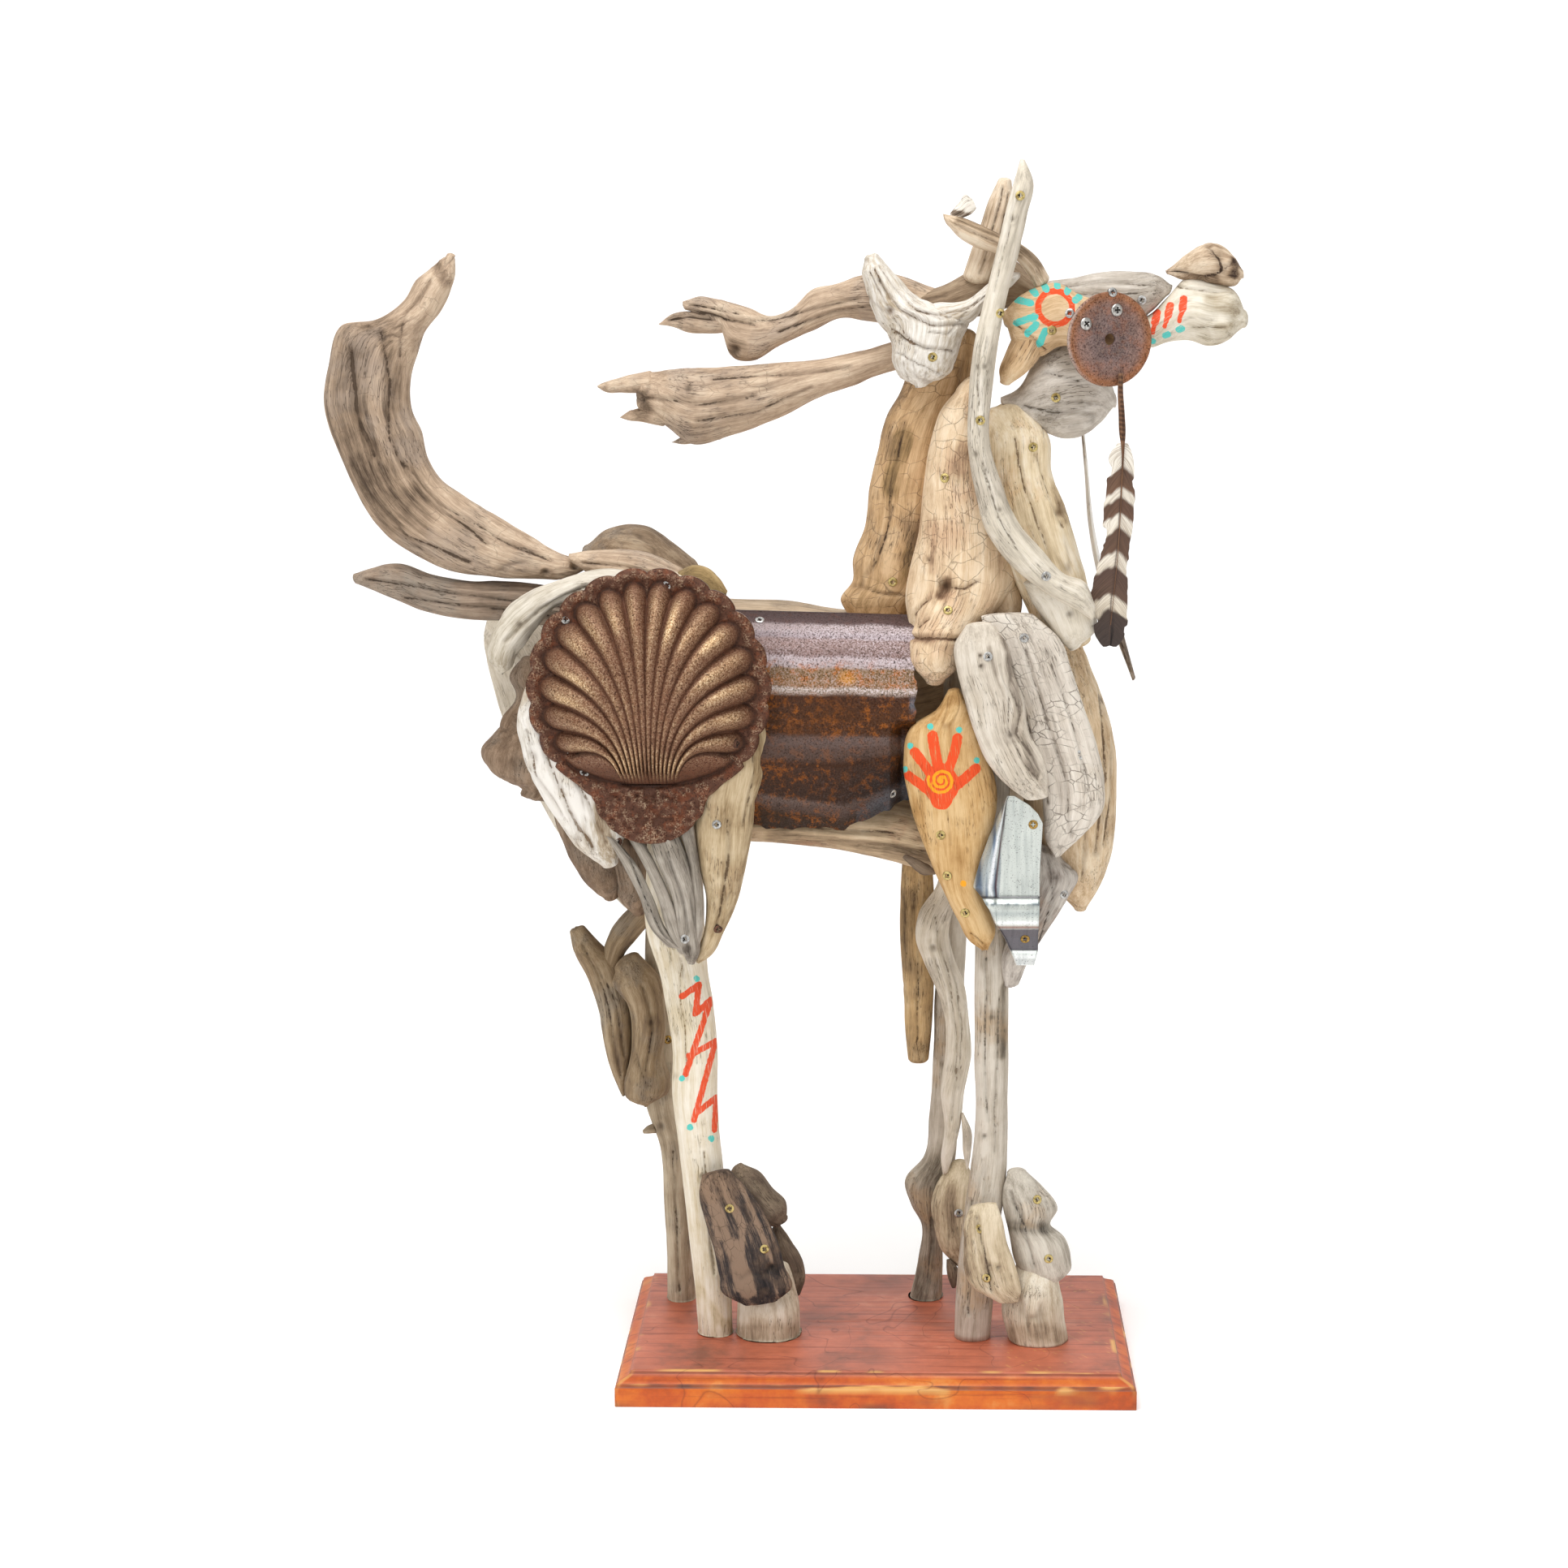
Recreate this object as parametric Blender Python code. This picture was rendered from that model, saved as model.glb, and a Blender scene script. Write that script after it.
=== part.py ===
"""A horse put together from driftwood and scrap metal, standing on a moulded wooden plinth.

Metres, +Z up, the horse facing +X. The origin is the middle of the plinth's underside, and the near
side is -Y. Each piece of driftwood is drawn as a ladder: rungs across the piece from one edge to the
other, with the thickness there. The pieces are listed from the outside in, and each is scribed to fit
against those before it, as a carpenter fits one piece of wood to another.
"""

import math

import bmesh
import bpy
from mathutils import Vector

# Driving sizes
HORSE_HEIGHT = 1.123
PLINTH_LENGTH = 0.490
PLINTH_DEPTH = 0.322
PLINTH_HEIGHT = 0.0315
PLINTH_BAND = 0.0190
PLINTH_MOULDING_WIDTH = 0.0125
PLINTH_FILLET = 0.0015
SHELL_RADIUS = 0.110
SHELL_FLANGE = 0.053
SHELL_DOME_HEIGHT = 0.040
SHELL_WALL = 0.0040
SHELL_FLUTES = 13
DISC_DIAMETER = 0.086
DISC_HOLE = 0.0105
DISC_THICKNESS = 0.0030
SHEET_THICKNESS = 0.0020
BRACKET_THICKNESS = 0.0022
GAP = 0.0004

# The drawing: the horse as it is seen from a low stand at its near side, on a squared grid of columns
# counted to the right and rows counted down. A depth behind the plinth's middle, in millimetres,
# places a point of the drawing in space. The stand's place is given from the middle of the plinth's top.
STAND = Vector((0.032, -3.074, 1.053))
LOOKS_DOWN = math.radians(9.52)
LOOKS_LEFT = math.radians(2.23)
LEANS = math.radians(0.40)
GRID_MIDDLE = 966.0
GRID_PER_METRE_AT_ONE_METRE = 4000.0
HIGHEST_TIP = (1260, 196, -76)
MM = 0.001

SIDES = 8
ROUND = 2.2
BOARD = 3.6


def sight_axes():
    """The directions of the drawing's columns, of its rows upwards, and of the view itself."""
    ahead = Vector((
        -math.sin(LOOKS_LEFT) * math.cos(LOOKS_DOWN),
        math.cos(LOOKS_LEFT) * math.cos(LOOKS_DOWN),
        -math.sin(LOOKS_DOWN),
    ))
    level = Vector((math.cos(LOOKS_LEFT), math.sin(LOOKS_LEFT), 0.0))
    upright = level.cross(ahead)
    across = level * math.cos(LEANS) - upright * math.sin(LEANS)
    rise = level * math.sin(LEANS) + upright * math.cos(LEANS)
    return across, rise, ahead


ACROSS, RISE, AHEAD = sight_axes()


def drawn(column, row, depth):
    """A point of the drawing, in metres from the middle of the plinth's top, before scaling."""
    ray = (
        AHEAD
        + ACROSS * ((column - GRID_MIDDLE) / GRID_PER_METRE_AT_ONE_METRE)
        - RISE * ((row - GRID_MIDDLE) / GRID_PER_METRE_AT_ONE_METRE)
    )
    return STAND + ray * ((depth * MM - STAND.y) / ray.y)


SCALE = HORSE_HEIGHT / drawn(*HIGHEST_TIP).z
PLINTH_TOP = Vector((0.0, 0.0, PLINTH_HEIGHT))


def spot(column, row, depth):
    """The same point at the horse's real size and place."""
    return PLINTH_TOP + drawn(column, row, depth) * SCALE


for old in list(bpy.data.objects):
    bpy.data.objects.remove(old, do_unlink=True)

# Finishes: colour as red, green and blue shares, roughness and metallic value
FINISHES = {
    "pale_driftwood": ((0.72, 0.66, 0.55), 0.85, 0.0),
    "tan_driftwood": ((0.48, 0.36, 0.24), 0.85, 0.0),
    "golden_driftwood": ((0.60, 0.42, 0.22), 0.80, 0.0),
    "grey_driftwood": ((0.36, 0.33, 0.29), 0.90, 0.0),
    "brown_driftwood": ((0.26, 0.19, 0.13), 0.90, 0.0),
    "charred_driftwood": ((0.06, 0.05, 0.05), 0.90, 0.0),
    "white_driftwood": ((0.78, 0.74, 0.68), 0.90, 0.0),
    "stained_board": ((0.55, 0.13, 0.05), 0.55, 0.0),
    "rusty_iron": ((0.12, 0.05, 0.03), 0.60, 0.8),
    "bent_chrome": ((0.80, 0.82, 0.84), 0.12, 1.0),
    "feather": ((0.50, 0.45, 0.40), 0.80, 0.0),
}


def finish(name):
    """The material of that finish, made the first time that it is asked for."""
    if name in bpy.data.materials:
        return bpy.data.materials[name]
    colour, roughness, metallic = FINISHES[name]
    material = bpy.data.materials.new(name)
    material.use_nodes = True
    shader = material.node_tree.nodes["Principled BSDF"]
    shader.inputs["Base Color"].default_value = (*colour, 1.0)
    shader.inputs["Roughness"].default_value = roughness
    shader.inputs["Metallic"].default_value = metallic
    return material


def new_object(name, points, faces, finish_name):
    """A closed mesh object with its faces pointing outwards."""
    mesh = bpy.data.meshes.new(name)
    mesh.from_pydata([tuple(point) for point in points], [], faces)
    shape = bmesh.new()
    shape.from_mesh(mesh)
    bmesh.ops.remove_doubles(shape, verts=shape.verts, dist=1e-6)
    bmesh.ops.triangulate(shape, faces=shape.faces)
    bmesh.ops.recalc_face_normals(shape, faces=shape.faces)
    if shape.calc_volume(signed=True) < 0:
        bmesh.ops.reverse_faces(shape, faces=shape.faces)
    shape.to_mesh(mesh)
    shape.free()
    mesh.materials.append(finish(finish_name))
    thing = bpy.data.objects.new(name, mesh)
    bpy.context.scene.collection.objects.link(thing)
    return thing


def power_wave(value, squareness):
    """A cosine or sine bent towards a square, which keeps its sign."""
    return math.copysign(abs(value) ** (2.0 / squareness), value)


def ladder(name, finish_name, depth, rungs, squareness=ROUND, sides=SIDES, foot=False):
    """A closed tube through the rungs of one stick or slab.

    A rung is (column, row, column, row, thickness) with an optional depth of its own. With foot, the
    last ring is flat and stands on the plinth.
    """
    points = []
    for index, (column_a, row_a, column_b, row_b, thickness, *own) in enumerate(rungs):
        here = own[0] if own else depth
        edge_a = spot(column_a, row_a, here)
        edge_b = spot(column_b, row_b, here)
        centre = (edge_a + edge_b) / 2
        half_across = (edge_b - edge_a) / 2
        half_through = Vector((0.0, thickness * MM * SCALE / 2, 0.0))
        for side in range(sides):
            angle = 2 * math.pi * side / sides
            point = (
                centre
                + half_across * power_wave(math.cos(angle), squareness)
                + half_through * power_wave(math.sin(angle), squareness)
            )
            if foot and index == len(rungs) - 1:
                point.z = PLINTH_HEIGHT + GAP
            points.append(point)
    faces = []
    for ring in range(len(rungs) - 1):
        for side in range(sides):
            start = ring * sides
            after = (side + 1) % sides
            faces.append((start + side, start + after, start + sides + after, start + sides + side))
    faces.append(tuple(range(sides)))
    faces.append(tuple(range(len(points) - sides, len(points))))
    return new_object(name, points, faces, finish_name)


def as_hidden_tool(thing):
    """Marks an object as a helper that is no part of the horse."""
    thing.hide_render = True
    thing.display_type = "WIRE"


def settle(thing):
    """Puts the modifiers' result into the object's own mesh and drops small offcuts."""
    graph = bpy.context.evaluated_depsgraph_get()
    mesh = bpy.data.meshes.new_from_object(thing.evaluated_get(graph))
    thing.modifiers.clear()
    thing.data = mesh
    shape = bmesh.new()
    shape.from_mesh(mesh)
    bmesh.ops.dissolve_degenerate(shape, edges=shape.edges, dist=1e-5)
    waiting = set(shape.verts)
    islands = []
    while waiting:
        start = waiting.pop()
        island = [start]
        front = [start]
        while front:
            for edge in front.pop().link_edges:
                for vertex in edge.verts:
                    if vertex in waiting:
                        waiting.remove(vertex)
                        island.append(vertex)
                        front.append(vertex)
        islands.append(island)
    islands.sort(key=bulk, reverse=True)
    offcuts = [vertex for island in islands[1:] for vertex in island]
    bmesh.ops.delete(shape, geom=offcuts, context="VERTS")
    shape.to_mesh(mesh)
    shape.free()


def bulk(island):
    """The volume of the box around an island of vertices."""
    sides = [
        max(vertex.co[axis] for vertex in island) - min(vertex.co[axis] for vertex in island)
        for axis in range(3)
    ]
    return sides[0] * sides[1] * sides[2]


def box_of(mesh):
    """The lowest and highest corner of a mesh."""
    low = Vector([min(vertex.co[axis] for vertex in mesh.vertices) for axis in range(3)])
    high = Vector([max(vertex.co[axis] for vertex in mesh.vertices) for axis in range(3)])
    return low, high


def boxes_meet(mesh_a, mesh_b):
    low_a, high_a = box_of(mesh_a)
    low_b, high_b = box_of(mesh_b)
    return all(low_a[axis] - GAP < high_b[axis] and low_b[axis] - GAP < high_a[axis] for axis in range(3))


def grown(thing):
    """A hidden copy of a piece, larger by the gap all round, which cuts the pieces behind it."""
    mesh = thing.data.copy()
    normals = [vertex.normal.copy() for vertex in mesh.vertices]
    for vertex, normal in zip(mesh.vertices, normals):
        vertex.co += normal * GAP * 1.5
    copy = bpy.data.objects.new(thing.name + "_grown", mesh)
    bpy.context.scene.collection.objects.link(copy)
    as_hidden_tool(copy)
    return copy


fitted = []


def fit(thing):
    """Scribes a new piece against every piece that is already in place, then puts it in place."""
    whole = grown(thing)
    cutters = [cutter for cutter in fitted if boxes_meet(cutter.data, thing.data)]
    for cutter in cutters:
        cut = thing.modifiers.new("scribed to " + cutter.name, "BOOLEAN")
        cut.operation = "DIFFERENCE"
        cut.object = cutter
    if cutters:
        settle(thing)
    fitted.append(whole)
    return thing


def timber(name, finish_name, depth, rungs, branches=(), **shape):
    """One piece of driftwood: a ladder, with forks and lumps joined on, scribed into place."""
    piece = ladder(name, finish_name, depth, rungs, **shape)
    shape.pop("foot", None)
    tools = []
    for number, branch in enumerate(branches):
        limb = ladder(f"{name}_limb_{number}", finish_name, depth, branch, **shape)
        as_hidden_tool(limb)
        join = piece.modifiers.new("limb", "BOOLEAN")
        join.operation = "UNION"
        join.object = limb
        tools.append(limb)
    if tools:
        settle(piece)
    for tool in tools:
        bpy.data.objects.remove(tool, do_unlink=True)
    return fit(piece)


def grid_solid(name, finish_name, front, back):
    """A closed sheet between a front and a back grid of points, rows of equal length."""
    rows = len(front)
    columns = len(front[0])
    points = [point for row in front for point in row] + [point for row in back for point in row]
    behind = rows * columns
    faces = []
    for row in range(rows - 1):
        for column in range(columns - 1):
            at = row * columns + column
            faces.append((at, at + 1, at + columns + 1, at + columns))
            at += behind
            faces.append((at, at + columns, at + columns + 1, at + 1))
    edge = [column for column in range(columns)]
    edge += [row * columns + columns - 1 for row in range(1, rows)]
    edge += [(rows - 1) * columns + column for column in range(columns - 2, -1, -1)]
    edge += [row * columns for row in range(rows - 2, 0, -1)]
    for here, after in zip(edge, edge[1:] + edge[:1]):
        faces.append((here, here + behind, after + behind, after))
    return new_object(name, points, faces, finish_name)


# Plinth: a square band, a fillet, an ogee moulding and a flat top


def build_plinth():
    """Rectangles stacked one above another, each drawn in by the moulding's profile."""
    steps = 6
    rise = PLINTH_HEIGHT - PLINTH_BAND - 2 * PLINTH_FILLET
    profile = [(0.0, 0.0), (0.0, PLINTH_BAND), (PLINTH_FILLET, PLINTH_BAND)]
    for step in range(steps + 1):
        share = step / steps
        inset = PLINTH_FILLET + PLINTH_MOULDING_WIDTH * (share - math.sin(2 * math.pi * share) / 9)
        profile.append((inset, PLINTH_BAND + PLINTH_FILLET + rise * share))
    profile.append((profile[-1][0], PLINTH_HEIGHT))
    points = []
    for inset, height in profile:
        half_length = PLINTH_LENGTH / 2 - inset
        half_depth = PLINTH_DEPTH / 2 - inset
        points += [
            (-half_length, -half_depth, height),
            (half_length, -half_depth, height),
            (half_length, half_depth, height),
            (-half_length, half_depth, height),
        ]
    faces = [(0, 1, 2, 3)]
    for ring in range(len(profile) - 1):
        for side in range(4):
            start = ring * 4
            after = (side + 1) % 4
            faces.append((start + side, start + after, start + 4 + after, start + 4 + side))
    faces.append(tuple(range(len(points) - 4, len(points))))
    return new_object("plinth", points, faces, "stained_board")


build_plinth()

# Haunch: the cast scallop shell, with a fluted dome, a scalloped rim and a flange below its hinge

SHELL_HINGE = (802, 969)
SHELL_DEPTH = -92
SHELL_HINGE_TO_CENTRE = 0.0865
SHELL_FAN = math.radians(100)
SHELL_PINCH = 0.45
SHELL_SCALLOP = 0.0030
SHELL_FLUTE_HEIGHT = 0.0034
SHELL_DOME_SHARE = 0.86
SHELL_RINGS = (0.30, 0.55, 0.76, 0.90, 1.0)
SHELL_FLANGE_RAYS = 9


def shell_rim(angle):
    """The rim's distance from the hinge, at an angle from straight up: a circle or the round flange."""
    inside = SHELL_RADIUS ** 2 - (SHELL_HINGE_TO_CENTRE * math.sin(angle)) ** 2
    circle = SHELL_HINGE_TO_CENTRE * math.cos(angle) + math.sqrt(inside)
    flange = SHELL_FLANGE * (1 - 0.1 * math.sin(angle))
    return max(circle, flange)


def shell_point(angle, share, flute):
    """A point of the shell's front: across, up and height, for a ray that bends away from the middle.

    The rays are pinched together at the hinge. The flute is 1 on a ridge, -1 in a valley and 0 on
    the flange.
    """
    fan = min(abs(angle), SHELL_FAN)
    beyond = abs(angle) - fan
    pinched = fan * (SHELL_PINCH + (1 - SHELL_PINCH) * share)
    room = (math.pi - pinched_end(share)) / (math.pi - SHELL_FAN)
    turn = math.copysign(pinched + beyond * room, angle)
    reach = (shell_rim(angle) + SHELL_SCALLOP * flute * share) * share
    across = math.sin(turn) * reach
    up = math.cos(turn) * reach
    from_centre = math.hypot(across, up - SHELL_HINGE_TO_CENTRE)
    dome_share = min(1.0, from_centre / (SHELL_RADIUS * SHELL_DOME_SHARE))
    height = SHELL_DOME_HEIGHT * (1 - dome_share ** 2.6)
    height += SHELL_FLUTE_HEIGHT * flute * min(1.0, 2 * share) * (1 - dome_share ** 8)
    return across, up, height


def pinched_end(share):
    """The angle that the outermost flute has reached at that share of its length."""
    return SHELL_FAN * (SHELL_PINCH + (1 - SHELL_PINCH) * share)


def build_shell():
    """Rays that alternate between ridge and valley, and plain rays on the flange."""
    hinge = spot(*SHELL_HINGE, SHELL_DEPTH)
    rays = []
    for number in range(2 * SHELL_FLUTES + 1):
        angle = SHELL_FAN * (number / SHELL_FLUTES - 1)
        rays.append((angle, -1 if number % 2 == 0 else 1))
    for number in range(1, SHELL_FLANGE_RAYS):
        angle = SHELL_FAN + (2 * math.pi - 2 * SHELL_FAN) * number / SHELL_FLANGE_RAYS
        rays.append((angle if angle <= math.pi else angle - 2 * math.pi, 0))
    front = []
    back = []
    for angle, flute in rays:
        for share in SHELL_RINGS:
            across, up, height = shell_point(angle, share, flute)
            place = hinge + Vector((across, 0.0, up)) * SCALE
            front.append(place - Vector((0.0, height + SHELL_WALL, 0.0)) * SCALE)
            back.append(place - Vector((0.0, height * 0.97, 0.0)) * SCALE)
    height = shell_point(0.0, 0.0, 0)[2]
    points = front + back
    points.append(hinge - Vector((0.0, height + SHELL_WALL, 0.0)) * SCALE)
    points.append(hinge - Vector((0.0, height * 0.97, 0.0)) * SCALE)
    behind = len(front)
    rings = len(SHELL_RINGS)
    faces = []
    for ray in range(len(rays)):
        here = ray * rings
        after = (ray + 1) % len(rays) * rings
        faces.append((len(points) - 2, here, after))
        faces.append((len(points) - 1, after + behind, here + behind))
        for ring in range(rings - 1):
            faces.append((here + ring, here + ring + 1, after + ring + 1, after + ring))
            inside = (here + ring, after + ring, after + ring + 1, here + ring + 1)
            faces.append(tuple(corner + behind for corner in inside))
        last = rings - 1
        faces.append((here + last, here + last + behind, after + last + behind, after + last))
    return fit(new_object("shell", points, faces, "rusty_iron"))


build_shell()

# Eyes: a rusty washer on each cheek, turned a little to the front

DISC_SIDES = 24
NEAR_DISC = (1367, 418, -74)
FAR_DISC = (1342, 408, 54)
DISC_TURN = math.radians(24)


def build_disc(name, place, turn):
    """A flat ring with a hole in its middle, its face turned about the upright axis."""
    centre = spot(*place)
    face = Vector((math.sin(turn), -math.cos(turn), 0.0))
    along = Vector((math.cos(turn), math.sin(turn), 0.0))
    rings = (
        (DISC_DIAMETER / 2, DISC_THICKNESS / 2),
        (DISC_DIAMETER / 2, -DISC_THICKNESS / 2),
        (DISC_HOLE / 2, -DISC_THICKNESS / 2),
        (DISC_HOLE / 2, DISC_THICKNESS / 2),
    )
    points = []
    for radius, height in rings:
        for side in range(DISC_SIDES):
            angle = 2 * math.pi * side / DISC_SIDES
            flat = along * math.cos(angle) + Vector((0.0, 0.0, math.sin(angle)))
            points.append(centre + flat * radius + face * height)
    faces = []
    for ring in range(4):
        for side in range(DISC_SIDES):
            after = (side + 1) % DISC_SIDES
            below = (ring + 1) % 4 * DISC_SIDES
            start = ring * DISC_SIDES
            faces.append((start + side, start + after, below + after, below + side))
    return fit(new_object(name, points, faces, "rusty_iron"))


build_disc("eye_disc", NEAR_DISC, DISC_TURN)
build_disc("far_eye_disc", FAR_DISC, math.pi - DISC_TURN)

# Feathers: one hung by a wrapped thong from each eye

timber("feather_pendant", "feather", -73, (
    (1380, 466, 1384, 466, 4),
    (1378, 490, 1383, 490, 4),
    (1380, 515, 1384, 515, 4),
    (1381, 543, 1387, 543, 4),
    (1368, 560, 1396, 566, 3),
    (1361, 610, 1398, 608, 3),
    (1359, 665, 1391, 660, 3),
    (1343, 722, 1389, 720, 3),
    (1348, 775, 1389, 770, 3),
    (1358, 798, 1376, 792, 2),
), sides=6)
timber("far_feather", "feather", 62, (
    (1327, 452, 1331, 452, 4),
    (1331, 520, 1335, 520, 4),
    (1336, 580, 1341, 580, 16),
    (1340, 640, 1347, 639, 28),
    (1350, 700, 1358, 696, 30),
    (1368, 765, 1378, 758, 28),
    (1395, 838, 1399, 834, 8),
), sides=6)

# Chest: a bent scrap of chromed steel, folded down its length and across its foot

BRACKET_ROWS = (
    (983, 1241, 1252, -91),
    (1003, 1231, 1279, -91),
    (1030, 1219, 1284, -91),
    (1060, 1208, 1282, -91),
    (1093, 1199, 1281, -91),
    (1107, 1210, 1281, -91),
    (1116, 1216, 1281, -98),
    (1138, 1226, 1280, -98),
    (1170, 1244, 1279, -86),
    (1190, 1252, 1274, -92),
)
BRACKET_ROLL = ((0.0, 6), (0.22, -3), (0.36, -5), (0.48, 1), (0.56, 0), (1.0, 0))


def build_bracket():
    """A folded strip: each row runs over a raised roll at its left and then flat to its right edge."""
    front = []
    for row, left, right, depth in BRACKET_ROWS:
        roll_end = min(1240.0 - (row - 986) * 0.075, right)
        line = []
        for share, lift in BRACKET_ROLL:
            if share <= 0.56:
                column = left + (max(roll_end, left + 2) - left) * share / 0.56
            else:
                column = right
            flatten = 1.0 if row < 1110 else 0.25
            line.append(spot(column, row, depth + lift * flatten))
        front.append(line)
    step = Vector((0.0, BRACKET_THICKNESS, 0.0))
    back = [[point + step for point in line] for line in front]
    return fit(grid_solid("chrome_bracket", "bent_chrome", front, back))


build_bracket()

# Outer boards and sticks of the near side

timber("shoulder_wave_board", "pale_driftwood", -93, (
    (1188, 772, 1224, 769, 14),
    (1176, 792, 1240, 790, 24),
    (1179, 828, 1248, 826, 26),
    (1188, 862, 1262, 862, 26),
    (1200, 903, 1268, 900, 26),
    (1217, 941, 1286, 935, 26),
    (1238, 965, 1291, 958, 24),
    (1262, 984, 1292, 979, 14),
), squareness=BOARD)
timber("neck_long_stick", "pale_driftwood", -76, (
    (1256, 197, 1264, 198, 8),
    (1251, 215, 1273, 219, 20),
    (1238, 262, 1266, 266, 26),
    (1228, 305, 1257, 308, 28),
    (1213, 365, 1241, 368, 28),
    (1200, 420, 1231, 423, 28),
    (1193, 484, 1223, 484, 28),
    (1191, 545, 1221, 545, 30),
    (1199, 600, 1236, 597, 32),
    (1216, 658, 1257, 645, 34),
    (1247, 699, 1285, 677, 34),
    (1290, 733, 1312, 706, 34),
    (1325, 752, 1340, 719, 32),
    (1343, 764, 1349, 742, 22),
))
timber("forelock_hook", "tan_driftwood", -46, (
    (1163, 262, 1168, 280, 12),
    (1182, 265, 1180, 293, 18),
    (1205, 274, 1200, 305, 20),
    (1232, 287, 1228, 314, 22),
    (1260, 301, 1251, 321, 22),
    (1280, 318, 1265, 339, 22),
    (1293, 340, 1274, 354, 18),
))
timber("chest_crackled_board", "pale_driftwood", -71, (
    (1208, 760, 1275, 758, 16),
    (1215, 790, 1305, 785, 24),
    (1232, 830, 1321, 826, 26),
    (1250, 875, 1336, 872, 26),
    (1265, 925, 1353, 920, 26),
    (1282, 970, 1362, 965, 26),
    (1285, 1005, 1359, 998, 26),
    (1287, 1035, 1335, 1028, 22),
    (1298, 1055, 1308, 1054, 12),
), squareness=BOARD)
timber("shoulder_hand_slab", "golden_driftwood", -72, (
    (1166, 852, 1184, 850, 16),
    (1153, 873, 1195, 870, 24),
    (1124, 893, 1204, 893, 32),
    (1112, 935, 1218, 930, 34),
    (1118, 980, 1229, 975, 34),
    (1131, 1025, 1224, 1018, 34),
    (1147, 1064, 1212, 1055, 34),
    (1166, 1106, 1208, 1098, 32),
    (1180, 1134, 1222, 1128, 30),
    (1195, 1160, 1226, 1152, 26),
    (1208, 1170, 1219, 1168, 14),
), squareness=2.8)

# Haunch slabs, which the shell is screwed to

timber("thigh_grey_root", "grey_driftwood", -84, (
    (795, 1022, 835, 1022, 20),
    (810, 1065, 851, 1065, 22),
    (827, 1108, 860, 1106, 22),
    (833, 1150, 863, 1150, 22),
    (841, 1176, 862, 1178, 18),
    (846, 1186, 857, 1187, 10),
), branches=(
    (
        (744, 1028, 760, 1034, 16),
        (764, 1062, 785, 1064, 18),
        (786, 1104, 805, 1104, 18),
        (802, 1146, 826, 1150, 18),
        (820, 1166, 846, 1166, 16),
    ),
    (
        (768, 1026, 791, 1030, 16),
        (790, 1064, 809, 1064, 18),
        (808, 1104, 827, 1104, 18),
        (823, 1152, 845, 1154, 18),
        (834, 1172, 852, 1174, 14),
    ),
    (
        (832, 1014, 856, 1016, 16),
        (847, 1060, 862, 1058, 18),
        (853, 1100, 867, 1100, 18),
        (854, 1140, 868, 1140, 16),
        (850, 1172, 862, 1174, 12),
    ),
), sides=6)
timber("thigh_tan_slab", "tan_driftwood", -72, (
    (850, 852, 936, 852, 34),
    (850, 900, 947, 900, 44),
    (852, 945, 948, 945, 46),
    (854, 985, 934, 985, 46),
    (855, 1027, 928, 1027, 42),
    (860, 1065, 920, 1070, 40),
    (868, 1107, 910, 1112, 36),
    (866, 1145, 895, 1146, 30),
    (858, 1172, 877, 1178, 22),
    (856, 1184, 863, 1188, 10),
), squareness=2.6)
timber("thigh_pale_slab", "white_driftwood", -70, (
    (655, 826, 700, 818, 22),
    (642, 855, 760, 840, 40),
    (634, 892, 790, 880, 50),
    (643, 928, 800, 920, 52),
    (658, 968, 795, 965, 50),
    (684, 1010, 785, 1005, 46),
    (712, 1046, 770, 1035, 38),
    (740, 1068, 764, 1060, 22),
), squareness=2.8)
timber("hip_branch", "white_driftwood", -62, (
    (800, 706, 785, 760, 52),
    (745, 699, 730, 742, 50),
    (695, 711, 688, 748, 44),
    (652, 726, 664, 775, 36),
    (622, 747, 648, 798, 34),
    (603, 785, 637, 810, 30),
    (601, 812, 629, 826, 24),
    (609, 826, 622, 831, 12),
))

# Head

timber("cheek_slab", "golden_driftwood", -50, (
    (1238, 382, 1240, 402, 16),
    (1252, 368, 1248, 425, 30),
    (1278, 353, 1280, 440, 34),
    (1303, 348, 1305, 428, 34),
    (1330, 362, 1330, 428, 42),
    (1362, 372, 1362, 430, 46),
    (1392, 380, 1392, 420, 30),
), branches=(
    (
        (1252, 405, 1292, 420, 30),
        (1238, 436, 1276, 448, 30),
        (1230, 457, 1260, 464, 26),
        (1231, 469, 1246, 474, 16),
    ),
))
timber("nose_tip", "pale_driftwood", -28, (
    (1435, 331, 1439, 341, 14),
    (1455, 317, 1456, 347, 28),
    (1478, 301, 1480, 350, 38),
    (1503, 299, 1505, 355, 40),
    (1521, 313, 1524, 353, 34),
    (1532, 330, 1531, 345, 18),
))
timber("snout", "white_driftwood", -28, (
    (1385, 385, 1385, 425, 30),
    (1414, 388, 1417, 429, 38),
    (1438, 366, 1440, 422, 42),
    (1460, 343, 1464, 420, 44),
    (1490, 346, 1490, 427, 46),
    (1517, 355, 1512, 421, 42),
    (1533, 380, 1531, 405, 26),
))
timber("brow_slab", "grey_driftwood", -20, (
    (1290, 345, 1292, 372, 30),
    (1320, 341, 1322, 385, 46),
    (1355, 334, 1358, 400, 54),
    (1395, 333, 1398, 402, 54),
    (1425, 337, 1420, 385, 46),
    (1443, 349, 1438, 366, 24),
))
timber("jaw", "grey_driftwood", -26, (
    (1234, 488, 1237, 502, 20),
    (1254, 476, 1257, 514, 36),
    (1275, 440, 1280, 530, 46),
    (1305, 410, 1310, 542, 54),
    (1335, 410, 1335, 538, 54),
    (1358, 435, 1358, 520, 46),
    (1374, 483, 1372, 503, 24),
))
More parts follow.
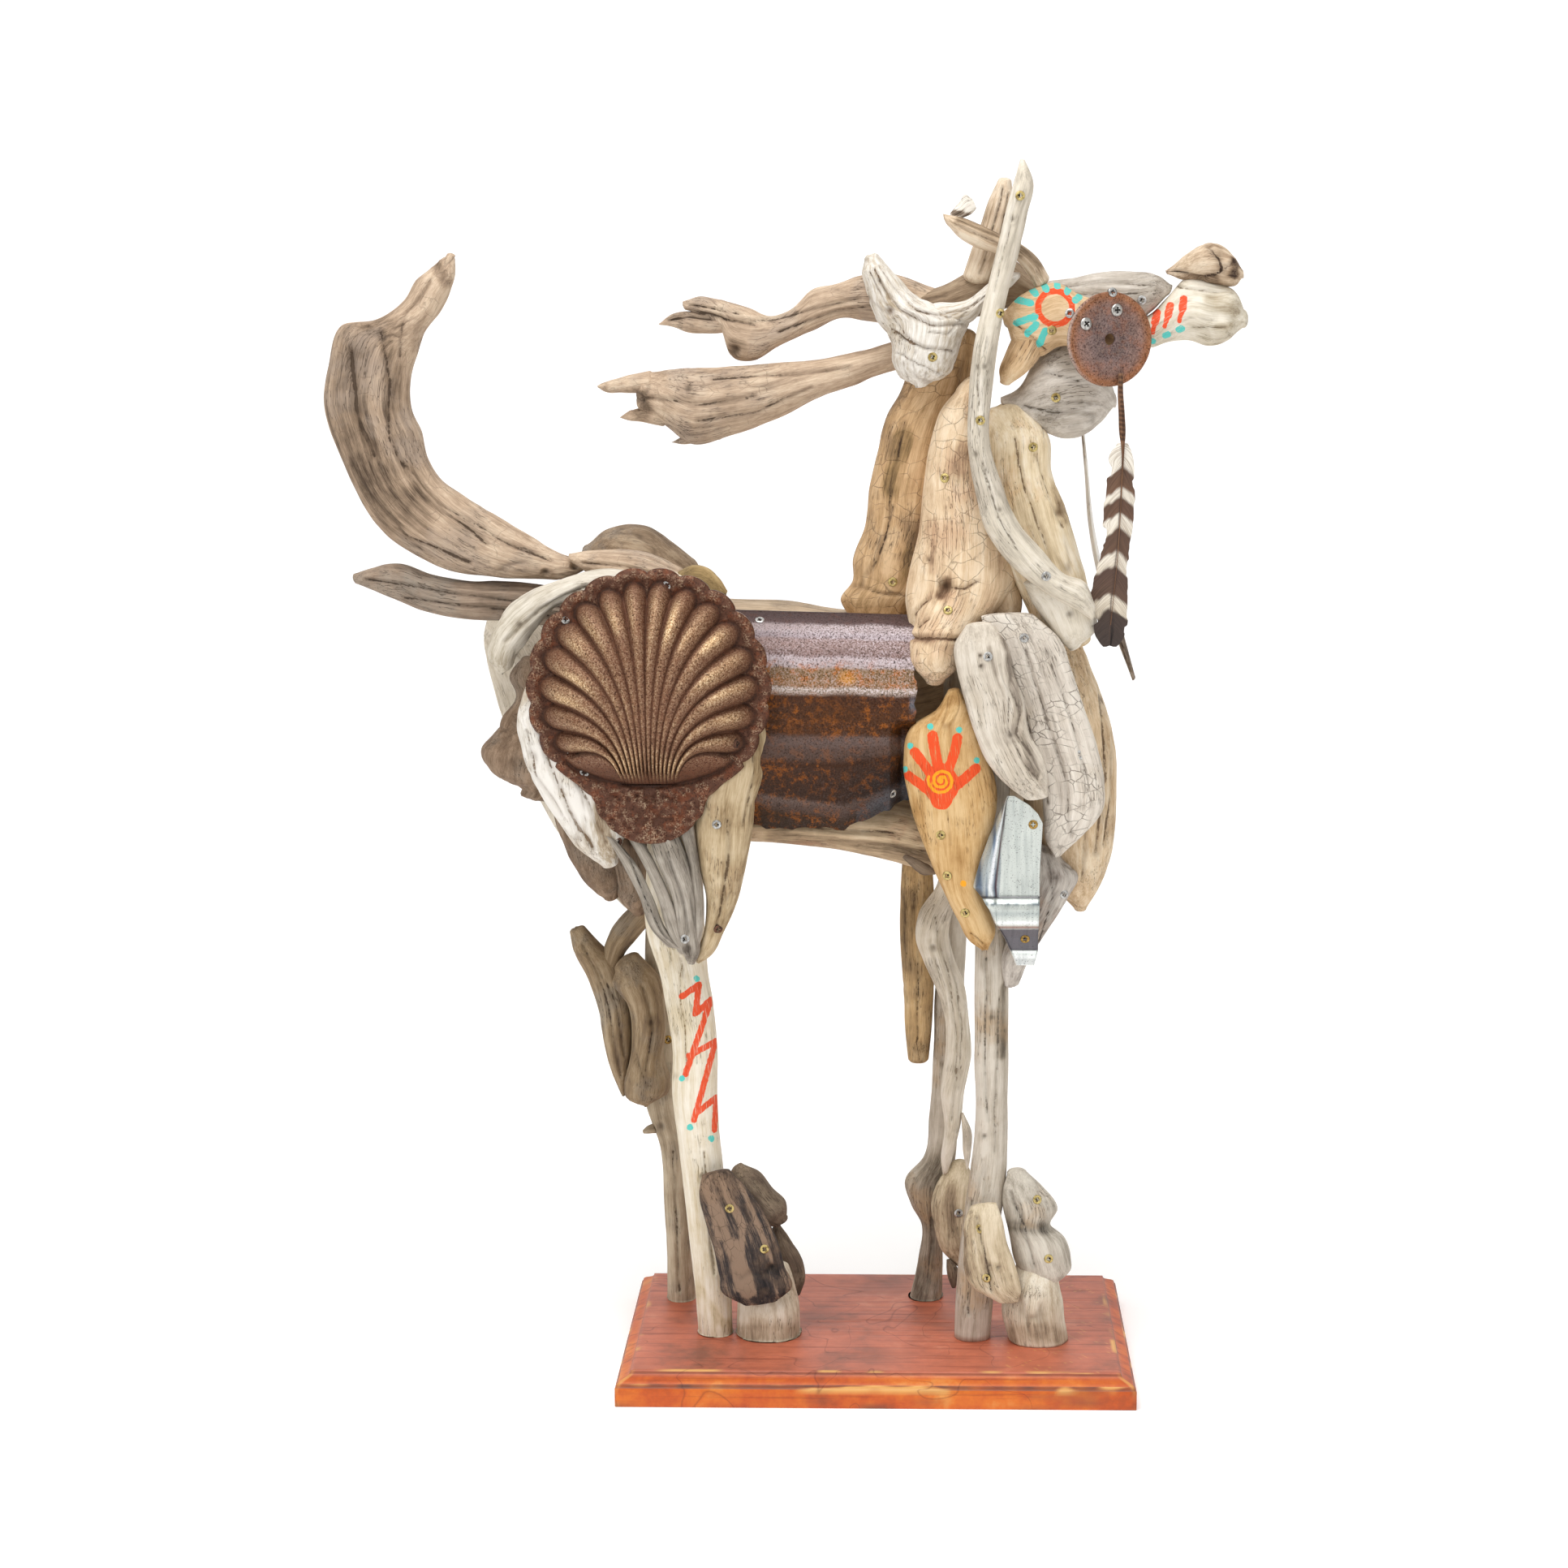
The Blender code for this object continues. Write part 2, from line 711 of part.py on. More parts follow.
timber("far_cheek_slab", "golden_driftwood", 26, (
    (1240, 385, 1240, 405, 20),
    (1262, 368, 1262, 430, 34),
    (1295, 356, 1295, 440, 42),
    (1330, 360, 1330, 436, 42),
    (1365, 370, 1365, 425, 34),
    (1395, 382, 1395, 408, 20),
))
timber("white_gnarled_root", "white_driftwood", -42, (
    (1068, 322, 1080, 314, 16),
    (1068, 345, 1106, 340, 34),
    (1073, 372, 1140, 368, 50),
    (1084, 398, 1198, 392, 58),
    (1096, 425, 1188, 420, 58),
    (1098, 448, 1179, 445, 54),
    (1110, 468, 1168, 464, 40),
    (1125, 477, 1145, 476, 16),
), branches=(
    (
        (1150, 372, 1155, 412, 46),
        (1190, 366, 1200, 396, 44),
        (1216, 347, 1222, 372, 28),
        (1240, 334, 1245, 357, 22),
        (1256, 334, 1257, 344, 12),
    ),
))
timber("ear_stump", "tan_driftwood", -17, (
    (1229, 222, 1247, 224, 20),
    (1218, 245, 1249, 248, 30),
    (1208, 275, 1243, 280, 32),
    (1196, 308, 1236, 314, 34),
    (1186, 337, 1225, 344, 32),
))
timber("poll_log", "brown_driftwood", 2, (
    (1126, 360, 1135, 400, 40),
    (1165, 348, 1180, 396, 48),
    (1200, 329, 1215, 390, 50),
    (1242, 315, 1250, 380, 50),
    (1275, 340, 1275, 385, 44),
))
timber("mane_branch", "tan_driftwood", 5, (
    (1150, 352, 1150, 405, 40),
    (1095, 336, 1100, 402, 44),
    (1060, 338, 1066, 397, 44),
    (1030, 348, 1036, 394, 40),
    (998, 356, 1003, 409, 38),
    (974, 378, 980, 420, 36),
    (948, 388, 958, 429, 36),
    (925, 379, 930, 445, 38),
    (900, 371, 900, 440, 34),
    (880, 366, 886, 405, 28),
    (860, 363, 862, 384, 20),
    (845, 368, 847, 379, 10),
), branches=(
    (
        (892, 384, 892, 410, 24),
        (868, 387, 869, 412, 20),
        (845, 386, 847, 410, 16),
        (829, 388, 833, 398, 12),
        (810, 397, 813, 403, 6),
    ),
), sides=6)
timber("mane_log", "tan_driftwood", -2, (
    (1120, 415, 1122, 452, 34),
    (1090, 423, 1092, 460, 40),
    (1044, 434, 1050, 478, 46),
    (990, 443, 1000, 496, 52),
    (944, 446, 955, 520, 56),
    (895, 449, 905, 538, 58),
    (850, 452, 850, 548, 56),
    (815, 454, 812, 530, 50),
    (788, 457, 785, 518, 44),
    (772, 464, 766, 512, 30),
), branches=(
    (
        (800, 456, 800, 486, 34),
        (770, 462, 768, 485, 26),
        (742, 470, 744, 484, 14),
        (736, 473, 737, 480, 6),
    ),
))

# Neck

timber("throat_knot", "pale_driftwood", -56, (
    (1262, 722, 1300, 712, 30),
    (1272, 745, 1345, 728, 44),
    (1288, 768, 1351, 755, 46),
    (1304, 789, 1349, 780, 40),
    (1317, 800, 1333, 793, 22),
))
timber("neck_main_log", "golden_driftwood", -30, (
    (1176, 482, 1212, 462, 40),
    (1157, 507, 1215, 505, 54),
    (1145, 545, 1216, 545, 62),
    (1137, 591, 1222, 591, 66),
    (1132, 645, 1238, 640, 70),
    (1122, 690, 1250, 690, 72),
    (1114, 730, 1252, 722, 72, -32),
    (1116, 765, 1225, 757, 74, -38),
    (1114, 795, 1192, 785, 78, -46),
    (1121, 820, 1182, 822, 68, -48),
    (1138, 837, 1166, 836, 40, -48),
))
timber("neck_front_slab", "tan_driftwood", -28, (
    (1212, 516, 1264, 500, 36),
    (1208, 540, 1292, 534, 48),
    (1208, 580, 1297, 580, 50),
    (1212, 625, 1313, 622, 54),
    (1225, 668, 1327, 668, 54),
    (1245, 710, 1339, 708, 54),
    (1262, 745, 1346, 745, 50),
    (1280, 790, 1345, 785, 40),
), squareness=2.8)
timber("neck_rear_log", "tan_driftwood", 10, (
    (1125, 425, 1205, 415, 50),
    (1107, 483, 1196, 478, 62),
    (1091, 512, 1184, 510, 68),
    (1080, 555, 1170, 555, 70),
    (1070, 602, 1162, 602, 70),
    (1064, 650, 1160, 650, 70),
    (1050, 690, 1156, 690, 68),
    (1049, 715, 1150, 718, 64),
    (1034, 738, 1140, 738, 60),
    (1044, 758, 1120, 760, 50),
))

# Feet, which stand on the plinth

timber("hind_hoof_board", "charred_driftwood", -68, (
    (864, 1450, 900, 1441, 12),
    (861, 1468, 914, 1456, 18),
    (868, 1503, 938, 1487, 20),
    (878, 1537, 956, 1522, 20),
    (886, 1572, 967, 1560, 20),
    (895, 1597, 974, 1590, 18),
    (914, 1607, 960, 1601, 12),
), squareness=BOARD)
timber("fore_hoof_plate", "tan_driftwood", -76, (
    (1195, 1487, 1229, 1483, 10),
    (1188, 1505, 1235, 1501, 16),
    (1187, 1535, 1241, 1530, 18),
    (1188, 1568, 1253, 1562, 18),
    (1200, 1588, 1259, 1590, 16),
    (1228, 1604, 1256, 1602, 10),
), squareness=BOARD)
timber("near_hind_leg", "pale_driftwood", -35, (
    (800, 718, 862, 718, 38),
    (800, 930, 862, 930, 44),
    (796, 1060, 866, 1060, 46),
    (796, 1150, 870, 1150, 46),
    (811, 1196, 873, 1194, 46),
    (820, 1241, 880, 1240, 46),
    (828, 1295, 885, 1293, 46),
    (827, 1345, 885, 1345, 46),
    (833, 1392, 887, 1390, 44),
    (841, 1455, 893, 1452, 42),
    (849, 1528, 898, 1526, 40),
    (856, 1590, 902, 1590, 38),
    (860, 1645, 904, 1645, 38),
), foot=True)
timber("near_fore_leg", "grey_driftwood", -44, (
    (1200, 790, 1246, 790, 30),
    (1200, 930, 1246, 930, 32),
    (1200, 1080, 1244, 1080, 33),
    (1200, 1200, 1243, 1200, 34),
    (1200, 1300, 1243, 1300, 34),
    (1200, 1400, 1242, 1400, 34),
    (1193, 1455, 1240, 1455, 36),
    (1184, 1515, 1232, 1515, 38),
    (1178, 1580, 1226, 1582, 38),
    (1175, 1641, 1221, 1641, 38),
), foot=True)
timber("far_hind_leg", "tan_driftwood", 70, (
    (800, 712, 840, 712, 32),
    (796, 1000, 838, 1000, 34),
    (794, 1250, 842, 1250, 38),
    (796, 1364, 846, 1364, 38),
    (812, 1410, 850, 1410, 38),
    (817, 1480, 852, 1480, 36),
    (821, 1547, 855, 1547, 36),
    (822, 1602, 858, 1602, 38),
), foot=True)
timber("far_fore_leg", "grey_driftwood", 78, (
    (1160, 800, 1200, 800, 30),
    (1158, 1010, 1196, 1010, 32),
    (1151, 1220, 1189, 1220, 32),
    (1144, 1374, 1182, 1374, 32),
    (1137, 1425, 1178, 1428, 34),
    (1114, 1455, 1172, 1458, 40),
    (1121, 1482, 1166, 1482, 38),
    (1133, 1505, 1163, 1505, 32),
    (1130, 1550, 1163, 1550, 32),
    (1119, 1600, 1162, 1600, 40),
), foot=True)
timber("hind_hoof_bark", "brown_driftwood", -44, (
    (898, 1450, 916, 1433, 18),
    (896, 1466, 934, 1441, 34),
    (912, 1492, 954, 1464, 42),
    (934, 1510, 971, 1484, 38),
    (952, 1512, 971, 1497, 20),
))
timber("hind_hoof_stump", "tan_driftwood", -36, (
    (910, 1560, 975, 1556, 30),
    (908, 1585, 982, 1583, 50),
    (907, 1612, 987, 1608, 60),
    (906, 1635, 988, 1633, 62),
    (907, 1646, 988, 1645, 64),
), foot=True)
timber("fore_hoof_grey", "grey_driftwood", -52, (
    (1240, 1446, 1266, 1443, 18),
    (1234, 1465, 1288, 1464, 32),
    (1235, 1490, 1304, 1489, 36),
    (1240, 1510, 1295, 1508, 36),
    (1244, 1530, 1312, 1524, 38),
    (1250, 1555, 1321, 1550, 38),
    (1264, 1578, 1316, 1570, 30),
    (1278, 1589, 1292, 1587, 14),
))
timber("fore_hoof_stump", "tan_driftwood", -48, (
    (1250, 1560, 1300, 1556, 40),
    (1240, 1585, 1306, 1580, 56),
    (1232, 1608, 1311, 1600, 60),
    (1236, 1632, 1314, 1628, 62),
    (1240, 1648, 1317, 1648, 64),
), foot=True)

# Far side of the legs

timber("far_twisted_root", "pale_driftwood", 44, (
    (1160, 1040, 1190, 1040, 28),
    (1152, 1092, 1182, 1092, 30),
    (1131, 1125, 1174, 1128, 32),
    (1126, 1153, 1171, 1150, 32),
    (1135, 1182, 1177, 1178, 32),
    (1152, 1218, 1189, 1212, 32),
    (1163, 1258, 1195, 1255, 32),
    (1163, 1300, 1198, 1298, 32),
    (1158, 1345, 1189, 1345, 32),
    (1162, 1390, 1184, 1390, 28),
    (1158, 1428, 1174, 1430, 22),
    (1160, 1446, 1169, 1444, 12),
))
timber("far_splint_log", "tan_driftwood", 72, (
    (1110, 1062, 1150, 1066, 26),
    (1108, 1120, 1153, 1120, 36),
    (1109, 1175, 1153, 1175, 36),
    (1113, 1225, 1151, 1225, 34),
    (1115, 1275, 1148, 1275, 30),
    (1118, 1303, 1145, 1303, 24),
))
timber("far_hoof_plate", "tan_driftwood", 48, (
    (1172, 1432, 1192, 1432, 14),
    (1156, 1453, 1200, 1450, 26),
    (1147, 1478, 1200, 1475, 30),
    (1150, 1510, 1198, 1508, 30),
    (1160, 1541, 1194, 1538, 24),
    (1176, 1558, 1188, 1557, 12),
))
timber("far_hock_knot", "brown_driftwood", 40, (
    (756, 1197, 790, 1176, 36),
    (752, 1210, 812, 1200, 50),
    (772, 1238, 821, 1236, 54),
    (777, 1270, 822, 1268, 50),
    (774, 1308, 820, 1305, 50),
    (768, 1335, 827, 1330, 50),
    (778, 1357, 817, 1354, 36),
    (792, 1363, 802, 1362, 18),
))
timber("far_hock_fork", "brown_driftwood", 55, (
    (701, 1150, 722, 1141, 20),
    (704, 1168, 740, 1160, 32),
    (721, 1202, 768, 1190, 42),
    (737, 1246, 780, 1240, 44),
    (742, 1282, 782, 1280, 42),
    (751, 1318, 780, 1318, 38),
    (764, 1350, 774, 1348, 20),
), branches=(
    (
        (738, 1178, 765, 1198, 34),
        (748, 1150, 775, 1172, 32),
        (760, 1133, 794, 1150, 30),
        (778, 1115, 815, 1128, 30),
    ),
), sides=6)

# Body

timber("buttock_knot", "brown_driftwood", 12, (
    (628, 882, 740, 880, 80),
    (608, 900, 815, 900, 104),
    (593, 918, 835, 918, 118),
    (595, 938, 835, 938, 118),
    (612, 956, 815, 956, 108),
    (640, 972, 760, 974, 70),
))
timber("thigh_rear_splint", "brown_driftwood", -4, (
    (672, 970, 800, 960, 80),
    (690, 1035, 790, 1025, 80),
    (708, 1070, 770, 1060, 66),
    (730, 1098, 770, 1090, 44),
    (742, 1107, 764, 1104, 26),
), branches=(
    (
        (740, 1035, 835, 1035, 70),
        (755, 1085, 830, 1085, 64),
        (764, 1112, 808, 1110, 46),
        (778, 1126, 796, 1124, 20),
    ),
), sides=6)
timber("croup_branch", "tan_driftwood", -20, (
    (702, 680, 706, 696, 26),
    (728, 676, 732, 712, 40),
    (768, 676, 770, 722, 48),
    (803, 681, 802, 732, 48),
    (832, 694, 828, 742, 44),
    (850, 704, 845, 748, 32),
))
timber("tail", "tan_driftwood", -6, (
    (549, 312, 563, 317, 12),
    (528, 330, 562, 343, 26),
    (513, 343, 555, 362, 34),
    (498, 369, 543, 385, 40),
    (460, 393, 524, 412, 52),
    (421, 400, 515, 437, 62),
    (404, 450, 508, 464, 64),
    (398, 495, 509, 505, 62),
    (409, 540, 522, 535, 60),
    (424, 578, 530, 565, 58),
    (442, 615, 545, 589, 56),
    (466, 652, 577, 612, 56),
    (505, 682, 620, 638, 54),
    (555, 704, 657, 661, 50),
    (615, 714, 690, 679, 46),
    (682, 716, 728, 690, 40),
))
timber("tail_lower_branch", "grey_driftwood", -4, (
    (437, 706, 440, 720, 14),
    (455, 699, 456, 727, 26),
    (490, 693, 488, 740, 34),
    (533, 706, 524, 755, 38),
    (575, 714, 570, 764, 42),
    (625, 715, 618, 766, 44),
    (700, 724, 700, 776, 48),
    (790, 740, 790, 790, 48),
))
timber("croup_knob", "grey_driftwood", 42, (
    (722, 668, 724, 700, 30),
    (742, 653, 745, 710, 66),
    (770, 645, 772, 724, 88),
    (800, 647, 802, 738, 90),
    (828, 667, 830, 742, 78),
    (853, 686, 853, 742, 50),
))
# Barrel: a pressed sheet with level folds, over a plank on top, a log below and a slab on the far side

SHEET_FOLDS = (
    (751, -38),
    (776, -62),
    (784, -64),
    (810, -74),
    (820, -75),
    (846, -77),
    (857, -81),
    (905, -81),
    (934, -88),
    (944, -88),
    (984, -80),
    (998, -79),
    (1024, -70),
)
SHEET_COLUMNS = (892, 960, 1040, 1132)


def sheet_bottom(column):
    """The row of the sheet's torn lower edge."""
    if column < 960:
        return 1012 + (column - 892) * 0.18
    if column < 1040:
        return 1024.0
    return 1024 - (column - 1040) * 0.46


def build_sheet():
    front = []
    for column in SHEET_COLUMNS:
        bottom = sheet_bottom(column)
        line = []
        for row, depth in SHEET_FOLDS:
            drop = (row - SHEET_FOLDS[0][0]) / (SHEET_FOLDS[-1][0] - SHEET_FOLDS[0][0])
            place = row if row < 900 else 900 + (row - 900) * (bottom - 900) / (SHEET_FOLDS[-1][0] - 900)
            slope = (column - SHEET_COLUMNS[0]) * 0.028 * (1 - drop)
            line.append(spot(column, place + slope, depth))
        front.append(line)
    step = Vector((0.0, SHEET_THICKNESS, 0.0))
    back = [[point + step for point in line] for line in front]
    return fit(grid_solid("body_sheet", "rusty_iron", front, back))


build_sheet()

timber("breast_grey_root", "grey_driftwood", -52, (
    (1262, 1040, 1310, 1058, 30),
    (1255, 1075, 1330, 1078, 38),
    (1248, 1110, 1317, 1108, 38),
    (1240, 1150, 1290, 1150, 36),
    (1231, 1185, 1270, 1182, 30),
    (1235, 1212, 1257, 1212, 16),
))
timber("breast_log", "golden_driftwood", -8, (
    (1270, 775, 1330, 780, 56),
    (1258, 820, 1345, 818, 80),
    (1256, 870, 1364, 868, 96),
    (1256, 920, 1376, 918, 100),
    (1258, 970, 1377, 968, 100),
    (1264, 1020, 1375, 1018, 94),
    (1280, 1065, 1368, 1062, 80),
    (1303, 1100, 1354, 1097, 56),
    (1322, 1120, 1340, 1119, 26),
))
timber("belly_log", "tan_driftwood", 10, (
    (770, 975, 768, 1020, 90),
    (840, 972, 838, 1028, 116),
    (905, 968, 903, 1033, 124),
    (960, 965, 958, 1037, 126),
    (1030, 965, 1027, 1044, 126),
    (1100, 968, 1095, 1058, 126),
    (1160, 980, 1150, 1072, 120),
    (1230, 985, 1225, 1070, 110),
    (1290, 1000, 1288, 1060, 90),
))
timber("back_plank", "tan_driftwood", 12, (
    (830, 732, 830, 762, 104),
    (905, 741, 905, 768, 112),
    (967, 743, 967, 770, 112),
    (1029, 753, 1029, 776, 108),
    (1110, 756, 1110, 782, 104),
    (1200, 772, 1200, 796, 90),
), squareness=BOARD)
timber("far_flank_log", "tan_driftwood", 90, (
    (770, 800, 770, 900, 34),
    (850, 778, 850, 940, 46),
    (950, 774, 950, 975, 52),
    (1050, 778, 1050, 985, 52),
    (1130, 786, 1130, 960, 46),
    (1215, 800, 1215, 900, 34),
))
timber("far_hip_slab", "white_driftwood", 112, (
    (600, 752, 720, 735, 26),
    (594, 785, 800, 760, 34),
    (602, 830, 850, 830, 38),
    (618, 885, 868, 900, 38),
    (650, 960, 868, 970, 38),
    (690, 1030, 860, 1040, 36),
    (740, 1090, 848, 1100, 30),
    (790, 1140, 836, 1145, 18),
), squareness=2.8)
timber("far_shoulder_slab", "tan_driftwood", 108, (
    (1150, 790, 1230, 780, 22),
    (1140, 860, 1280, 850, 34),
    (1150, 930, 1310, 920, 38),
    (1160, 1000, 1310, 990, 38),
    (1170, 1050, 1290, 1050, 34),
    (1180, 1100, 1265, 1100, 28),
    (1200, 1140, 1245, 1140, 18),
), squareness=2.8)

for cutter in fitted:
    bpy.data.objects.remove(cutter, do_unlink=True)
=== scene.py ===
"""A standing horse put together from driftwood, painted boards and rusted scrap, on a moulded plinth.

Metres, +Z up, the horse facing +X and its near side towards -Y. Each piece of wood is a ladder of
rungs, as its solid is, turned here into a close grid with grain, cracks, knots and paint.
"""

import itertools
import math

import bpy
import numpy as np
from mathutils import Matrix, Vector
from mathutils.bvhtree import BVHTree


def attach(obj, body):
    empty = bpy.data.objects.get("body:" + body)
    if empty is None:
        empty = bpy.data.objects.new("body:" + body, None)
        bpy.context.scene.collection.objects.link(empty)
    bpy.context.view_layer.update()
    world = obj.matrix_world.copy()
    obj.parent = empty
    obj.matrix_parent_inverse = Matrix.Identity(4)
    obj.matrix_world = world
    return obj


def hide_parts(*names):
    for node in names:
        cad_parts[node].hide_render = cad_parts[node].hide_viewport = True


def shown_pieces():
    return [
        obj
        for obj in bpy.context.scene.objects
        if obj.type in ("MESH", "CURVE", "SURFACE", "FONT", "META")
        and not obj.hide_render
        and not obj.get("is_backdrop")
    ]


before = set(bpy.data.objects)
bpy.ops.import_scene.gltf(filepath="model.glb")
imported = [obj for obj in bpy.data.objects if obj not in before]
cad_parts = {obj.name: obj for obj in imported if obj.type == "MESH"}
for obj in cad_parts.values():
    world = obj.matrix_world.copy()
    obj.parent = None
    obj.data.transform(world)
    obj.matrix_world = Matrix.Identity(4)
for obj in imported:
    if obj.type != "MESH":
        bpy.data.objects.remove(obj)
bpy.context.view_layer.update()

# View: the horse as it is drawn from a low stand at its near side. Columns count to the right and
# rows count down over the square picture.
SCALE = 0.99967
PLINTH_HEIGHT = 0.0315
STAND = np.array((0.032, -3.074, 1.053)) * SCALE + np.array((0.0, 0.0, PLINTH_HEIGHT))
LOOKS_DOWN = math.radians(9.52)
LOOKS_LEFT = math.radians(2.23)
LEANS = math.radians(0.40)
PICTURE_SIDE = 1932
PICTURE_MIDDLE = PICTURE_SIDE / 2
COLUMNS_AT_ONE_METRE = 4000.0
SENSOR_MM = 36.0

AHEAD = np.array((
    -math.sin(LOOKS_LEFT) * math.cos(LOOKS_DOWN),
    math.cos(LOOKS_LEFT) * math.cos(LOOKS_DOWN),
    -math.sin(LOOKS_DOWN),
))
LEVEL = np.array((math.cos(LOOKS_LEFT), math.sin(LOOKS_LEFT), 0.0))
UPRIGHT = np.cross(LEVEL, AHEAD)
ACROSS = LEVEL * math.cos(LEANS) - UPRIGHT * math.sin(LEANS)
RISE = LEVEL * math.sin(LEANS) + UPRIGHT * math.cos(LEANS)

camera_data = bpy.data.cameras.new("camera")
camera_data.sensor_width = SENSOR_MM
camera_data.lens = SENSOR_MM * COLUMNS_AT_ONE_METRE / PICTURE_SIDE
camera = bpy.data.objects.new("camera", camera_data)
bpy.context.scene.collection.objects.link(camera)
turn = Matrix((ACROSS, RISE, -AHEAD)).transposed().to_4x4()
camera.matrix_world = Matrix.Translation(Vector(STAND)) @ turn
bpy.context.scene.camera = camera

# Stage: a plain pale floor that turns up into a backdrop, lit softly from above and from both sides.
# None of it is part of the object.
FLOOR_COLOUR = "#fbfaf9"
FLOOR_HALF_WIDTH = 6.0
FLOOR_FRONT = -5.0
BACKDROP_DEPTH = 3.2
BACKDROP_HEIGHT = 4.5
BACKDROP_BEND = 1.2


def linear(code):
    """An sRGB hex colour as linear light."""
    shares = np.array([int(code[at:at + 2], 16) for at in (1, 3, 5)]) / 255
    light = np.where(shares <= 0.04045, shares / 12.92, ((shares + 0.055) / 1.055) ** 2.4)
    return (*(float(value) for value in light), 1.0)


def node(material, kind, settings=(), **links):
    """Adds a node. Its settings name its fields, its sockets or the stops of its colour ramp, and its
    links name the sockets that another socket feeds, or a node's first live output."""
    added = material.node_tree.nodes.new("ShaderNode" + kind)
    for key, value in dict(settings).items():
        if key == "stops":
            elements = added.color_ramp.elements
            while len(elements) < len(value):
                elements.new(0.5)
            for element, (position, code) in zip(elements, value):
                element.position = position
                element.color = linear(code)
        elif isinstance(key, str) and hasattr(added, key):
            setattr(added, key, value)
        else:
            added.inputs[key].default_value = value
    for key, source in links.items():
        socket = added.inputs[int(key[1:])] if key[1:].isdigit() else added.inputs[key.replace("_", " ")]
        if isinstance(source, bpy.types.Node):
            source = next(output for output in source.outputs if output.enabled)
        material.node_tree.links.new(source, socket)
    return added


def new_material(name):
    """An empty material, and the place in space that its patterns follow."""
    material = bpy.data.materials.new(name)
    material.use_nodes = True
    material.node_tree.nodes.clear()
    return material, node(material, "TexCoord").outputs["Object"]


def shown(material, settings, **links):
    """The material, once its shader has its settings and links."""
    shader = node(material, "BsdfPrincipled", settings, **links)
    node(material, "OutputMaterial", Surface=shader)
    return material


def build_stage():
    """A sheet whose profile is a straight floor, a quarter circle and a straight wall."""
    bend = np.linspace(0.0, math.pi / 2, 17)
    depth = np.concatenate([[FLOOR_FRONT], BACKDROP_DEPTH - BACKDROP_BEND * (1 - np.sin(bend)),
        [BACKDROP_DEPTH]])
    height = np.concatenate([[0.0], BACKDROP_BEND * (1 - np.cos(bend)), [BACKDROP_HEIGHT]])
    rows = len(depth)
    left = np.column_stack([np.full(rows, -FLOOR_HALF_WIDTH), depth, height])
    right = left * (-1.0, 1.0, 1.0)
    faces = [(row, row + rows, row + rows + 1, row + 1) for row in range(rows - 1)]
    mesh = bpy.data.meshes.new("studio_floor")
    mesh.from_pydata(np.concatenate([left, right]).tolist(), [], faces)
    mesh.polygons.foreach_set("use_smooth", np.ones(len(faces), bool))
    pale = linear(FLOOR_COLOUR)
    paper = shown(new_material("studio_paper")[0], {"Base Color": pale, "Roughness": 0.9,
        "Emission Color": pale, "Emission Strength": 0.22})
    mesh.materials.append(paper)
    floor = bpy.data.objects.new("studio_floor", mesh)
    bpy.context.scene.collection.objects.link(floor)
    floor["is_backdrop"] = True


def soft_light(name, place, target, size, power):
    """A square area light of that size, turned to face its target."""
    lamp = bpy.data.lights.new(name, "AREA")
    lamp.size = size
    lamp.energy = power
    holder = bpy.data.objects.new(name, lamp)
    bpy.context.scene.collection.objects.link(holder)
    facing = (Vector(target) - Vector(place)).to_track_quat("-Z", "Y")
    holder.matrix_world = Matrix.Translation(Vector(place)) @ facing.to_matrix().to_4x4()


build_stage()
soft_light("overhead_light", (-0.3, -1.0, 3.1), (0.0, 0.0, 0.6), 2.2, 72.0)
soft_light("left_light", (-2.6, -2.6, 1.7), (0.0, 0.0, 0.6), 1.8, 29.0)
soft_light("right_light", (2.8, -2.4, 1.5), (0.0, 0.0, 0.6), 1.8, 19.0)
bpy.context.scene.view_settings.view_transform = "Standard"
world = bpy.data.worlds.new("studio_air")
world.use_nodes = True
world.node_tree.nodes["Background"].inputs["Color"].default_value = linear("#ffffff")
world.node_tree.nodes["Background"].inputs["Strength"].default_value = 0.42
bpy.context.scene.world = world

# Plinth: one wide pine board under a square band, its edge worked to an ogee. It is stained
# orange-red, rubbed back to a dusty rose on top, and the horse's feet are screwed to it from below.
PLINTH_LENGTH = 0.490
PLINTH_DEPTH = 0.322
PLINTH_BAND = 0.0190
PLINTH_MOULDING_WIDTH = 0.0125
PLINTH_FILLET = 0.0015
PLINTH_GRID = 0.0025


def lumps(place, seed):
    """Smooth noise from -1 to 1: a random value at each corner of a unit lattice, eased between them."""
    cell = np.floor(place).astype(np.int64)
    share = place - cell
    share = share * share * (3 - 2 * share)
    total = np.zeros(place.shape[:-1])
    for corner in itertools.product((0, 1), repeat=3):
        at = cell + np.array(corner)
        key = at[..., 0] * 73856093 ^ at[..., 1] * 19349663 ^ at[..., 2] * 83492791 ^ seed * 2654435
        key = (key ^ key >> 13) * 1274126177 & 0x7FFFFFFF
        value = (key >> 8 & 0xFFFF) / 32767.5 - 1
        near = np.where(np.array(corner) == 1, share, 1 - share)
        total += value * near.prod(axis=-1)
    return total


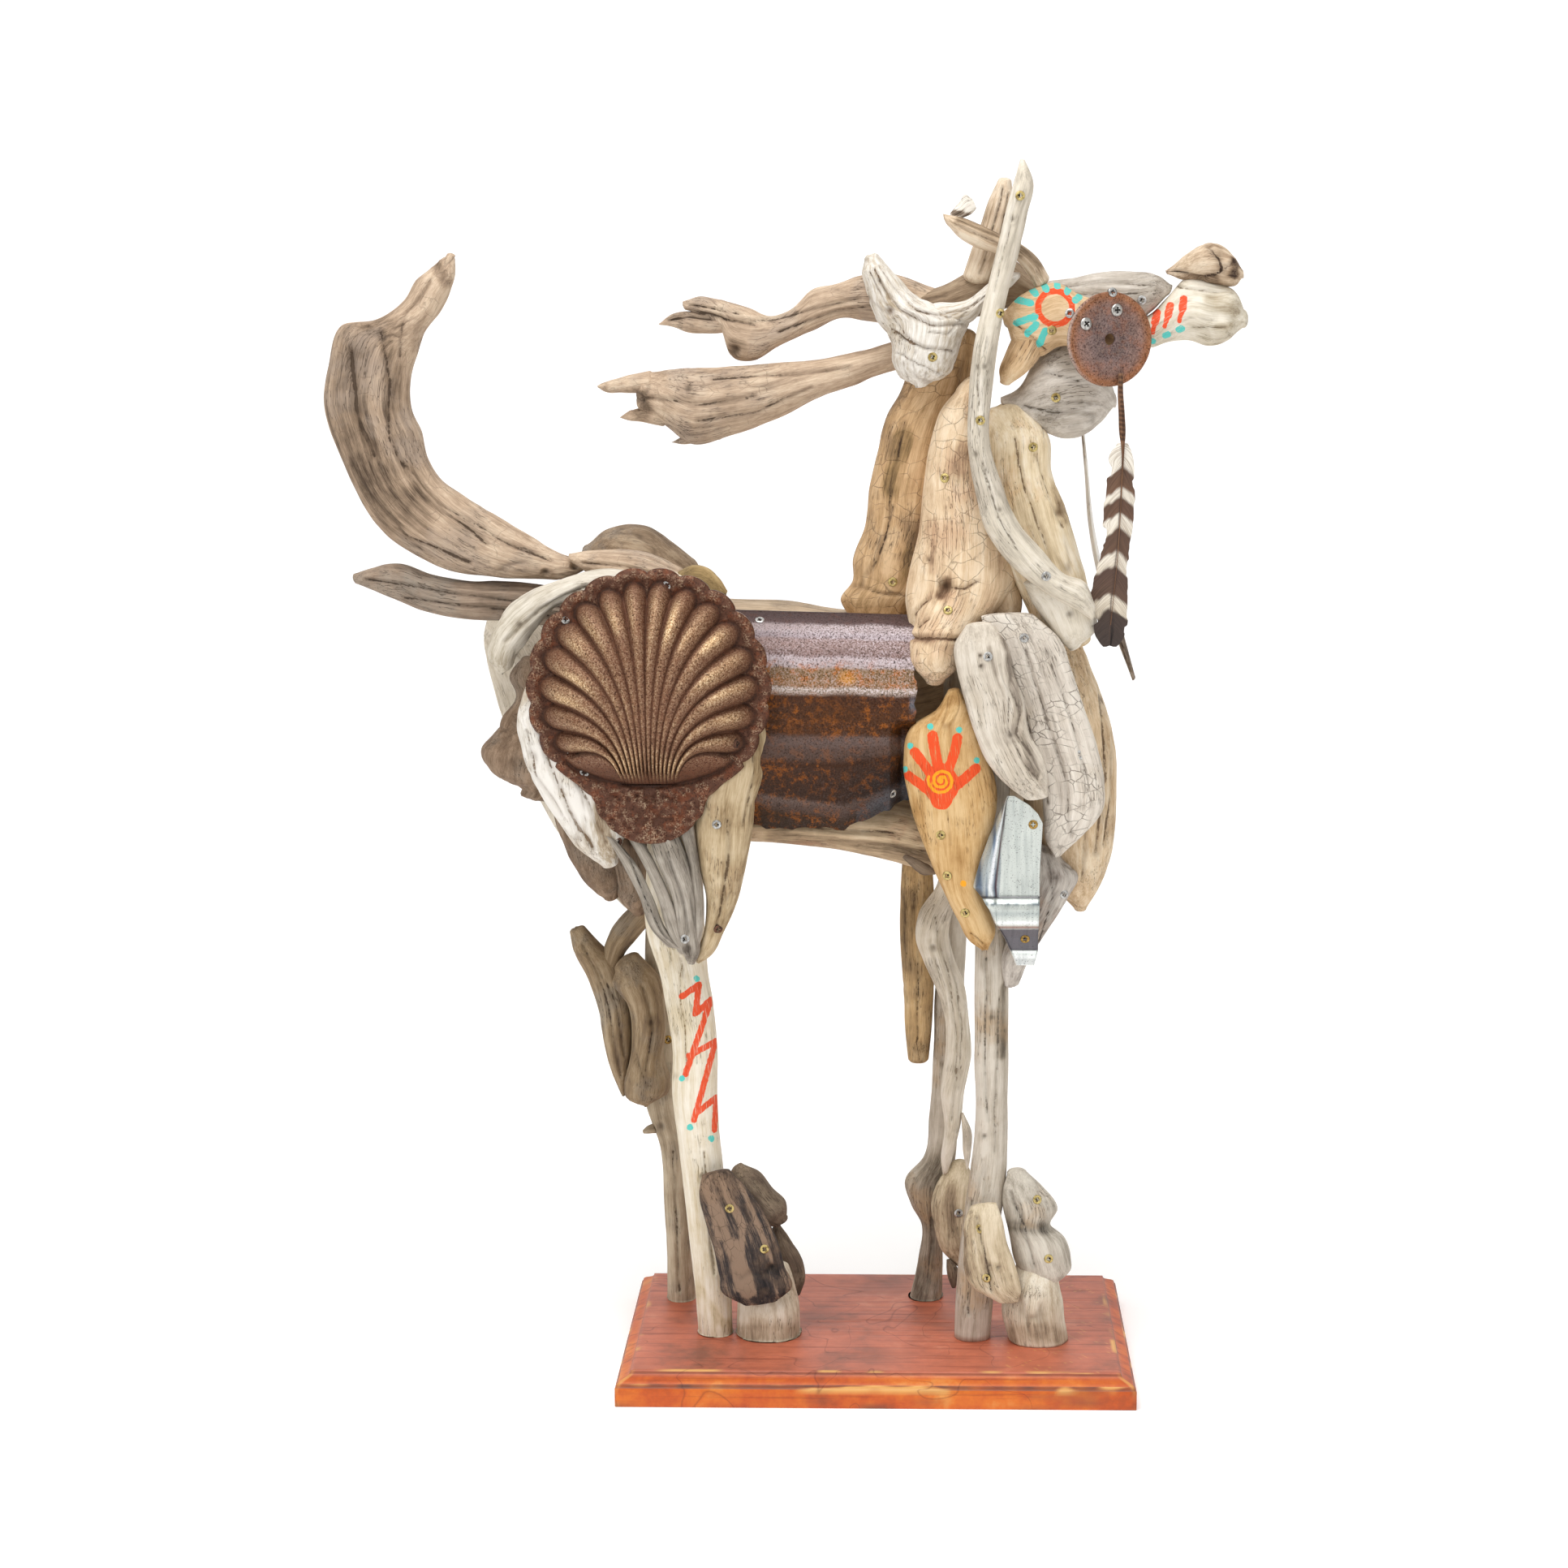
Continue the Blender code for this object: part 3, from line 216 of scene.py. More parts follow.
def mesh_piece(name, points, faces, material, **attributes):
    """A mesh object of points and faces, smooth shaded, that carries values at its points."""
    mesh = bpy.data.meshes.new(name)
    mesh.from_pydata(points.tolist(), [], faces)
    mesh.polygons.foreach_set("use_smooth", np.ones(len(mesh.polygons), bool))
    for label, values in attributes.items():
        kind = {1: "FLOAT", 3: "FLOAT_VECTOR", 4: "FLOAT_COLOR"}[1 if values.ndim == 1 else values.shape[1]]
        slot = {"FLOAT": "value", "FLOAT_VECTOR": "vector", "FLOAT_COLOR": "color"}[kind]
        stored = mesh.attributes.new(label, kind, "POINT")
        stored.data.foreach_set(slot, np.ascontiguousarray(values, np.float32).ravel())
    mesh.materials.append(material)
    piece = bpy.data.objects.new(name, mesh)
    bpy.context.scene.collection.objects.link(piece)
    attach(piece, "root")
    return piece


def ring_faces(rows, sides, start=0):
    """The quads between closed rings of points, with a lid over the first ring and over the last."""
    index = start + np.arange(rows * sides).reshape(rows, sides)
    after = np.roll(index, -1, axis=1)
    quads = np.stack([index[:-1], after[:-1], after[1:], index[1:]], axis=-1).reshape(-1, 4)
    return quads.tolist() + [index[0][::-1].tolist(), index[-1].tolist()]


def stained_pine():
    """Pine under worn orange-red stain: long grain, dark dirt and painted shade, scuffs and bare yellow
    arrises.
    """
    material, place = new_material("stained_pine")
    along = node(material, "Mapping", {"Scale": (5.0, 130.0, 130.0)}, Vector=place)
    grain = node(material, "TexNoise", {"Scale": 1.0, "Detail": 6.0, "Roughness": 0.6}, Vector=along)
    blotch = node(material, "TexNoise", {"Scale": 17.0, "Detail": 5.0, "Roughness": 0.65}, Vector=place)
    scratch = node(material, "TexNoise", {"Scale": 9.0, "Detail": 1.5, "Distortion": 1.2}, Vector=place)
    ramps = ((blotch, ((0.30, "#89503c"), (0.46, "#b36146"), (0.60, "#c46c4e"), (0.76, "#d2886a"))),
             (blotch, ((0.30, "#8f3c14"), (0.45, "#c05210"), (0.60, "#d46d18"), (0.78, "#e0a050"))),
             (grain, ((0.34, "#c7b4ac"), (0.47, "#ffffff"))),
             (scratch, ((0.495, "#ffffff"), (0.499, "#8c5a48"), (0.501, "#8c5a48"), (0.505, "#ffffff"))))
    top, band, dark, scratched = (node(material, "ValToRGB", {"stops": stops}, i0=source)
                                  for source, stops in ramps)
    height = node(material, "SeparateXYZ", Vector=place).outputs["Z"]
    low, high = PLINTH_HEIGHT - 0.006, PLINTH_HEIGHT - 0.0005
    level = node(material, "MapRange", {"From Min": low, "From Max": high}, Value=height)
    colour = node(material, "Mix", {"data_type": "RGBA"}, i0=level, i6=band, i7=top)
    colour = node(material, "Mix", {"data_type": "RGBA", "blend_type": "MULTIPLY", "Factor": 0.8},
                  i6=colour, i7=dark)
    for label, code in (("worn", "#dca35c"), ("dirt", "#6b3f2f")):
        amount = node(material, "Attribute", {"attribute_name": label}).outputs["Fac"]
        colour = node(material, "Mix", {"data_type": "RGBA", 7: linear(code)}, i0=amount, i6=colour)
    colour = node(material, "Mix", {"data_type": "RGBA", "blend_type": "MULTIPLY", "Factor": 0.5},
                  i6=colour, i7=scratched)
    bump = node(material, "Bump", {"Strength": 0.35, "Distance": 0.0006}, Height=grain)
    return shown(material, {"Roughness": 0.5}, Base_Color=colour, Normal=bump)


def build_plinth():
    """Rounded rectangles stacked up the moulding's profile, then drawn in over the top."""
    rise = PLINTH_HEIGHT - PLINTH_BAND - 2 * PLINTH_FILLET
    share = np.linspace(0.0, 1.0, 15)
    inset = PLINTH_FILLET + PLINTH_MOULDING_WIDTH * (share - np.sin(2 * math.pi * share) / 9)
    height = PLINTH_BAND + PLINTH_FILLET + rise * share
    lip = [(0.0008, 0.0), (0.0, 0.0008), (0.0, 0.007), (0.0, 0.013), (0.0, PLINTH_BAND - 0.001),
           (0.0008, PLINTH_BAND), (PLINTH_FILLET, PLINTH_BAND)]
    profile = lip + list(zip(inset, height)) + [(inset[-1], PLINTH_HEIGHT - 0.0006)]
    half_length, half_depth = PLINTH_LENGTH / 2, PLINTH_DEPTH / 2
    inward = np.arange(1, int(half_depth / PLINTH_GRID)) * PLINTH_GRID
    inward = inward[inward < half_depth - inset[-1] - 0.002]
    profile += [(inset[-1] + 0.0006 + step, PLINTH_HEIGHT) for step in inward]
    profile = np.array(profile)
    across, up = int(PLINTH_DEPTH / PLINTH_GRID), int(PLINTH_LENGTH / PLINTH_GRID)
    ones = np.ones
    edge_x = np.concatenate([np.linspace(-1, 1, up, False), ones(across), np.linspace(1, -1, up, False),
        -ones(across)])
    edge_y = np.concatenate([-ones(up), np.linspace(-1, 1, across, False), ones(up),
        np.linspace(1, -1, across, False)])
    x = edge_x[None] * (half_length - profile[:, 0:1])
    y = edge_y[None] * (half_depth - profile[:, 0:1])
    z = np.repeat(profile[:, 1:2], len(edge_x), axis=1)
    points = np.stack([x, y, z], axis=-1)
    rows, sides = x.shape
    wear = lumps(points / (0.022, 0.022, 0.006), 5)
    fine = lumps(points / (0.05, 0.004, 0.004), 7)
    scuffs = lumps(points / (0.012, 0.012, 0.012), 9)
    flat = z >= PLINTH_HEIGHT - 1e-6
    points[..., 2] -= np.where(flat, 0.0003 * np.clip(fine, 0, 1) + 0.0003 * np.clip(wear, 0, 1), 0.0)
    outer = (profile[:, 1] > PLINTH_BAND - 0.002) & (profile[:, 1] < PLINTH_BAND + 0.003)
    arris = outer[:, None] | (np.abs(z - PLINTH_HEIGHT) < 0.0009) & (profile[:, 0:1] < 0.018)
    corner = (np.abs(edge_x) > 0.985) & (np.abs(edge_y) > 0.985) & (profile[:, 0:1] < 0.016)
    worn = np.clip((wear + 0.35 * scuffs - 0.15) * 2.2, 0, 1) * arris
    worn = worn + 0.7 * corner * np.clip(wear + 0.6, 0, 1)
    stripes = np.abs(np.sin(points[..., 0] * 420 + points[..., 1] * 240)) < 0.08
    scratch = flat & (points[..., 0] > 0.11) & stripes
    worn = np.clip(worn + 0.5 * scratch * (scuffs > 0.1), 0, 1)
    # Painted shade: the crease above the band and the strip just under the top edge are darkened; the grime
    # on the top and the smudges on the band are dirt.
    crease = (profile[:, 1] >= PLINTH_BAND) & (profile[:, 1] < PLINTH_BAND + 0.0035)
    shadowed = (profile[:, 1] > PLINTH_HEIGHT - 0.0035) & (profile[:, 1] < PLINTH_HEIGHT - 0.0012)
    dirt = np.clip((0.95 * crease + 0.7 * shadowed)[:, None] * (0.8 + 0.4 * scuffs), 0, 1) * (1 - worn)
    smudges = np.clip(lumps(points / (0.05, 0.05, 0.0028), 11) * 1.8 - 0.5, 0, 0.7)
    band = (profile[:, 1] < PLINTH_BAND)[:, None] * smudges
    grime = np.clip(lumps(points / 0.06, 12) + 0.5 * wear + 0.3 * scuffs - 0.1, 0, 1)
    dirt = np.clip(dirt + 0.55 * flat * grime + band, 0, 1)
    piece = mesh_piece("plinth_board", points.reshape(-1, 3), ring_faces(rows, sides), stained_pine(),
                       worn=worn.ravel(), dirt=dirt.ravel())
    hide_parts("plinth")


build_plinth()

# Hooves that stand on the plinth: a charred board and a curl of bark over a sawn stump behind, and a
# split plate and a grey block over a stump in front, each screwed to the leg behind it.
MM = 0.001
BOARD = 3.6
ROUND = 2.2
FINE_GRID = 0.0011
PLAIN_GRID = 0.0019
HIDDEN_GRID = 0.0032
FOOT_LIFT = 0.0004
PAINT_REACH_MM = 5.0
RIFT_REACH_MM = 6.0
MM_A_COLUMN = 0.78


def spots(columns, rows, depths):
    """Points of the drawing in space: the sight line through each is followed to its depth behind the
    plinth's middle, in millimetres."""
    columns, rows, depths = np.broadcast_arrays(columns, rows, depths)
    right = ((columns - PICTURE_MIDDLE) / COLUMNS_AT_ONE_METRE)[..., None]
    down = ((rows - PICTURE_MIDDLE) / COLUMNS_AT_ONE_METRE)[..., None]
    ray = AHEAD + ACROSS * right - RISE * down
    reach = (depths * MM * SCALE - STAND[1]) / ray[..., 1]
    return STAND + ray * reach[..., None]


def pictured(points):
    """The column and row at which each point in space is drawn."""
    ray = points - STAND
    ahead = ray @ AHEAD
    columns = PICTURE_MIDDLE + COLUMNS_AT_ONE_METRE * (ray @ ACROSS) / ahead
    rows = PICTURE_MIDDLE - COLUMNS_AT_ONE_METRE * (ray @ RISE) / ahead
    return columns, rows


def through(values, along, wanted):
    """A smooth curve through the values, cubic between them, its slope at each set by its neighbours."""
    slope = np.gradient(values, along, axis=0)
    piece = np.clip(np.searchsorted(along, wanted, side="right") - 1, 0, len(along) - 2)
    width = (along[piece + 1] - along[piece])[:, None]
    share = (wanted - along[piece])[:, None] / width
    start, end = values[piece], values[piece + 1]
    leaving, arriving = slope[piece] * width, slope[piece + 1] * width
    bend = share * share * (3 - 2 * share)
    ease_out = share * (1 - share) ** 2
    ease_in = share * share * (share - 1)
    return start * (1 - bend) + end * bend + leaving * ease_out + arriving * ease_in


def tube(depth, rungs, squareness, grid, foot, twist):
    """The grid of one stick or slab.

    Its rings are squared circles between the two edges of the ladder, and its ends are domed. It
    returns the points, the outward normals, and the place of each point in the straightened wood:
    along it, across it and through it.
    """
    table = np.array([tuple(rung) if len(rung) == 6 else (*rung, depth) for rung in rungs], float)
    edge_a = spots(table[:, 0], table[:, 1], table[:, 5])
    edge_b = spots(table[:, 2], table[:, 3], table[:, 5])
    half = (edge_b - edge_a) / 2
    middle = (edge_a + edge_b) / 2
    along = np.concatenate([[0.0], np.cumsum(np.linalg.norm(np.diff(middle, axis=0), axis=1))])
    values = np.column_stack([middle, half, table[:, 4] * MM * SCALE / 2])
    count = max(4, int(along[-1] / grid) + 1)
    rings = np.linspace(0.0, along[-1], count)
    curve = through(values, along, rings)
    swell = np.ones(count)
    dome = np.sin(np.linspace(0.0, math.pi / 2, 7))[1:]
    heights = []
    for end, towards in ((0, -1), (count - 1, 1)):
        inner = curve[1] if end == 0 else curve[-2]
        ahead = curve[end, :3] - inner[:3]
        ahead = ahead / (np.linalg.norm(ahead) + 1e-9)
        size = 0.55 * min(np.linalg.norm(curve[end, 3:6]), curve[end, 6])
        cap = np.repeat(curve[end:end + 1], len(dome), axis=0)
        cap[:, :3] += ahead * (size * dome)[:, None]
        shrink = np.sqrt(np.clip(1 - dome ** 2, 0.0, 1.0))
        shrink[-1] = 0.06
        heights.append((cap, shrink, size * dome * towards))
    if not foot:
        curve = np.concatenate([curve, heights[1][0]])
        swell = np.concatenate([swell, heights[1][1]])
        rings = np.concatenate([rings, rings[-1] + heights[1][2]])
    curve = np.concatenate([heights[0][0][::-1], curve])
    swell = np.concatenate([heights[0][1][::-1], swell])
    rings = np.concatenate([heights[0][2][::-1], rings])
    wide = np.median(np.linalg.norm(curve[:, 3:6], axis=1))
    thick = np.median(curve[:, 6])
    fine = np.linspace(0.0, 2 * math.pi, 1441)
    flat = (np.abs(np.cos(fine)) ** squareness + np.abs(np.sin(fine)) ** squareness) ** (-1 / squareness)
    walk = np.hypot(np.diff(flat * np.cos(fine) * wide), np.diff(flat * np.sin(fine) * thick))
    walk = np.concatenate([[0.0], np.cumsum(walk)])
    sides = max(12, int(walk[-1] / grid))
    angle = np.interp(np.arange(sides) / sides * walk[-1], walk, fine)
    reach = (np.abs(np.cos(angle)) ** squareness + np.abs(np.sin(angle)) ** squareness) ** (-1 / squareness)
    x, y = reach * np.cos(angle), reach * np.sin(angle)
    points = curve[:, None, :3] + curve[:, None, 3:6] * (x[None] * swell[:, None])[..., None]
    points[..., 1] += curve[:, None, 6] * y[None] * swell[:, None]
    if foot:
        points[-1, :, 2] = PLINTH_HEIGHT + FOOT_LIFT
        points[..., 2] = np.maximum(points[..., 2], PLINTH_HEIGHT + FOOT_LIFT)
    downward = np.gradient(points, axis=0)
    around = np.roll(points, -1, axis=1) - np.roll(points, 1, axis=1)
    normal = np.cross(around, downward)
    normal /= np.linalg.norm(normal, axis=-1, keepdims=True) + 1e-12
    if ((points - curve[:, None, :3]) * normal).sum() < 0:
        normal = -normal
    across = x[None] * np.linalg.norm(curve[:, 3:6], axis=1)[:, None] * swell[:, None]
    inside = y[None] * curve[:, 6:7] * swell[:, None]
    turned = twist * rings[:, None]
    grain = np.stack([
        np.repeat(rings[:, None], sides, axis=1),
        across * np.cos(turned) - inside * np.sin(turned),
        across * np.sin(turned) + inside * np.cos(turned),
    ], axis=-1)
    return points, normal, grain


def from_path(columns, rows, path):
    """How far each drawn place is from a path of straight stretches, in columns."""
    path = np.array(path, float).reshape(-1, 2)
    here = np.stack([columns, rows], axis=-1)
    if len(path) == 1:
        return np.linalg.norm(here - path[0], axis=-1)
    nearest = np.full(columns.shape, 1e9)
    for start, end in zip(path[:-1], path[1:]):
        step = end - start
        share = np.clip(((here - start) @ step) / (step @ step + 1e-9), 0, 1)
        nearest = np.minimum(nearest, np.linalg.norm(here - start - share[..., None] * step, axis=-1))
    return nearest


def driftwood(node_name, wood, depth, rungs, *, relief, seed, branches=(), squareness=ROUND,
        foot=False, grid=PLAIN_GRID, twist=0.6, cracks=(), pits=(), shades=(), paints=(), standing_for=True):
    """One piece of driftwood, with its grain, cracks, knots, stains, painted shade and paint.

    The relief gives the height of the ridges, of the cracks and of the broad lumps, in millimetres.
    A crack is (half width, depth in mm, path), a pit is (column, row, radius, depth in mm), a shade
    is (strength, half width, path), darker below 0, and a paint is (colour number, half width, path),
    all of them drawn on the near side. A path is the column and the row of each of its places.
    """
    ridge, split, broad = relief
    seed = seed * 101 + len(node_name) * 7
    gathered, faces, start = {}, [], 0
    for number, limb in enumerate((rungs, *branches)):
        points, normal, grain = tube(depth, limb, squareness, grid, foot and number == 0, twist)
        grain = grain + np.array((number * 0.37 + seed * 0.013, 0.0, 0.0))
        ridges = lumps(grain / (0.050, 0.0046, 0.0046), seed)
        ridges += 0.5 * lumps(grain / (0.026, 0.0023, 0.0023), seed + 1)
        furrow = np.abs(lumps(grain / (0.070, 0.0110, 0.0110), seed + 2))
        gate = lumps(grain / (0.040, 0.026, 0.026), seed + 3)
        crevice = np.clip(1 - furrow / 0.11, 0, 1) * np.clip(2.6 * gate - 0.25, 0, 1)
        dents = lumps(grain / (0.034, 0.019, 0.019), seed + 4)
        dents += 0.4 * lumps(grain / (0.013, 0.0075, 0.0075), seed + 6)
        height = ridge * (0.26 * ridges - 0.35) + broad * (0.5 * dents - 0.6) - 0.7 * split * crevice
        # Painted shade: crevices, the valleys between ridges, the edges of cracks and the pits are darkened.
        hollow = 0.55 * crevice * min(1.0, split)
        hollow += 0.4 * np.clip(-0.5 * ridges - 0.4, 0, 1) * min(1.0, ridge)
        columns, rows = pictured(points)
        facing = np.clip((-(normal @ AHEAD) - 0.05) / 0.25, 0, 1)
        shade = 0.22 * lumps(grain / (0.080, 0.020, 0.020), seed + 5)
        rift = np.full(columns.shape, RIFT_REACH_MM)
        for half_width, deep, path in cracks:
            away = from_path(columns + 2.4 * dents + 1.2 * ridges, rows + 2.4 * gate, path)
            inside = np.clip(1.3 - away / (half_width + 0.8), 0, 1) * facing
            height -= deep * inside
            height += 0.35 * np.exp(-((away - 2.4 * half_width) / 2.0) ** 2) * facing
            hollow = np.maximum(hollow, 0.26 * np.clip(1.6 - away / (1.6 * half_width), 0, 1) * facing)
            edge = (away - 0.5 * half_width) * MM_A_COLUMN
            rift = np.minimum(rift, np.where(facing > 0.1, edge, RIFT_REACH_MM))
        for column, row, radius, deep in pits:
            away = np.hypot(columns - column, rows - row) / radius
            height -= deep * np.clip(1.2 - away, 0, 1) ** 0.7 * facing
            height += 0.5 * np.exp(-((away - 1.5) / 0.4) ** 2) * facing * np.sign(deep)
            if deep > 0:
                hollow = np.maximum(hollow, np.clip(1.3 - away, 0, 1) * facing)
                shade -= 0.35 * np.exp(-((away - 1.6) / 0.8) ** 2) * facing
        for strength, half_width, path in shades:
            away = from_path(columns + 6 * dents, rows + 6 * gate, path) / half_width
            shade += strength * np.clip(1.6 - away, 0, 1) ** 1.4 * (0.4 + 0.6 * facing)
        paint = np.full((*columns.shape, 3), -PAINT_REACH_MM)
        for colour, half_width, path in paints:
            inside = (half_width - from_path(columns, rows, path)) * MM_A_COLUMN
            inside = np.where(facing > 0.2, inside, -PAINT_REACH_MM)
            paint[..., colour] = np.maximum(paint[..., colour],
                np.clip(inside, -PAINT_REACH_MM, PAINT_REACH_MM))
        points = points + normal * (height * MM)[..., None]
        if foot and number == 0:
            points[..., 2] = np.maximum(points[..., 2], PLINTH_HEIGHT + FOOT_LIFT / 2)
        wall = ring_faces(*height.shape, start)
        inward = np.cross(points[5, 1] - points[5, 0], points[6, 0] - points[5, 0]) @ normal[5, 0] < 0
        faces += [face[::-1] for face in wall] if inward else wall
        start += height.size
        carried = {"points": points, "grain": grain, "hollow": np.clip(hollow, 0, 1),
            "shade": np.clip(shade, -1, 1), "rift": np.clip(rift, -RIFT_REACH_MM, RIFT_REACH_MM)}
        if paints:
            carried["paint"] = paint
        for label, values in carried.items():
            gathered.setdefault(label, []).append(values.reshape(-1, *values.shape[2:]))
    gathered = {label: np.concatenate(parts) for label, parts in gathered.items()}
    piece = mesh_piece(f"{node_name}_wood", gathered.pop("points"), faces, wood, **gathered)
    if standing_for:
        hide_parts(node_name)
    return piece


def weathered_wood(name, crevice, dark, middle, light, wash, wash_share, coarse=1.0, checks=0.0,
                   check_mm=(14.0, 20.0), painted=False):
    """Bare wood after years in water and sun, dull and furred, its soft grain worn away.

    Its tone drifts in patches some 30 mm wide and in soft bands along the grain, with fibres under
    1 mm over both. The wash is a second colour in patches, and checks are broken cracks across it.
    """
    material, place = new_material(name)
    grain = node(material, "Attribute", {"attribute_name": "grain"}).outputs["Vector"]
    shade, rift, hollow = (node(material, "Attribute", {"attribute_name": label}).outputs["Fac"]
                           for label in ("shade", "rift", "hollow"))
    noises = []
    for source, scale, detail, offset in (
        (grain, (11.0, 170.0 / coarse, 170.0 / coarse), 6.0, (0.0, 0.0, 0.0)),
        (grain, (75.0, 1150.0, 1150.0), 3.0, (0.0, 0.0, 0.0)),
        (grain, (17.0, 240.0, 240.0), 3.0, (3.1, 1.7, 0.4)),
        (place, (34.0, 34.0, 34.0), 6.0, (0.0, 0.0, 0.0)),
        (place, (19.0, 19.0, 19.0), 5.0, (4.0, 1.0, 2.0)),
        (place, (190.0, 190.0, 190.0), 4.0, (0.0, 0.0, 0.0)),
    ):
        at = node(material, "Mapping", {"Scale": scale, "Location": offset}, Vector=source)
        noises.append(node(material, "TexNoise", {"Scale": 1.0, "Detail": detail, "Roughness": 0.6},
            Vector=at))
    streaks, fibres, fine, mottle, patches, wander = noises
    tone = node(material, "Math", {"operation": "MULTIPLY_ADD", 1: 0.44, 2: 0.0}, i0=streaks)
    for source, weight in ((fibres, 0.26), (mottle, 0.30), (shade, 0.17)):
        tone = node(material, "Math", {"operation": "MULTIPLY_ADD", 1: weight}, i0=source, i2=tone)
    body = node(material, "ValToRGB",
        {"stops": ((0.25, crevice), (0.385, dark), (0.49, middle), (0.59, light))}, i0=tone)
    share = node(material, "MapRange", {"From Min": 0.62 - 0.3 * wash_share,
        "From Max": 0.80 - 0.3 * wash_share, "To Max": 0.7}, Value=patches)
    washed = node(material, "Mix", {"data_type": "RGBA", 7: linear(wash)}, i0=share, i6=body)
    line = node(material, "ValToRGB", {"stops": ((0.486, "#000000"), (0.496, "#ffffff"), (0.504, "#ffffff"),
                                                 (0.514, "#000000"))}, i0=fine)
    gate = node(material, "MapRange", {"From Min": 0.50, "From Max": 0.58, "To Max": 0.75}, Value=patches)
    hairs = node(material, "Math", {"operation": "MULTIPLY"}, i0=line, i1=gate)
    torn = node(material, "Math", {"operation": "MULTIPLY_ADD", 1: 3.4}, i0=wander, i2=rift)
    split = node(material, "MapRange", {"From Min": 2.0, "From Max": 1.5, "To Max": 0.9}, Value=torn)
    whole = node(material, "MapRange", {"From Min": 0.42, "From Max": 0.52, "To Min": 0.15}, Value=patches)
    split = node(material, "Math", {"operation": "MULTIPLY"}, i0=split, i1=whole)
    hairs = node(material, "Math", {"operation": "MAXIMUM"}, i0=hairs, i1=split)
    if checks:
        drift = node(material, "TexNoise", {"Scale": 120.0, "Detail": 4.0}, Vector=place).outputs["Color"]
        bent = node(material, "VectorMath", {"operation": "MULTIPLY_ADD", 1: (0.004, 0.004, 0.004)},
            i0=drift, i2=grain)
        long, wide = check_mm
        cell = node(material, "Mapping", {"Scale": (1000 / long, 1000 / wide, 1000 / wide)}, Vector=bent)
        cells = node(material, "TexVoronoi", {"feature": "DISTANCE_TO_EDGE", "Scale": 1.0,
            "Randomness": 0.9}, Vector=cell)
        thin = node(material, "MapRange", {"From Min": 0.0, "From Max": 0.42 / long, "To Min": checks,
            "To Max": 0.0}, Value=cells)
        broken = node(material, "MapRange", {"From Min": 0.42, "From Max": 0.56}, Value=mottle)
        thin = node(material, "Math", {"operation": "MULTIPLY"}, i0=thin, i1=broken)
        hairs = node(material, "Math", {"operation": "MAXIMUM"}, i0=hairs, i1=thin)
    # Painted shade: the hollows are drawn towards the crevice colour.
    deep = node(material, "Math", {"operation": "MULTIPLY", 1: 0.85, "use_clamp": True}, i0=hollow)
    colour = washed
    for amount in (hairs, deep):
        colour = node(material, "Mix", {"data_type": "RGBA", 7: linear(crevice)}, i0=amount, i6=colour)
    if painted:
        paint = node(material, "Attribute", {"attribute_name": "paint"}).outputs["Vector"]
        parts = node(material, "SeparateXYZ", Vector=paint)
        wobble = node(material, "TexNoise", {"Scale": 260.0, "Detail": 3.0}, Vector=place)
        shift = node(material, "Math", {"operation": "MULTIPLY_ADD", 1: 2.2, 2: -1.1}, i0=wobble)
        missing = node(material, "MapRange", {"From Min": 0.33, "From Max": 0.42, "To Min": 0.25,
            "To Max": 0.96}, Value=fibres)
        for axis, code in zip("XYZ", PAINTS):
            edge = node(material, "Math", {"operation": "ADD"}, i0=parts.outputs[axis], i1=shift)
            inside = node(material, "MapRange", {"From Min": -0.15, "From Max": 0.35}, Value=edge)
            cover = node(material, "Math", {"operation": "MULTIPLY"}, i0=inside, i1=missing)
            colour = node(material, "Mix", {"data_type": "RGBA", 7: linear(code)}, i0=cover, i6=colour)
    relief = node(material, "Math", {"operation": "MULTIPLY_ADD", 1: -0.8}, i0=hairs, i2=tone)
    bump = node(material, "Bump", {"Strength": 0.75, "Distance": 0.0011}, Height=relief)
    return shown(material, {"Roughness": 0.85, "Specular IOR Level": 0.3}, Base_Color=colour, Normal=bump)


PAINTS = ("#e2491d", "#4fc4bb", "#f0a320")

CHARRED = weathered_wood("charred_oak", "#100e0f", "#1f1c1d", "#3c3533", "#8c7562", "#8a705a", 0.40, 1.2,
    0.5, (12.0, 6.0))
BARK = weathered_wood("peeled_bark", "#2c221b", "#4c3f33", "#665648", "#85735f", "#9c8a72", 0.3, 1.8)
STUMP = weathered_wood("split_pine_stump", "#6b5a48", "#b5a48b", "#d3c7b1", "#e4dccb", "#b3a48c", 0.35)
PALE_PLATE = weathered_wood("split_larch", "#54463a", "#a08c72", "#c6b597", "#dccdb3", "#a08b70", 0.3)
GREY_BLOCK = weathered_wood("grey_block", "#4d463e", "#9a9183", "#bdb4a6", "#d3ccbe", "#c3a887", 0.3)

driftwood("hind_hoof_board", CHARRED, -68,
    ((864, 1450, 900, 1441, 12), (861, 1468, 914, 1456, 18), (868, 1503, 938, 1487, 20),
    (878, 1537, 956, 1522, 20), (886, 1572, 967, 1560, 20), (895, 1597, 974, 1590, 18),
    (914, 1607, 960, 1601, 12)), squareness=BOARD, relief=(0.9, 1.4, 0.8), seed=2,
    pits=((951, 1562, 5, 4.0),), shades=((2.0, 8, (902, 1540, 920, 1592)), (1.6, 6, (980, 1556, 984, 1588)),
    (1.2, 5, (870, 1460, 884, 1524)), (0.9, 3, (893, 1462, 905, 1500, 917, 1545, 928, 1592)),
    (0.8, 3, (914, 1462, 931, 1512, 949, 1560)), (0.7, 3, (880, 1475, 893, 1530, 905, 1592))))
driftwood("hind_hoof_bark", BARK, -44,
    ((898, 1450, 916, 1433, 18), (896, 1466, 934, 1441, 34), (912, 1492, 954, 1464, 42),
    (934, 1510, 971, 1484, 38), (952, 1512, 971, 1497, 20)), relief=(1.2, 2.0, 2.0), seed=3)
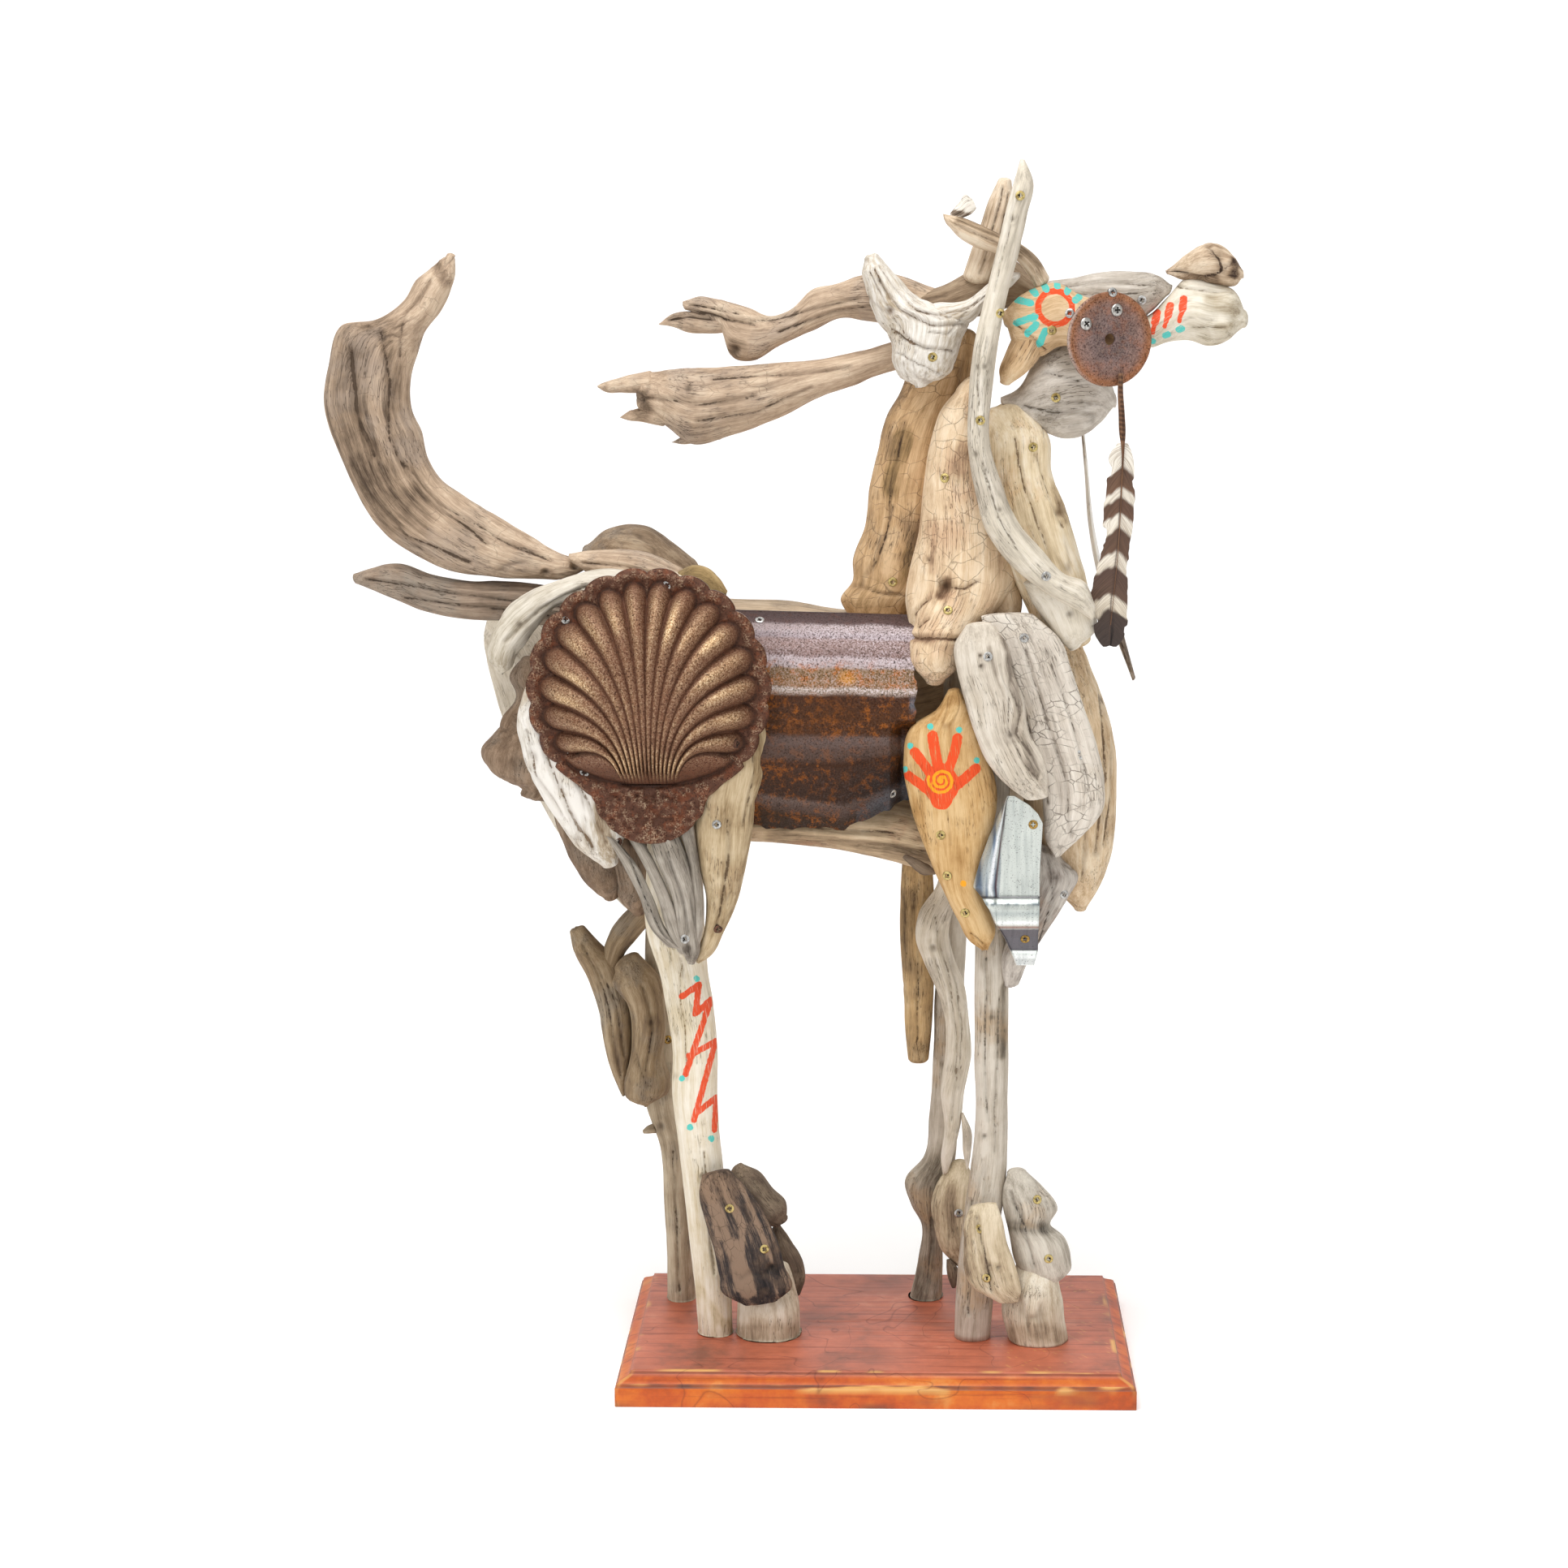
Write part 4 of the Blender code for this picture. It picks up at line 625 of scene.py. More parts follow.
driftwood("hind_hoof_stump", STUMP, -36,
    ((910, 1560, 975, 1556, 30), (908, 1585, 982, 1583, 50), (907, 1612, 987, 1608, 60),
    (906, 1635, 988, 1633, 62), (907, 1646, 988, 1645, 64)), foot=True, relief=(1.0, 1.8, 2.0), seed=4,
    shades=((-0.7, 12, (905, 1642, 988, 1642)),))
driftwood("fore_hoof_plate", PALE_PLATE, -76,
    ((1195, 1487, 1229, 1483, 10), (1188, 1505, 1235, 1501, 16), (1187, 1535, 1241, 1530, 18),
    (1188, 1568, 1253, 1562, 18), (1200, 1588, 1259, 1590, 16), (1228, 1604, 1256, 1602, 10)),
    squareness=BOARD, relief=(0.7, 1.4, 0.8), seed=5,
    cracks=((2, 1.8, (1204, 1500, 1212, 1540, 1222, 1590)),), shades=((-0.5, 4, (1190, 1520, 1190, 1570)),),
    pits=((1219, 1560, 3, 1.6), (1230, 1562, 3, 1.6)))
driftwood("fore_hoof_grey", GREY_BLOCK, -52,
    ((1240, 1446, 1266, 1443, 18), (1234, 1465, 1288, 1464, 32), (1235, 1490, 1304, 1489, 36),
    (1240, 1510, 1295, 1508, 36), (1244, 1530, 1312, 1524, 38), (1250, 1555, 1321, 1550, 38),
    (1264, 1578, 1316, 1570, 30), (1278, 1589, 1292, 1587, 14)), relief=(0.6, 1.2, 1.2), seed=6,
    cracks=((2, 1.5, (1246, 1470, 1262, 1510, 1272, 1560)),),
    shades=((-0.7, 7, (1240, 1505, 1275, 1512, 1300, 1508)),))
driftwood("fore_hoof_stump", STUMP, -48,
    ((1250, 1560, 1300, 1556, 40), (1240, 1585, 1306, 1580, 56), (1232, 1608, 1311, 1600, 60),
    (1236, 1632, 1314, 1628, 62), (1240, 1648, 1317, 1648, 64)), foot=True, relief=(1.0, 1.8, 2.0), seed=7,
    shades=((-0.7, 12, (1236, 1645, 1316, 1645)),))
driftwood("hind_hoof_wedge", BARK, -30,
    ((950, 1514, 962, 1508, 12), (948, 1534, 978, 1530, 20), (958, 1556, 990, 1552, 22),
    (966, 1576, 994, 1576, 20), (974, 1594, 988, 1594, 12)), relief=(0.9, 1.6, 1.2), seed=8,
    standing_for=False)

# Legs: four long sticks from the beach, their tops hidden in the body and their feet cut level for
# the plinth. The near hind leg carries a painted zigzag and dots, and a root splints the far fore leg.
CREAM = weathered_wood("cream_stick", "#8b7757", "#cfbf9f", "#dfd4bf", "#ebe3d4", "#d2c2a3", 0.35,
    painted=True)
ASH_GREY = weathered_wood("silvered_ash", "#62584b", "#9b8f7e", "#bbb0a0", "#cfc6b8", "#b89b78", 0.35)
DULL_TAN = weathered_wood("dull_tan_stick", "#57493a", "#8c7b64", "#a8977f", "#c0b199", "#8b8478", 0.4)
PALE_ROOT = weathered_wood("pale_root", "#7a6b58", "#b5a791", "#d2c7b4", "#e2d9ca", "#a99c8a", 0.4)
HOCK_BROWN = weathered_wood("hock_brown", "#43352a", "#6f5c49", "#8d775b", "#a89478", "#8d8375", 0.4, 1.3)
SPLINT_TAN = weathered_wood("splint_tan", "#54422f", "#a68a63", "#c8a778", "#d9bf95", "#8a755b", 0.3)

driftwood("near_hind_leg", CREAM, -35, ((800, 718, 862, 718, 38), (800, 930, 862, 930, 44),
    (796, 1060, 866, 1060, 46), (796, 1150, 870, 1150, 46), (811, 1196, 873, 1194, 46),
    (820, 1241, 880, 1240, 46), (828, 1295, 885, 1293, 46), (827, 1345, 885, 1345, 46),
    (833, 1392, 887, 1390, 44), (841, 1455, 893, 1452, 42), (849, 1528, 898, 1526, 40),
    (856, 1590, 902, 1590, 38), (860, 1645, 904, 1645, 38)), foot=True, grid=FINE_GRID,
    relief=(0.35, 0.8, 1.0), seed=9, cracks=((1.5, 1.2, (868, 1420, 874, 1500, 880, 1570)),
    (1.2, 1.0, (838, 1180, 841, 1260, 846, 1330))), pits=((866, 1450, 4, 1.0),),
    shades=((-0.5, 5, (850, 1580, 900, 1640)),),
    paints=((0, 4.0, (840, 1228, 862, 1213, 857, 1249, 877, 1232, 844, 1324)),
    (0, 4.0, (848, 1302, 883, 1283, 855, 1380)), (0, 3.8, (857, 1373, 884, 1352, 881, 1392)),
    (1, 4.2, (859, 1206)), (1, 4.2, (840, 1329)), (1, 4.2, (850, 1389)), (1, 4.2, (877, 1403))))
driftwood("near_fore_leg", ASH_GREY, -44,
    ((1200, 790, 1246, 790, 30), (1200, 930, 1246, 930, 32), (1200, 1080, 1244, 1080, 33),
    (1200, 1200, 1243, 1200, 34), (1200, 1300, 1243, 1300, 34), (1200, 1400, 1242, 1400, 34),
    (1193, 1455, 1240, 1455, 36), (1184, 1515, 1232, 1515, 38), (1178, 1580, 1226, 1582, 38),
    (1175, 1641, 1221, 1641, 38)), foot=True, relief=(0.4, 1.0, 1.0), seed=10,
    cracks=((1.4, 1.3, (1216, 1180, 1214, 1290, 1218, 1380)),
    (1.2, 1.2, (1232, 1230, 1230, 1330, 1224, 1420)), (1.6, 1.5, (1195, 1480, 1192, 1560, 1196, 1620))),
    pits=((1222, 1254, 4, 1.2), (1212, 1400, 3.5, 1.0)), shades=((0.5, 6, (1210, 1200, 1208, 1420)),
    (-1.0, 5, (1239, 1218, 1237, 1300))))
driftwood("far_hind_leg", DULL_TAN, 70,
    ((800, 712, 840, 712, 32), (796, 1000, 838, 1000, 34), (794, 1250, 842, 1250, 38),
    (796, 1364, 846, 1364, 38), (812, 1410, 850, 1410, 38), (817, 1480, 852, 1480, 36),
    (821, 1547, 855, 1547, 36), (822, 1602, 858, 1602, 38)), foot=True, relief=(0.5, 1.2, 1.2), seed=11,
    branches=(((804, 1384, 808, 1396, 10, 62), (796, 1388, 799, 1397, 8, 60),
    (792, 1392, 794, 1397, 4, 59)),), pits=((813, 1388, 6, 1.6),),
    cracks=((2, 2.0, (828, 1420, 832, 1500, 838, 1590)),))
# The far fore leg's lower part carries a broad painted shade.
driftwood("far_fore_leg", ASH_GREY, 78,
    ((1160, 800, 1200, 800, 30), (1158, 1010, 1196, 1010, 32), (1151, 1220, 1189, 1220, 32),
    (1144, 1374, 1182, 1374, 32), (1137, 1425, 1178, 1428, 34), (1114, 1455, 1172, 1458, 40),
    (1121, 1482, 1166, 1482, 38), (1133, 1505, 1163, 1505, 32), (1130, 1550, 1163, 1550, 32),
    (1119, 1600, 1162, 1600, 40)), foot=True, relief=(0.5, 1.2, 1.2), seed=12,
    cracks=((1.6, 1.6, (1146, 1460, 1150, 1530, 1140, 1590)),),
    shades=((-1.3, 26, (1160, 1440, 1150, 1600)),))
driftwood("far_twisted_root", PALE_ROOT, 44,
    ((1160, 1040, 1190, 1040, 28), (1152, 1092, 1182, 1092, 30), (1131, 1125, 1174, 1128, 32),
    (1126, 1153, 1171, 1150, 32), (1135, 1182, 1177, 1178, 32), (1152, 1218, 1189, 1212, 32),
    (1163, 1258, 1195, 1255, 32), (1163, 1300, 1198, 1298, 32), (1158, 1345, 1189, 1345, 32),
    (1162, 1390, 1184, 1390, 28), (1158, 1428, 1174, 1430, 22), (1160, 1446, 1169, 1444, 12)),
    relief=(0.7, 1.6, 1.6), twist=6.0, seed=13,
    cracks=((2, 1.6, (1150, 1130, 1168, 1200, 1180, 1280, 1174, 1380)),
    (1.6, 1.5, (1170, 1180, 1188, 1260, 1182, 1340))), pits=((1150, 1168, 5, 1.8),))
driftwood("far_splint_log", SPLINT_TAN, 72,
    ((1110, 1062, 1150, 1066, 26), (1108, 1120, 1153, 1120, 36), (1109, 1175, 1153, 1175, 36),
    (1113, 1225, 1151, 1225, 34), (1115, 1275, 1148, 1275, 30), (1118, 1303, 1145, 1303, 24)),
    relief=(0.6, 1.4, 1.0), seed=14, shades=((-1.0, 9, (1116, 1105, 1112, 1190)),),
    cracks=((1.6, 1.6, (1132, 1150, 1130, 1230, 1128, 1295)),))
driftwood("far_hoof_plate", PALE_PLATE, 48,
    ((1172, 1432, 1192, 1432, 14), (1156, 1453, 1200, 1450, 26), (1147, 1478, 1200, 1475, 30),
    (1150, 1510, 1198, 1508, 30), (1160, 1541, 1194, 1538, 24), (1176, 1558, 1188, 1557, 12)),
    relief=(0.6, 1.4, 1.0), seed=15, shades=((-0.5, 8, (1168, 1450, 1176, 1540)),))
driftwood("far_hoof_sliver", PALE_ROOT, 38,
    ((1183, 1372, 1188, 1371, 6), (1185, 1396, 1198, 1395, 9), (1186, 1420, 1197, 1420, 9),
    (1190, 1440, 1194, 1440, 5)), relief=(0.4, 1.0, 0.6), seed=16, standing_for=False)
driftwood("far_hoof_scrap", BARK, 40,
    ((1166, 1553, 1172, 1552, 6), (1166, 1565, 1181, 1563, 9), (1168, 1576, 1182, 1577, 8),
    (1172, 1586, 1178, 1586, 5)), relief=(0.5, 1.0, 0.6), seed=17, standing_for=False)
driftwood("far_hock_knot", HOCK_BROWN, 40,
    ((756, 1197, 790, 1176, 36), (752, 1210, 812, 1200, 50), (772, 1238, 821, 1236, 54),
    (777, 1270, 822, 1268, 50), (774, 1308, 820, 1305, 50), (768, 1335, 827, 1330, 50),
    (778, 1357, 817, 1354, 36), (792, 1363, 802, 1362, 18)), relief=(1.0, 2.2, 2.6), twist=5.0, seed=18,
    cracks=((2.4, 2.4, (792, 1215, 806, 1262, 796, 1320)), (1.8, 2.0, (780, 1300, 800, 1340))),
    pits=((803, 1262, 6, 2.0),))
driftwood("far_hock_fork", HOCK_BROWN, 55,
    ((701, 1150, 722, 1141, 20), (704, 1168, 740, 1160, 32), (721, 1202, 768, 1190, 42),
    (737, 1246, 780, 1240, 44), (742, 1282, 782, 1280, 42), (751, 1318, 780, 1318, 38),
    (764, 1350, 774, 1348, 20)),
    branches=(((738, 1178, 765, 1198, 34), (748, 1150, 775, 1172, 32), (760, 1133, 794, 1150, 30),
    (778, 1115, 815, 1128, 30)),), relief=(1.0, 2.2, 2.2), twist=4.0, seed=19,
    cracks=((2, 2.4, (716, 1164, 738, 1206, 752, 1262, 764, 1326)),
    (1.8, 2.0, (734, 1190, 760, 1240, 770, 1300))), shades=((0.9, 8, (746, 1253)),),
    pits=((781, 1171, 5, 2.5),))

# Barrel: a log for the belly, a weathered plank for the back, and a second log that closes the far
# side. They carry the legs, and screws from outside hold them to the neck and to the haunch.
BACK_TAN = weathered_wood("back_plank_wood", "#544433", "#97836b", "#bca68b", "#d3bfa4", "#9c8b78", 0.35)
BELLY_TAN = weathered_wood("belly_log_wood", "#4f3e2f", "#a08a6e", "#c3ab8b", "#d8c4a6", "#a5785a", 0.3)

driftwood("belly_log", BELLY_TAN, 10,
    ((770, 975, 768, 1020, 90), (840, 972, 838, 1028, 116), (905, 968, 903, 1033, 124),
    (960, 965, 958, 1037, 126), (1030, 965, 1027, 1044, 126), (1100, 968, 1095, 1058, 126),
    (1160, 980, 1150, 1072, 120), (1230, 985, 1225, 1070, 110), (1290, 1000, 1288, 1060, 90)),
    relief=(0.8, 1.8, 2.0), seed=20, cracks=((3, 2.6, (900, 1012, 1000, 1020, 1100, 1026)),
    (2, 2.0, (1060, 1044, 1140, 1050, 1190, 1040))),
    shades=((-0.7, 8, (950, 1034, 1040, 1040, 1150, 1062)),))
driftwood("back_plank", BACK_TAN, 12, ((830, 732, 830, 762, 104), (905, 741, 905, 768, 112),
    (967, 743, 967, 770, 112), (1029, 753, 1029, 776, 108), (1110, 756, 1110, 782, 104),
    (1200, 772, 1200, 796, 90)), squareness=BOARD, relief=(0.8, 1.8, 1.6), seed=21,
    cracks=((2, 2.2, (905, 752, 980, 757, 1060, 764)),))
driftwood("far_flank_log", BACK_TAN, 90,
    ((770, 800, 770, 900, 34), (850, 778, 850, 940, 46), (950, 774, 950, 975, 52),
    (1050, 778, 1050, 985, 52), (1130, 786, 1130, 960, 46), (1215, 800, 1215, 900, 34)), grid=HIDDEN_GRID,
    relief=(0.9, 2.0, 2.4), seed=22)
driftwood("far_hip_slab", PALE_ROOT, 112,
    ((600, 752, 720, 735, 26), (594, 785, 800, 760, 34), (602, 830, 850, 830, 38), (618, 885, 868, 900, 38),
    (650, 960, 868, 970, 38), (690, 1030, 860, 1040, 36), (740, 1090, 848, 1100, 30),
    (790, 1140, 836, 1145, 18)), squareness=2.8, grid=HIDDEN_GRID, relief=(0.8, 1.8, 2.4), seed=23)
driftwood("far_shoulder_slab", PALE_ROOT, 108,
    ((1150, 790, 1230, 780, 22), (1140, 860, 1280, 850, 34), (1150, 930, 1310, 920, 38),
    (1160, 1000, 1310, 990, 38), (1170, 1050, 1290, 1050, 34), (1180, 1100, 1265, 1100, 28),
    (1200, 1140, 1245, 1140, 18)), squareness=2.8, grid=HIDDEN_GRID, relief=(0.8, 1.8, 2.4), seed=24)
driftwood("belly_bark_scrap", BARK, -54,
    ((1112, 1058, 1118, 1052, 6), (1122, 1068, 1132, 1058, 8), (1136, 1080, 1148, 1066, 8),
    (1150, 1079, 1156, 1074, 5)), relief=(0.6, 1.2, 0.8), seed=25, standing_for=False)

# Breast and shoulder: a round log under three outer boards, one crackled, one with a grey wave in
# its grain and one broad golden slab that carries the painted hand. All are screwed on from outside.
BREAST_GOLD = weathered_wood("breast_log_wood", "#5b452f", "#b89a76", "#d6bd9b", "#e6d4b8", "#b0906a", 0.3)
GREY_ROOT = weathered_wood("grey_root", "#4a3f36", "#8b8077", "#b5aca2", "#cdc5ba", "#a98d78", 0.3)
CRACKLED = weathered_wood("crackled_board", "#6f6459", "#b4a99c", "#d2c8bb", "#e0d8cc", "#c5b7a4", 0.3, 1.0,
    0.85, (9.0, 13.0))
WAVED = weathered_wood("waved_board", "#6b5f53", "#aca091", "#cabfaf", "#dcd3c5", "#bbad99", 0.3)
GOLDEN = weathered_wood("golden_slab", "#714f2c", "#a8804e", "#c6a06c", "#d8b888", "#b98f5a", 0.4,
    painted=True)

driftwood("breast_log", BREAST_GOLD, -8,
    ((1270, 775, 1330, 780, 56), (1258, 820, 1345, 818, 80), (1256, 870, 1364, 868, 96),
    (1256, 920, 1376, 918, 100), (1258, 970, 1377, 968, 100), (1264, 1020, 1375, 1018, 94),
    (1280, 1065, 1368, 1062, 80), (1303, 1100, 1354, 1097, 56), (1322, 1120, 1340, 1119, 26)),
    relief=(0.8, 2.2, 2.0), seed=26, cracks=((2.6, 3.0, (1352, 800, 1362, 880, 1366, 960, 1352, 1050)),
    (1.8, 2.2, (1372, 900, 1372, 980, 1362, 1040)), (1.8, 2.0, (1340, 1010, 1334, 1080))))
driftwood("breast_grey_root", GREY_ROOT, -52,
    ((1262, 1040, 1310, 1058, 30), (1255, 1075, 1330, 1078, 38), (1248, 1110, 1317, 1108, 38),
    (1240, 1150, 1290, 1150, 36), (1231, 1185, 1270, 1182, 30), (1235, 1212, 1257, 1212, 16)),
    relief=(0.7, 1.8, 1.6), twist=3.0, seed=27, cracks=((1.8, 1.8, (1290, 1060, 1296, 1110, 1280, 1170)),),
    pits=((1301, 1082, 4, 1.4),))
driftwood("chest_crackled_board", CRACKLED, -71,
    ((1208, 760, 1275, 758, 16), (1215, 790, 1305, 785, 24), (1232, 830, 1321, 826, 26),
    (1250, 875, 1336, 872, 26), (1265, 925, 1353, 920, 26), (1282, 970, 1362, 965, 26),
    (1285, 1005, 1359, 998, 26), (1287, 1035, 1335, 1028, 22), (1298, 1055, 1308, 1054, 12)),
    squareness=BOARD, grid=0.0015, relief=(0.35, 1.2, 0.8), seed=28,
    cracks=((1.6, 2.0, (1262, 800, 1286, 870, 1312, 960, 1320, 1030)),
    (1.4, 1.8, (1290, 800, 1318, 880, 1340, 960)), (1.2, 1.6, (1240, 800, 1262, 880, 1290, 990))),
    shades=((-0.35, 5, (1300, 1000, 1340, 990)),))
driftwood("shoulder_wave_board", WAVED, -93,
    ((1188, 772, 1224, 769, 14), (1176, 792, 1240, 790, 24), (1179, 828, 1248, 826, 26),
    (1188, 862, 1262, 862, 26), (1200, 903, 1268, 900, 26), (1217, 941, 1286, 935, 26),
    (1238, 965, 1291, 958, 24), (1262, 984, 1292, 979, 14)), squareness=BOARD, grid=0.0014,
    relief=(0.3, 0.8, 0.7), seed=29, pits=((1208, 808, 2.6, 3.0), (1209, 821, 2.6, 3.0),
    (1245, 906, 5, 0.8)),
    shades=((-1.5, 5, (1234, 778, 1246, 804, 1250, 838, 1256, 868, 1250, 898, 1264, 922, 1278, 950)),
    (-0.7, 3, (1222, 800, 1236, 850, 1234, 890))),
    cracks=((1.6, 1.6, (1240, 790, 1250, 820, 1246, 850, 1258, 880, 1252, 905, 1270, 930)),
    (1.2, 1.2, (1234, 820, 1244, 860, 1240, 900, 1262, 940, 1280, 960))))
HAND_SPIRAL = tuple((1160 + 1.02 * turn * math.cos(turn), 962 + 1.02 * turn * math.sin(turn))
                    for turn in np.linspace(0.5, 16.0, 70))
driftwood("shoulder_hand_slab", GOLDEN, -72,
    ((1166, 852, 1184, 850, 16), (1153, 873, 1195, 870, 24), (1124, 893, 1204, 893, 32),
    (1112, 935, 1218, 930, 34), (1118, 980, 1229, 975, 34), (1131, 1025, 1224, 1018, 34),
    (1147, 1064, 1212, 1055, 34), (1166, 1106, 1208, 1098, 32), (1180, 1134, 1222, 1128, 30),
    (1195, 1160, 1226, 1152, 26), (1208, 1170, 1219, 1168, 14)), squareness=2.8, grid=FINE_GRID,
    relief=(0.4, 0.9, 1.0), seed=30, cracks=((0.8, 0.8, (1196, 1150, 1210, 1164)),
    (0.8, 0.8, (1168, 1000, 1172, 1040))), shades=((-0.7, 7, (1138, 872, 1172, 864)),
    (-0.4, 6, (1116, 950, 1124, 1000))), paints=((0, 21.0, (1160, 964, 1160, 970)),
    (0, 14.0, (1160, 976, 1160, 984)), (0, 6.0, (1146, 976, 1130, 964, 1119, 956)),
    (0, 6.4, (1150, 958, 1137, 940, 1127, 927)), (0, 6.8, (1157, 950, 1152, 926, 1149, 907)),
    (0, 6.4, (1168, 950, 1176, 928, 1180, 910)), (0, 6.4, (1176, 970, 1192, 957, 1203, 947)),
    (2, 2.0, HAND_SPIRAL), (1, 4.0, (1146, 895)), (1, 4.0, (1182, 899)), (1, 4.0, (1121, 919)),
    (1, 4.0, (1204, 937)), (1, 4.0, (1114, 948)), (2, 4.2, (1187, 1089))))

# Neck: a rear log, a main log and a front slab side by side, with a long stick up its front edge.
# Their lower ends are rounded by the sea, and a knot of root fills the throat.
REAR_LOG = weathered_wood("rear_neck_log", "#3a2a1e", "#957851", "#bf9c73", "#d6b68e", "#7d6650", 0.35, 1.0,
    0.55, (15.0, 22.0))
PINK_TAN = weathered_wood("pinkish_log", "#5f4532", "#bb9d7e", "#d9bf9d", "#e8d4b8", "#c7a080", 0.3, 1.0,
    0.55, (14.0, 20.0))
FRONT_SLAB = weathered_wood("streaked_slab", "#6d543b", "#c4ae8c", "#dfccaa", "#ecdfc8", "#c89c66", 0.35)
SILVER_STICK = weathered_wood("silvered_stick", "#7d7365", "#b3a999", "#d2c8b6", "#e0d8ca", "#bbb0a0", 0.35)

driftwood("neck_rear_log", REAR_LOG, 10,
    ((1125, 425, 1205, 415, 50), (1107, 483, 1196, 478, 62), (1091, 512, 1184, 510, 68),
    (1080, 555, 1170, 555, 70), (1070, 602, 1162, 602, 70), (1064, 650, 1160, 650, 70),
    (1050, 690, 1156, 690, 68), (1049, 715, 1150, 718, 64), (1034, 738, 1140, 738, 60),
    (1044, 758, 1120, 760, 50)), relief=(0.7, 1.6, 1.8), seed=31,
    cracks=((2.2, 2.4, (1098, 625, 1090, 660, 1078, 690, 1065, 710)),
    (1.6, 1.8, (1112, 520, 1100, 590, 1092, 640)), (1.8, 1.6, (1050, 722, 1080, 730, 1110, 735))),
    shades=((-0.8, 12, (1110, 540, 1096, 600)), (0.8, 9, (1100, 660, 1092, 700)),
    (-0.6, 10, (1120, 690, 1126, 740))))
# The knot hole near its foot is darkened with painted shade.
driftwood("neck_main_log", PINK_TAN, -30,
    ((1176, 482, 1212, 462, 40), (1157, 507, 1215, 505, 54), (1145, 545, 1216, 545, 62),
    (1137, 591, 1222, 591, 66), (1132, 645, 1238, 640, 70), (1122, 690, 1250, 690, 72),
    (1114, 730, 1252, 722, 72, -32), (1116, 765, 1225, 757, 74, -38), (1114, 795, 1192, 785, 78, -46),
    (1121, 820, 1182, 822, 68, -48), (1138, 837, 1166, 836, 40, -48)), grid=0.0016, relief=(0.5, 1.2, 1.6),
    seed=32, cracks=((2.6, 3.0, (1121, 783, 1150, 788, 1184, 787)),
    (2.0, 2.6, (1145, 738, 1126, 752, 1118, 778)), (1.8, 2.2, (1172, 725, 1188, 727, 1204, 716)),
    (1.4, 1.8, (1130, 772, 1146, 764))), pits=((1164, 722, 9, 11.0), (1158, 734, 6, 6.0),
    (1164, 765, 30, -7.0), (1153, 815, 34, -4.0), (1143, 690, 3, 2.0)),
    shades=((-1.0, 12, (1184, 552, 1180, 580)), (-0.5, 7, (1150, 640, 1146, 700)),
    (-1.3, 7, (1164, 720, 1160, 732)), (-0.9, 5, (1122, 784, 1150, 789)), (0.5, 12, (1160, 752, 1176, 766))))
driftwood("neck_front_slab", FRONT_SLAB, -28,
    ((1212, 516, 1264, 500, 36), (1208, 540, 1292, 534, 48), (1208, 580, 1297, 580, 50),
    (1212, 625, 1313, 622, 54), (1225, 668, 1327, 668, 54), (1245, 710, 1339, 708, 54),
    (1262, 745, 1346, 745, 50), (1280, 790, 1345, 785, 40)), squareness=2.8, relief=(0.7, 1.6, 1.4), seed=33,
    cracks=((2.0, 2.0, (1250, 540, 1262, 600, 1284, 660, 1300, 710)),
    (1.6, 1.8, (1276, 560, 1292, 610, 1310, 650))), pits=((1308, 631, 7, 2.2),),
    shades=((-0.7, 8, (1300, 600, 1318, 640)),))
driftwood("neck_long_stick", SILVER_STICK, -76,
    ((1256, 197, 1264, 198, 8), (1251, 215, 1273, 219, 20), (1238, 262, 1266, 266, 26),
    (1228, 305, 1257, 308, 28), (1213, 365, 1241, 368, 28), (1200, 420, 1231, 423, 28),
    (1193, 484, 1223, 484, 28), (1191, 545, 1221, 545, 30), (1199, 600, 1236, 597, 32),
    (1216, 658, 1257, 645, 34), (1247, 699, 1285, 677, 34), (1290, 733, 1312, 706, 34),
    (1325, 752, 1340, 719, 32), (1343, 764, 1349, 742, 22)), grid=0.0015, relief=(0.35, 0.9, 0.9), seed=34,
    cracks=((1.3, 1.2, (1254, 240, 1240, 300, 1226, 360)), (1.3, 1.2, (1206, 440, 1204, 500)),
    (1.4, 1.4, (1210, 570, 1230, 640, 1262, 690))), pits=((1247, 270, 4, 1.2), (1214, 452, 4.5, 1.2),
    (1201, 560, 4, 1.2), (1232, 628, 4, 1.0)), shades=((0.4, 5, (1250, 230, 1216, 400, 1205, 520)),))
driftwood("neck_side_lobe", PINK_TAN, -20,
    ((1196, 680, 1228, 676, 46), (1206, 712, 1250, 704, 56), (1214, 744, 1262, 736, 58),
    (1226, 772, 1258, 768, 44)), relief=(0.5, 1.2, 2.0), seed=61, standing_for=False)
driftwood("throat_knot", SILVER_STICK, -56,
    ((1262, 722, 1300, 712, 30), (1272, 745, 1345, 728, 44), (1288, 768, 1351, 755, 46),
    (1304, 789, 1349, 780, 40), (1317, 800, 1333, 793, 22)), relief=(0.5, 1.2, 1.4), seed=35,
    pits=((1318, 757, 5, 1.4),))

# Head: two cheek slabs either side of a brow and a jaw, with a bone-like snout and a stub of root for
# the nose. Its bright sun ring, wedges and dots are painted on by hand.
CHEEK = weathered_wood("cheek_slab_wood", "#75573a", "#bb9a72", "#d8b992", "#e6cfac", "#b48f66", 0.4,
    painted=True)
BROW = weathered_wood("brow_wood", "#5a5044", "#9a9082", "#bcb2a6", "#d2cabf", "#9a8f80", 0.4)
BONE = weathered_wood("bone_pale_root", "#75654f", "#aea089", "#cdc3af", "#dfd7c8", "#b3a385", 0.4,
    painted=True)
NOSE = weathered_wood("nose_root", "#3c2c23", "#957d64", "#c8b298", "#dfceb6", "#a9876a", 0.35, 1.4)

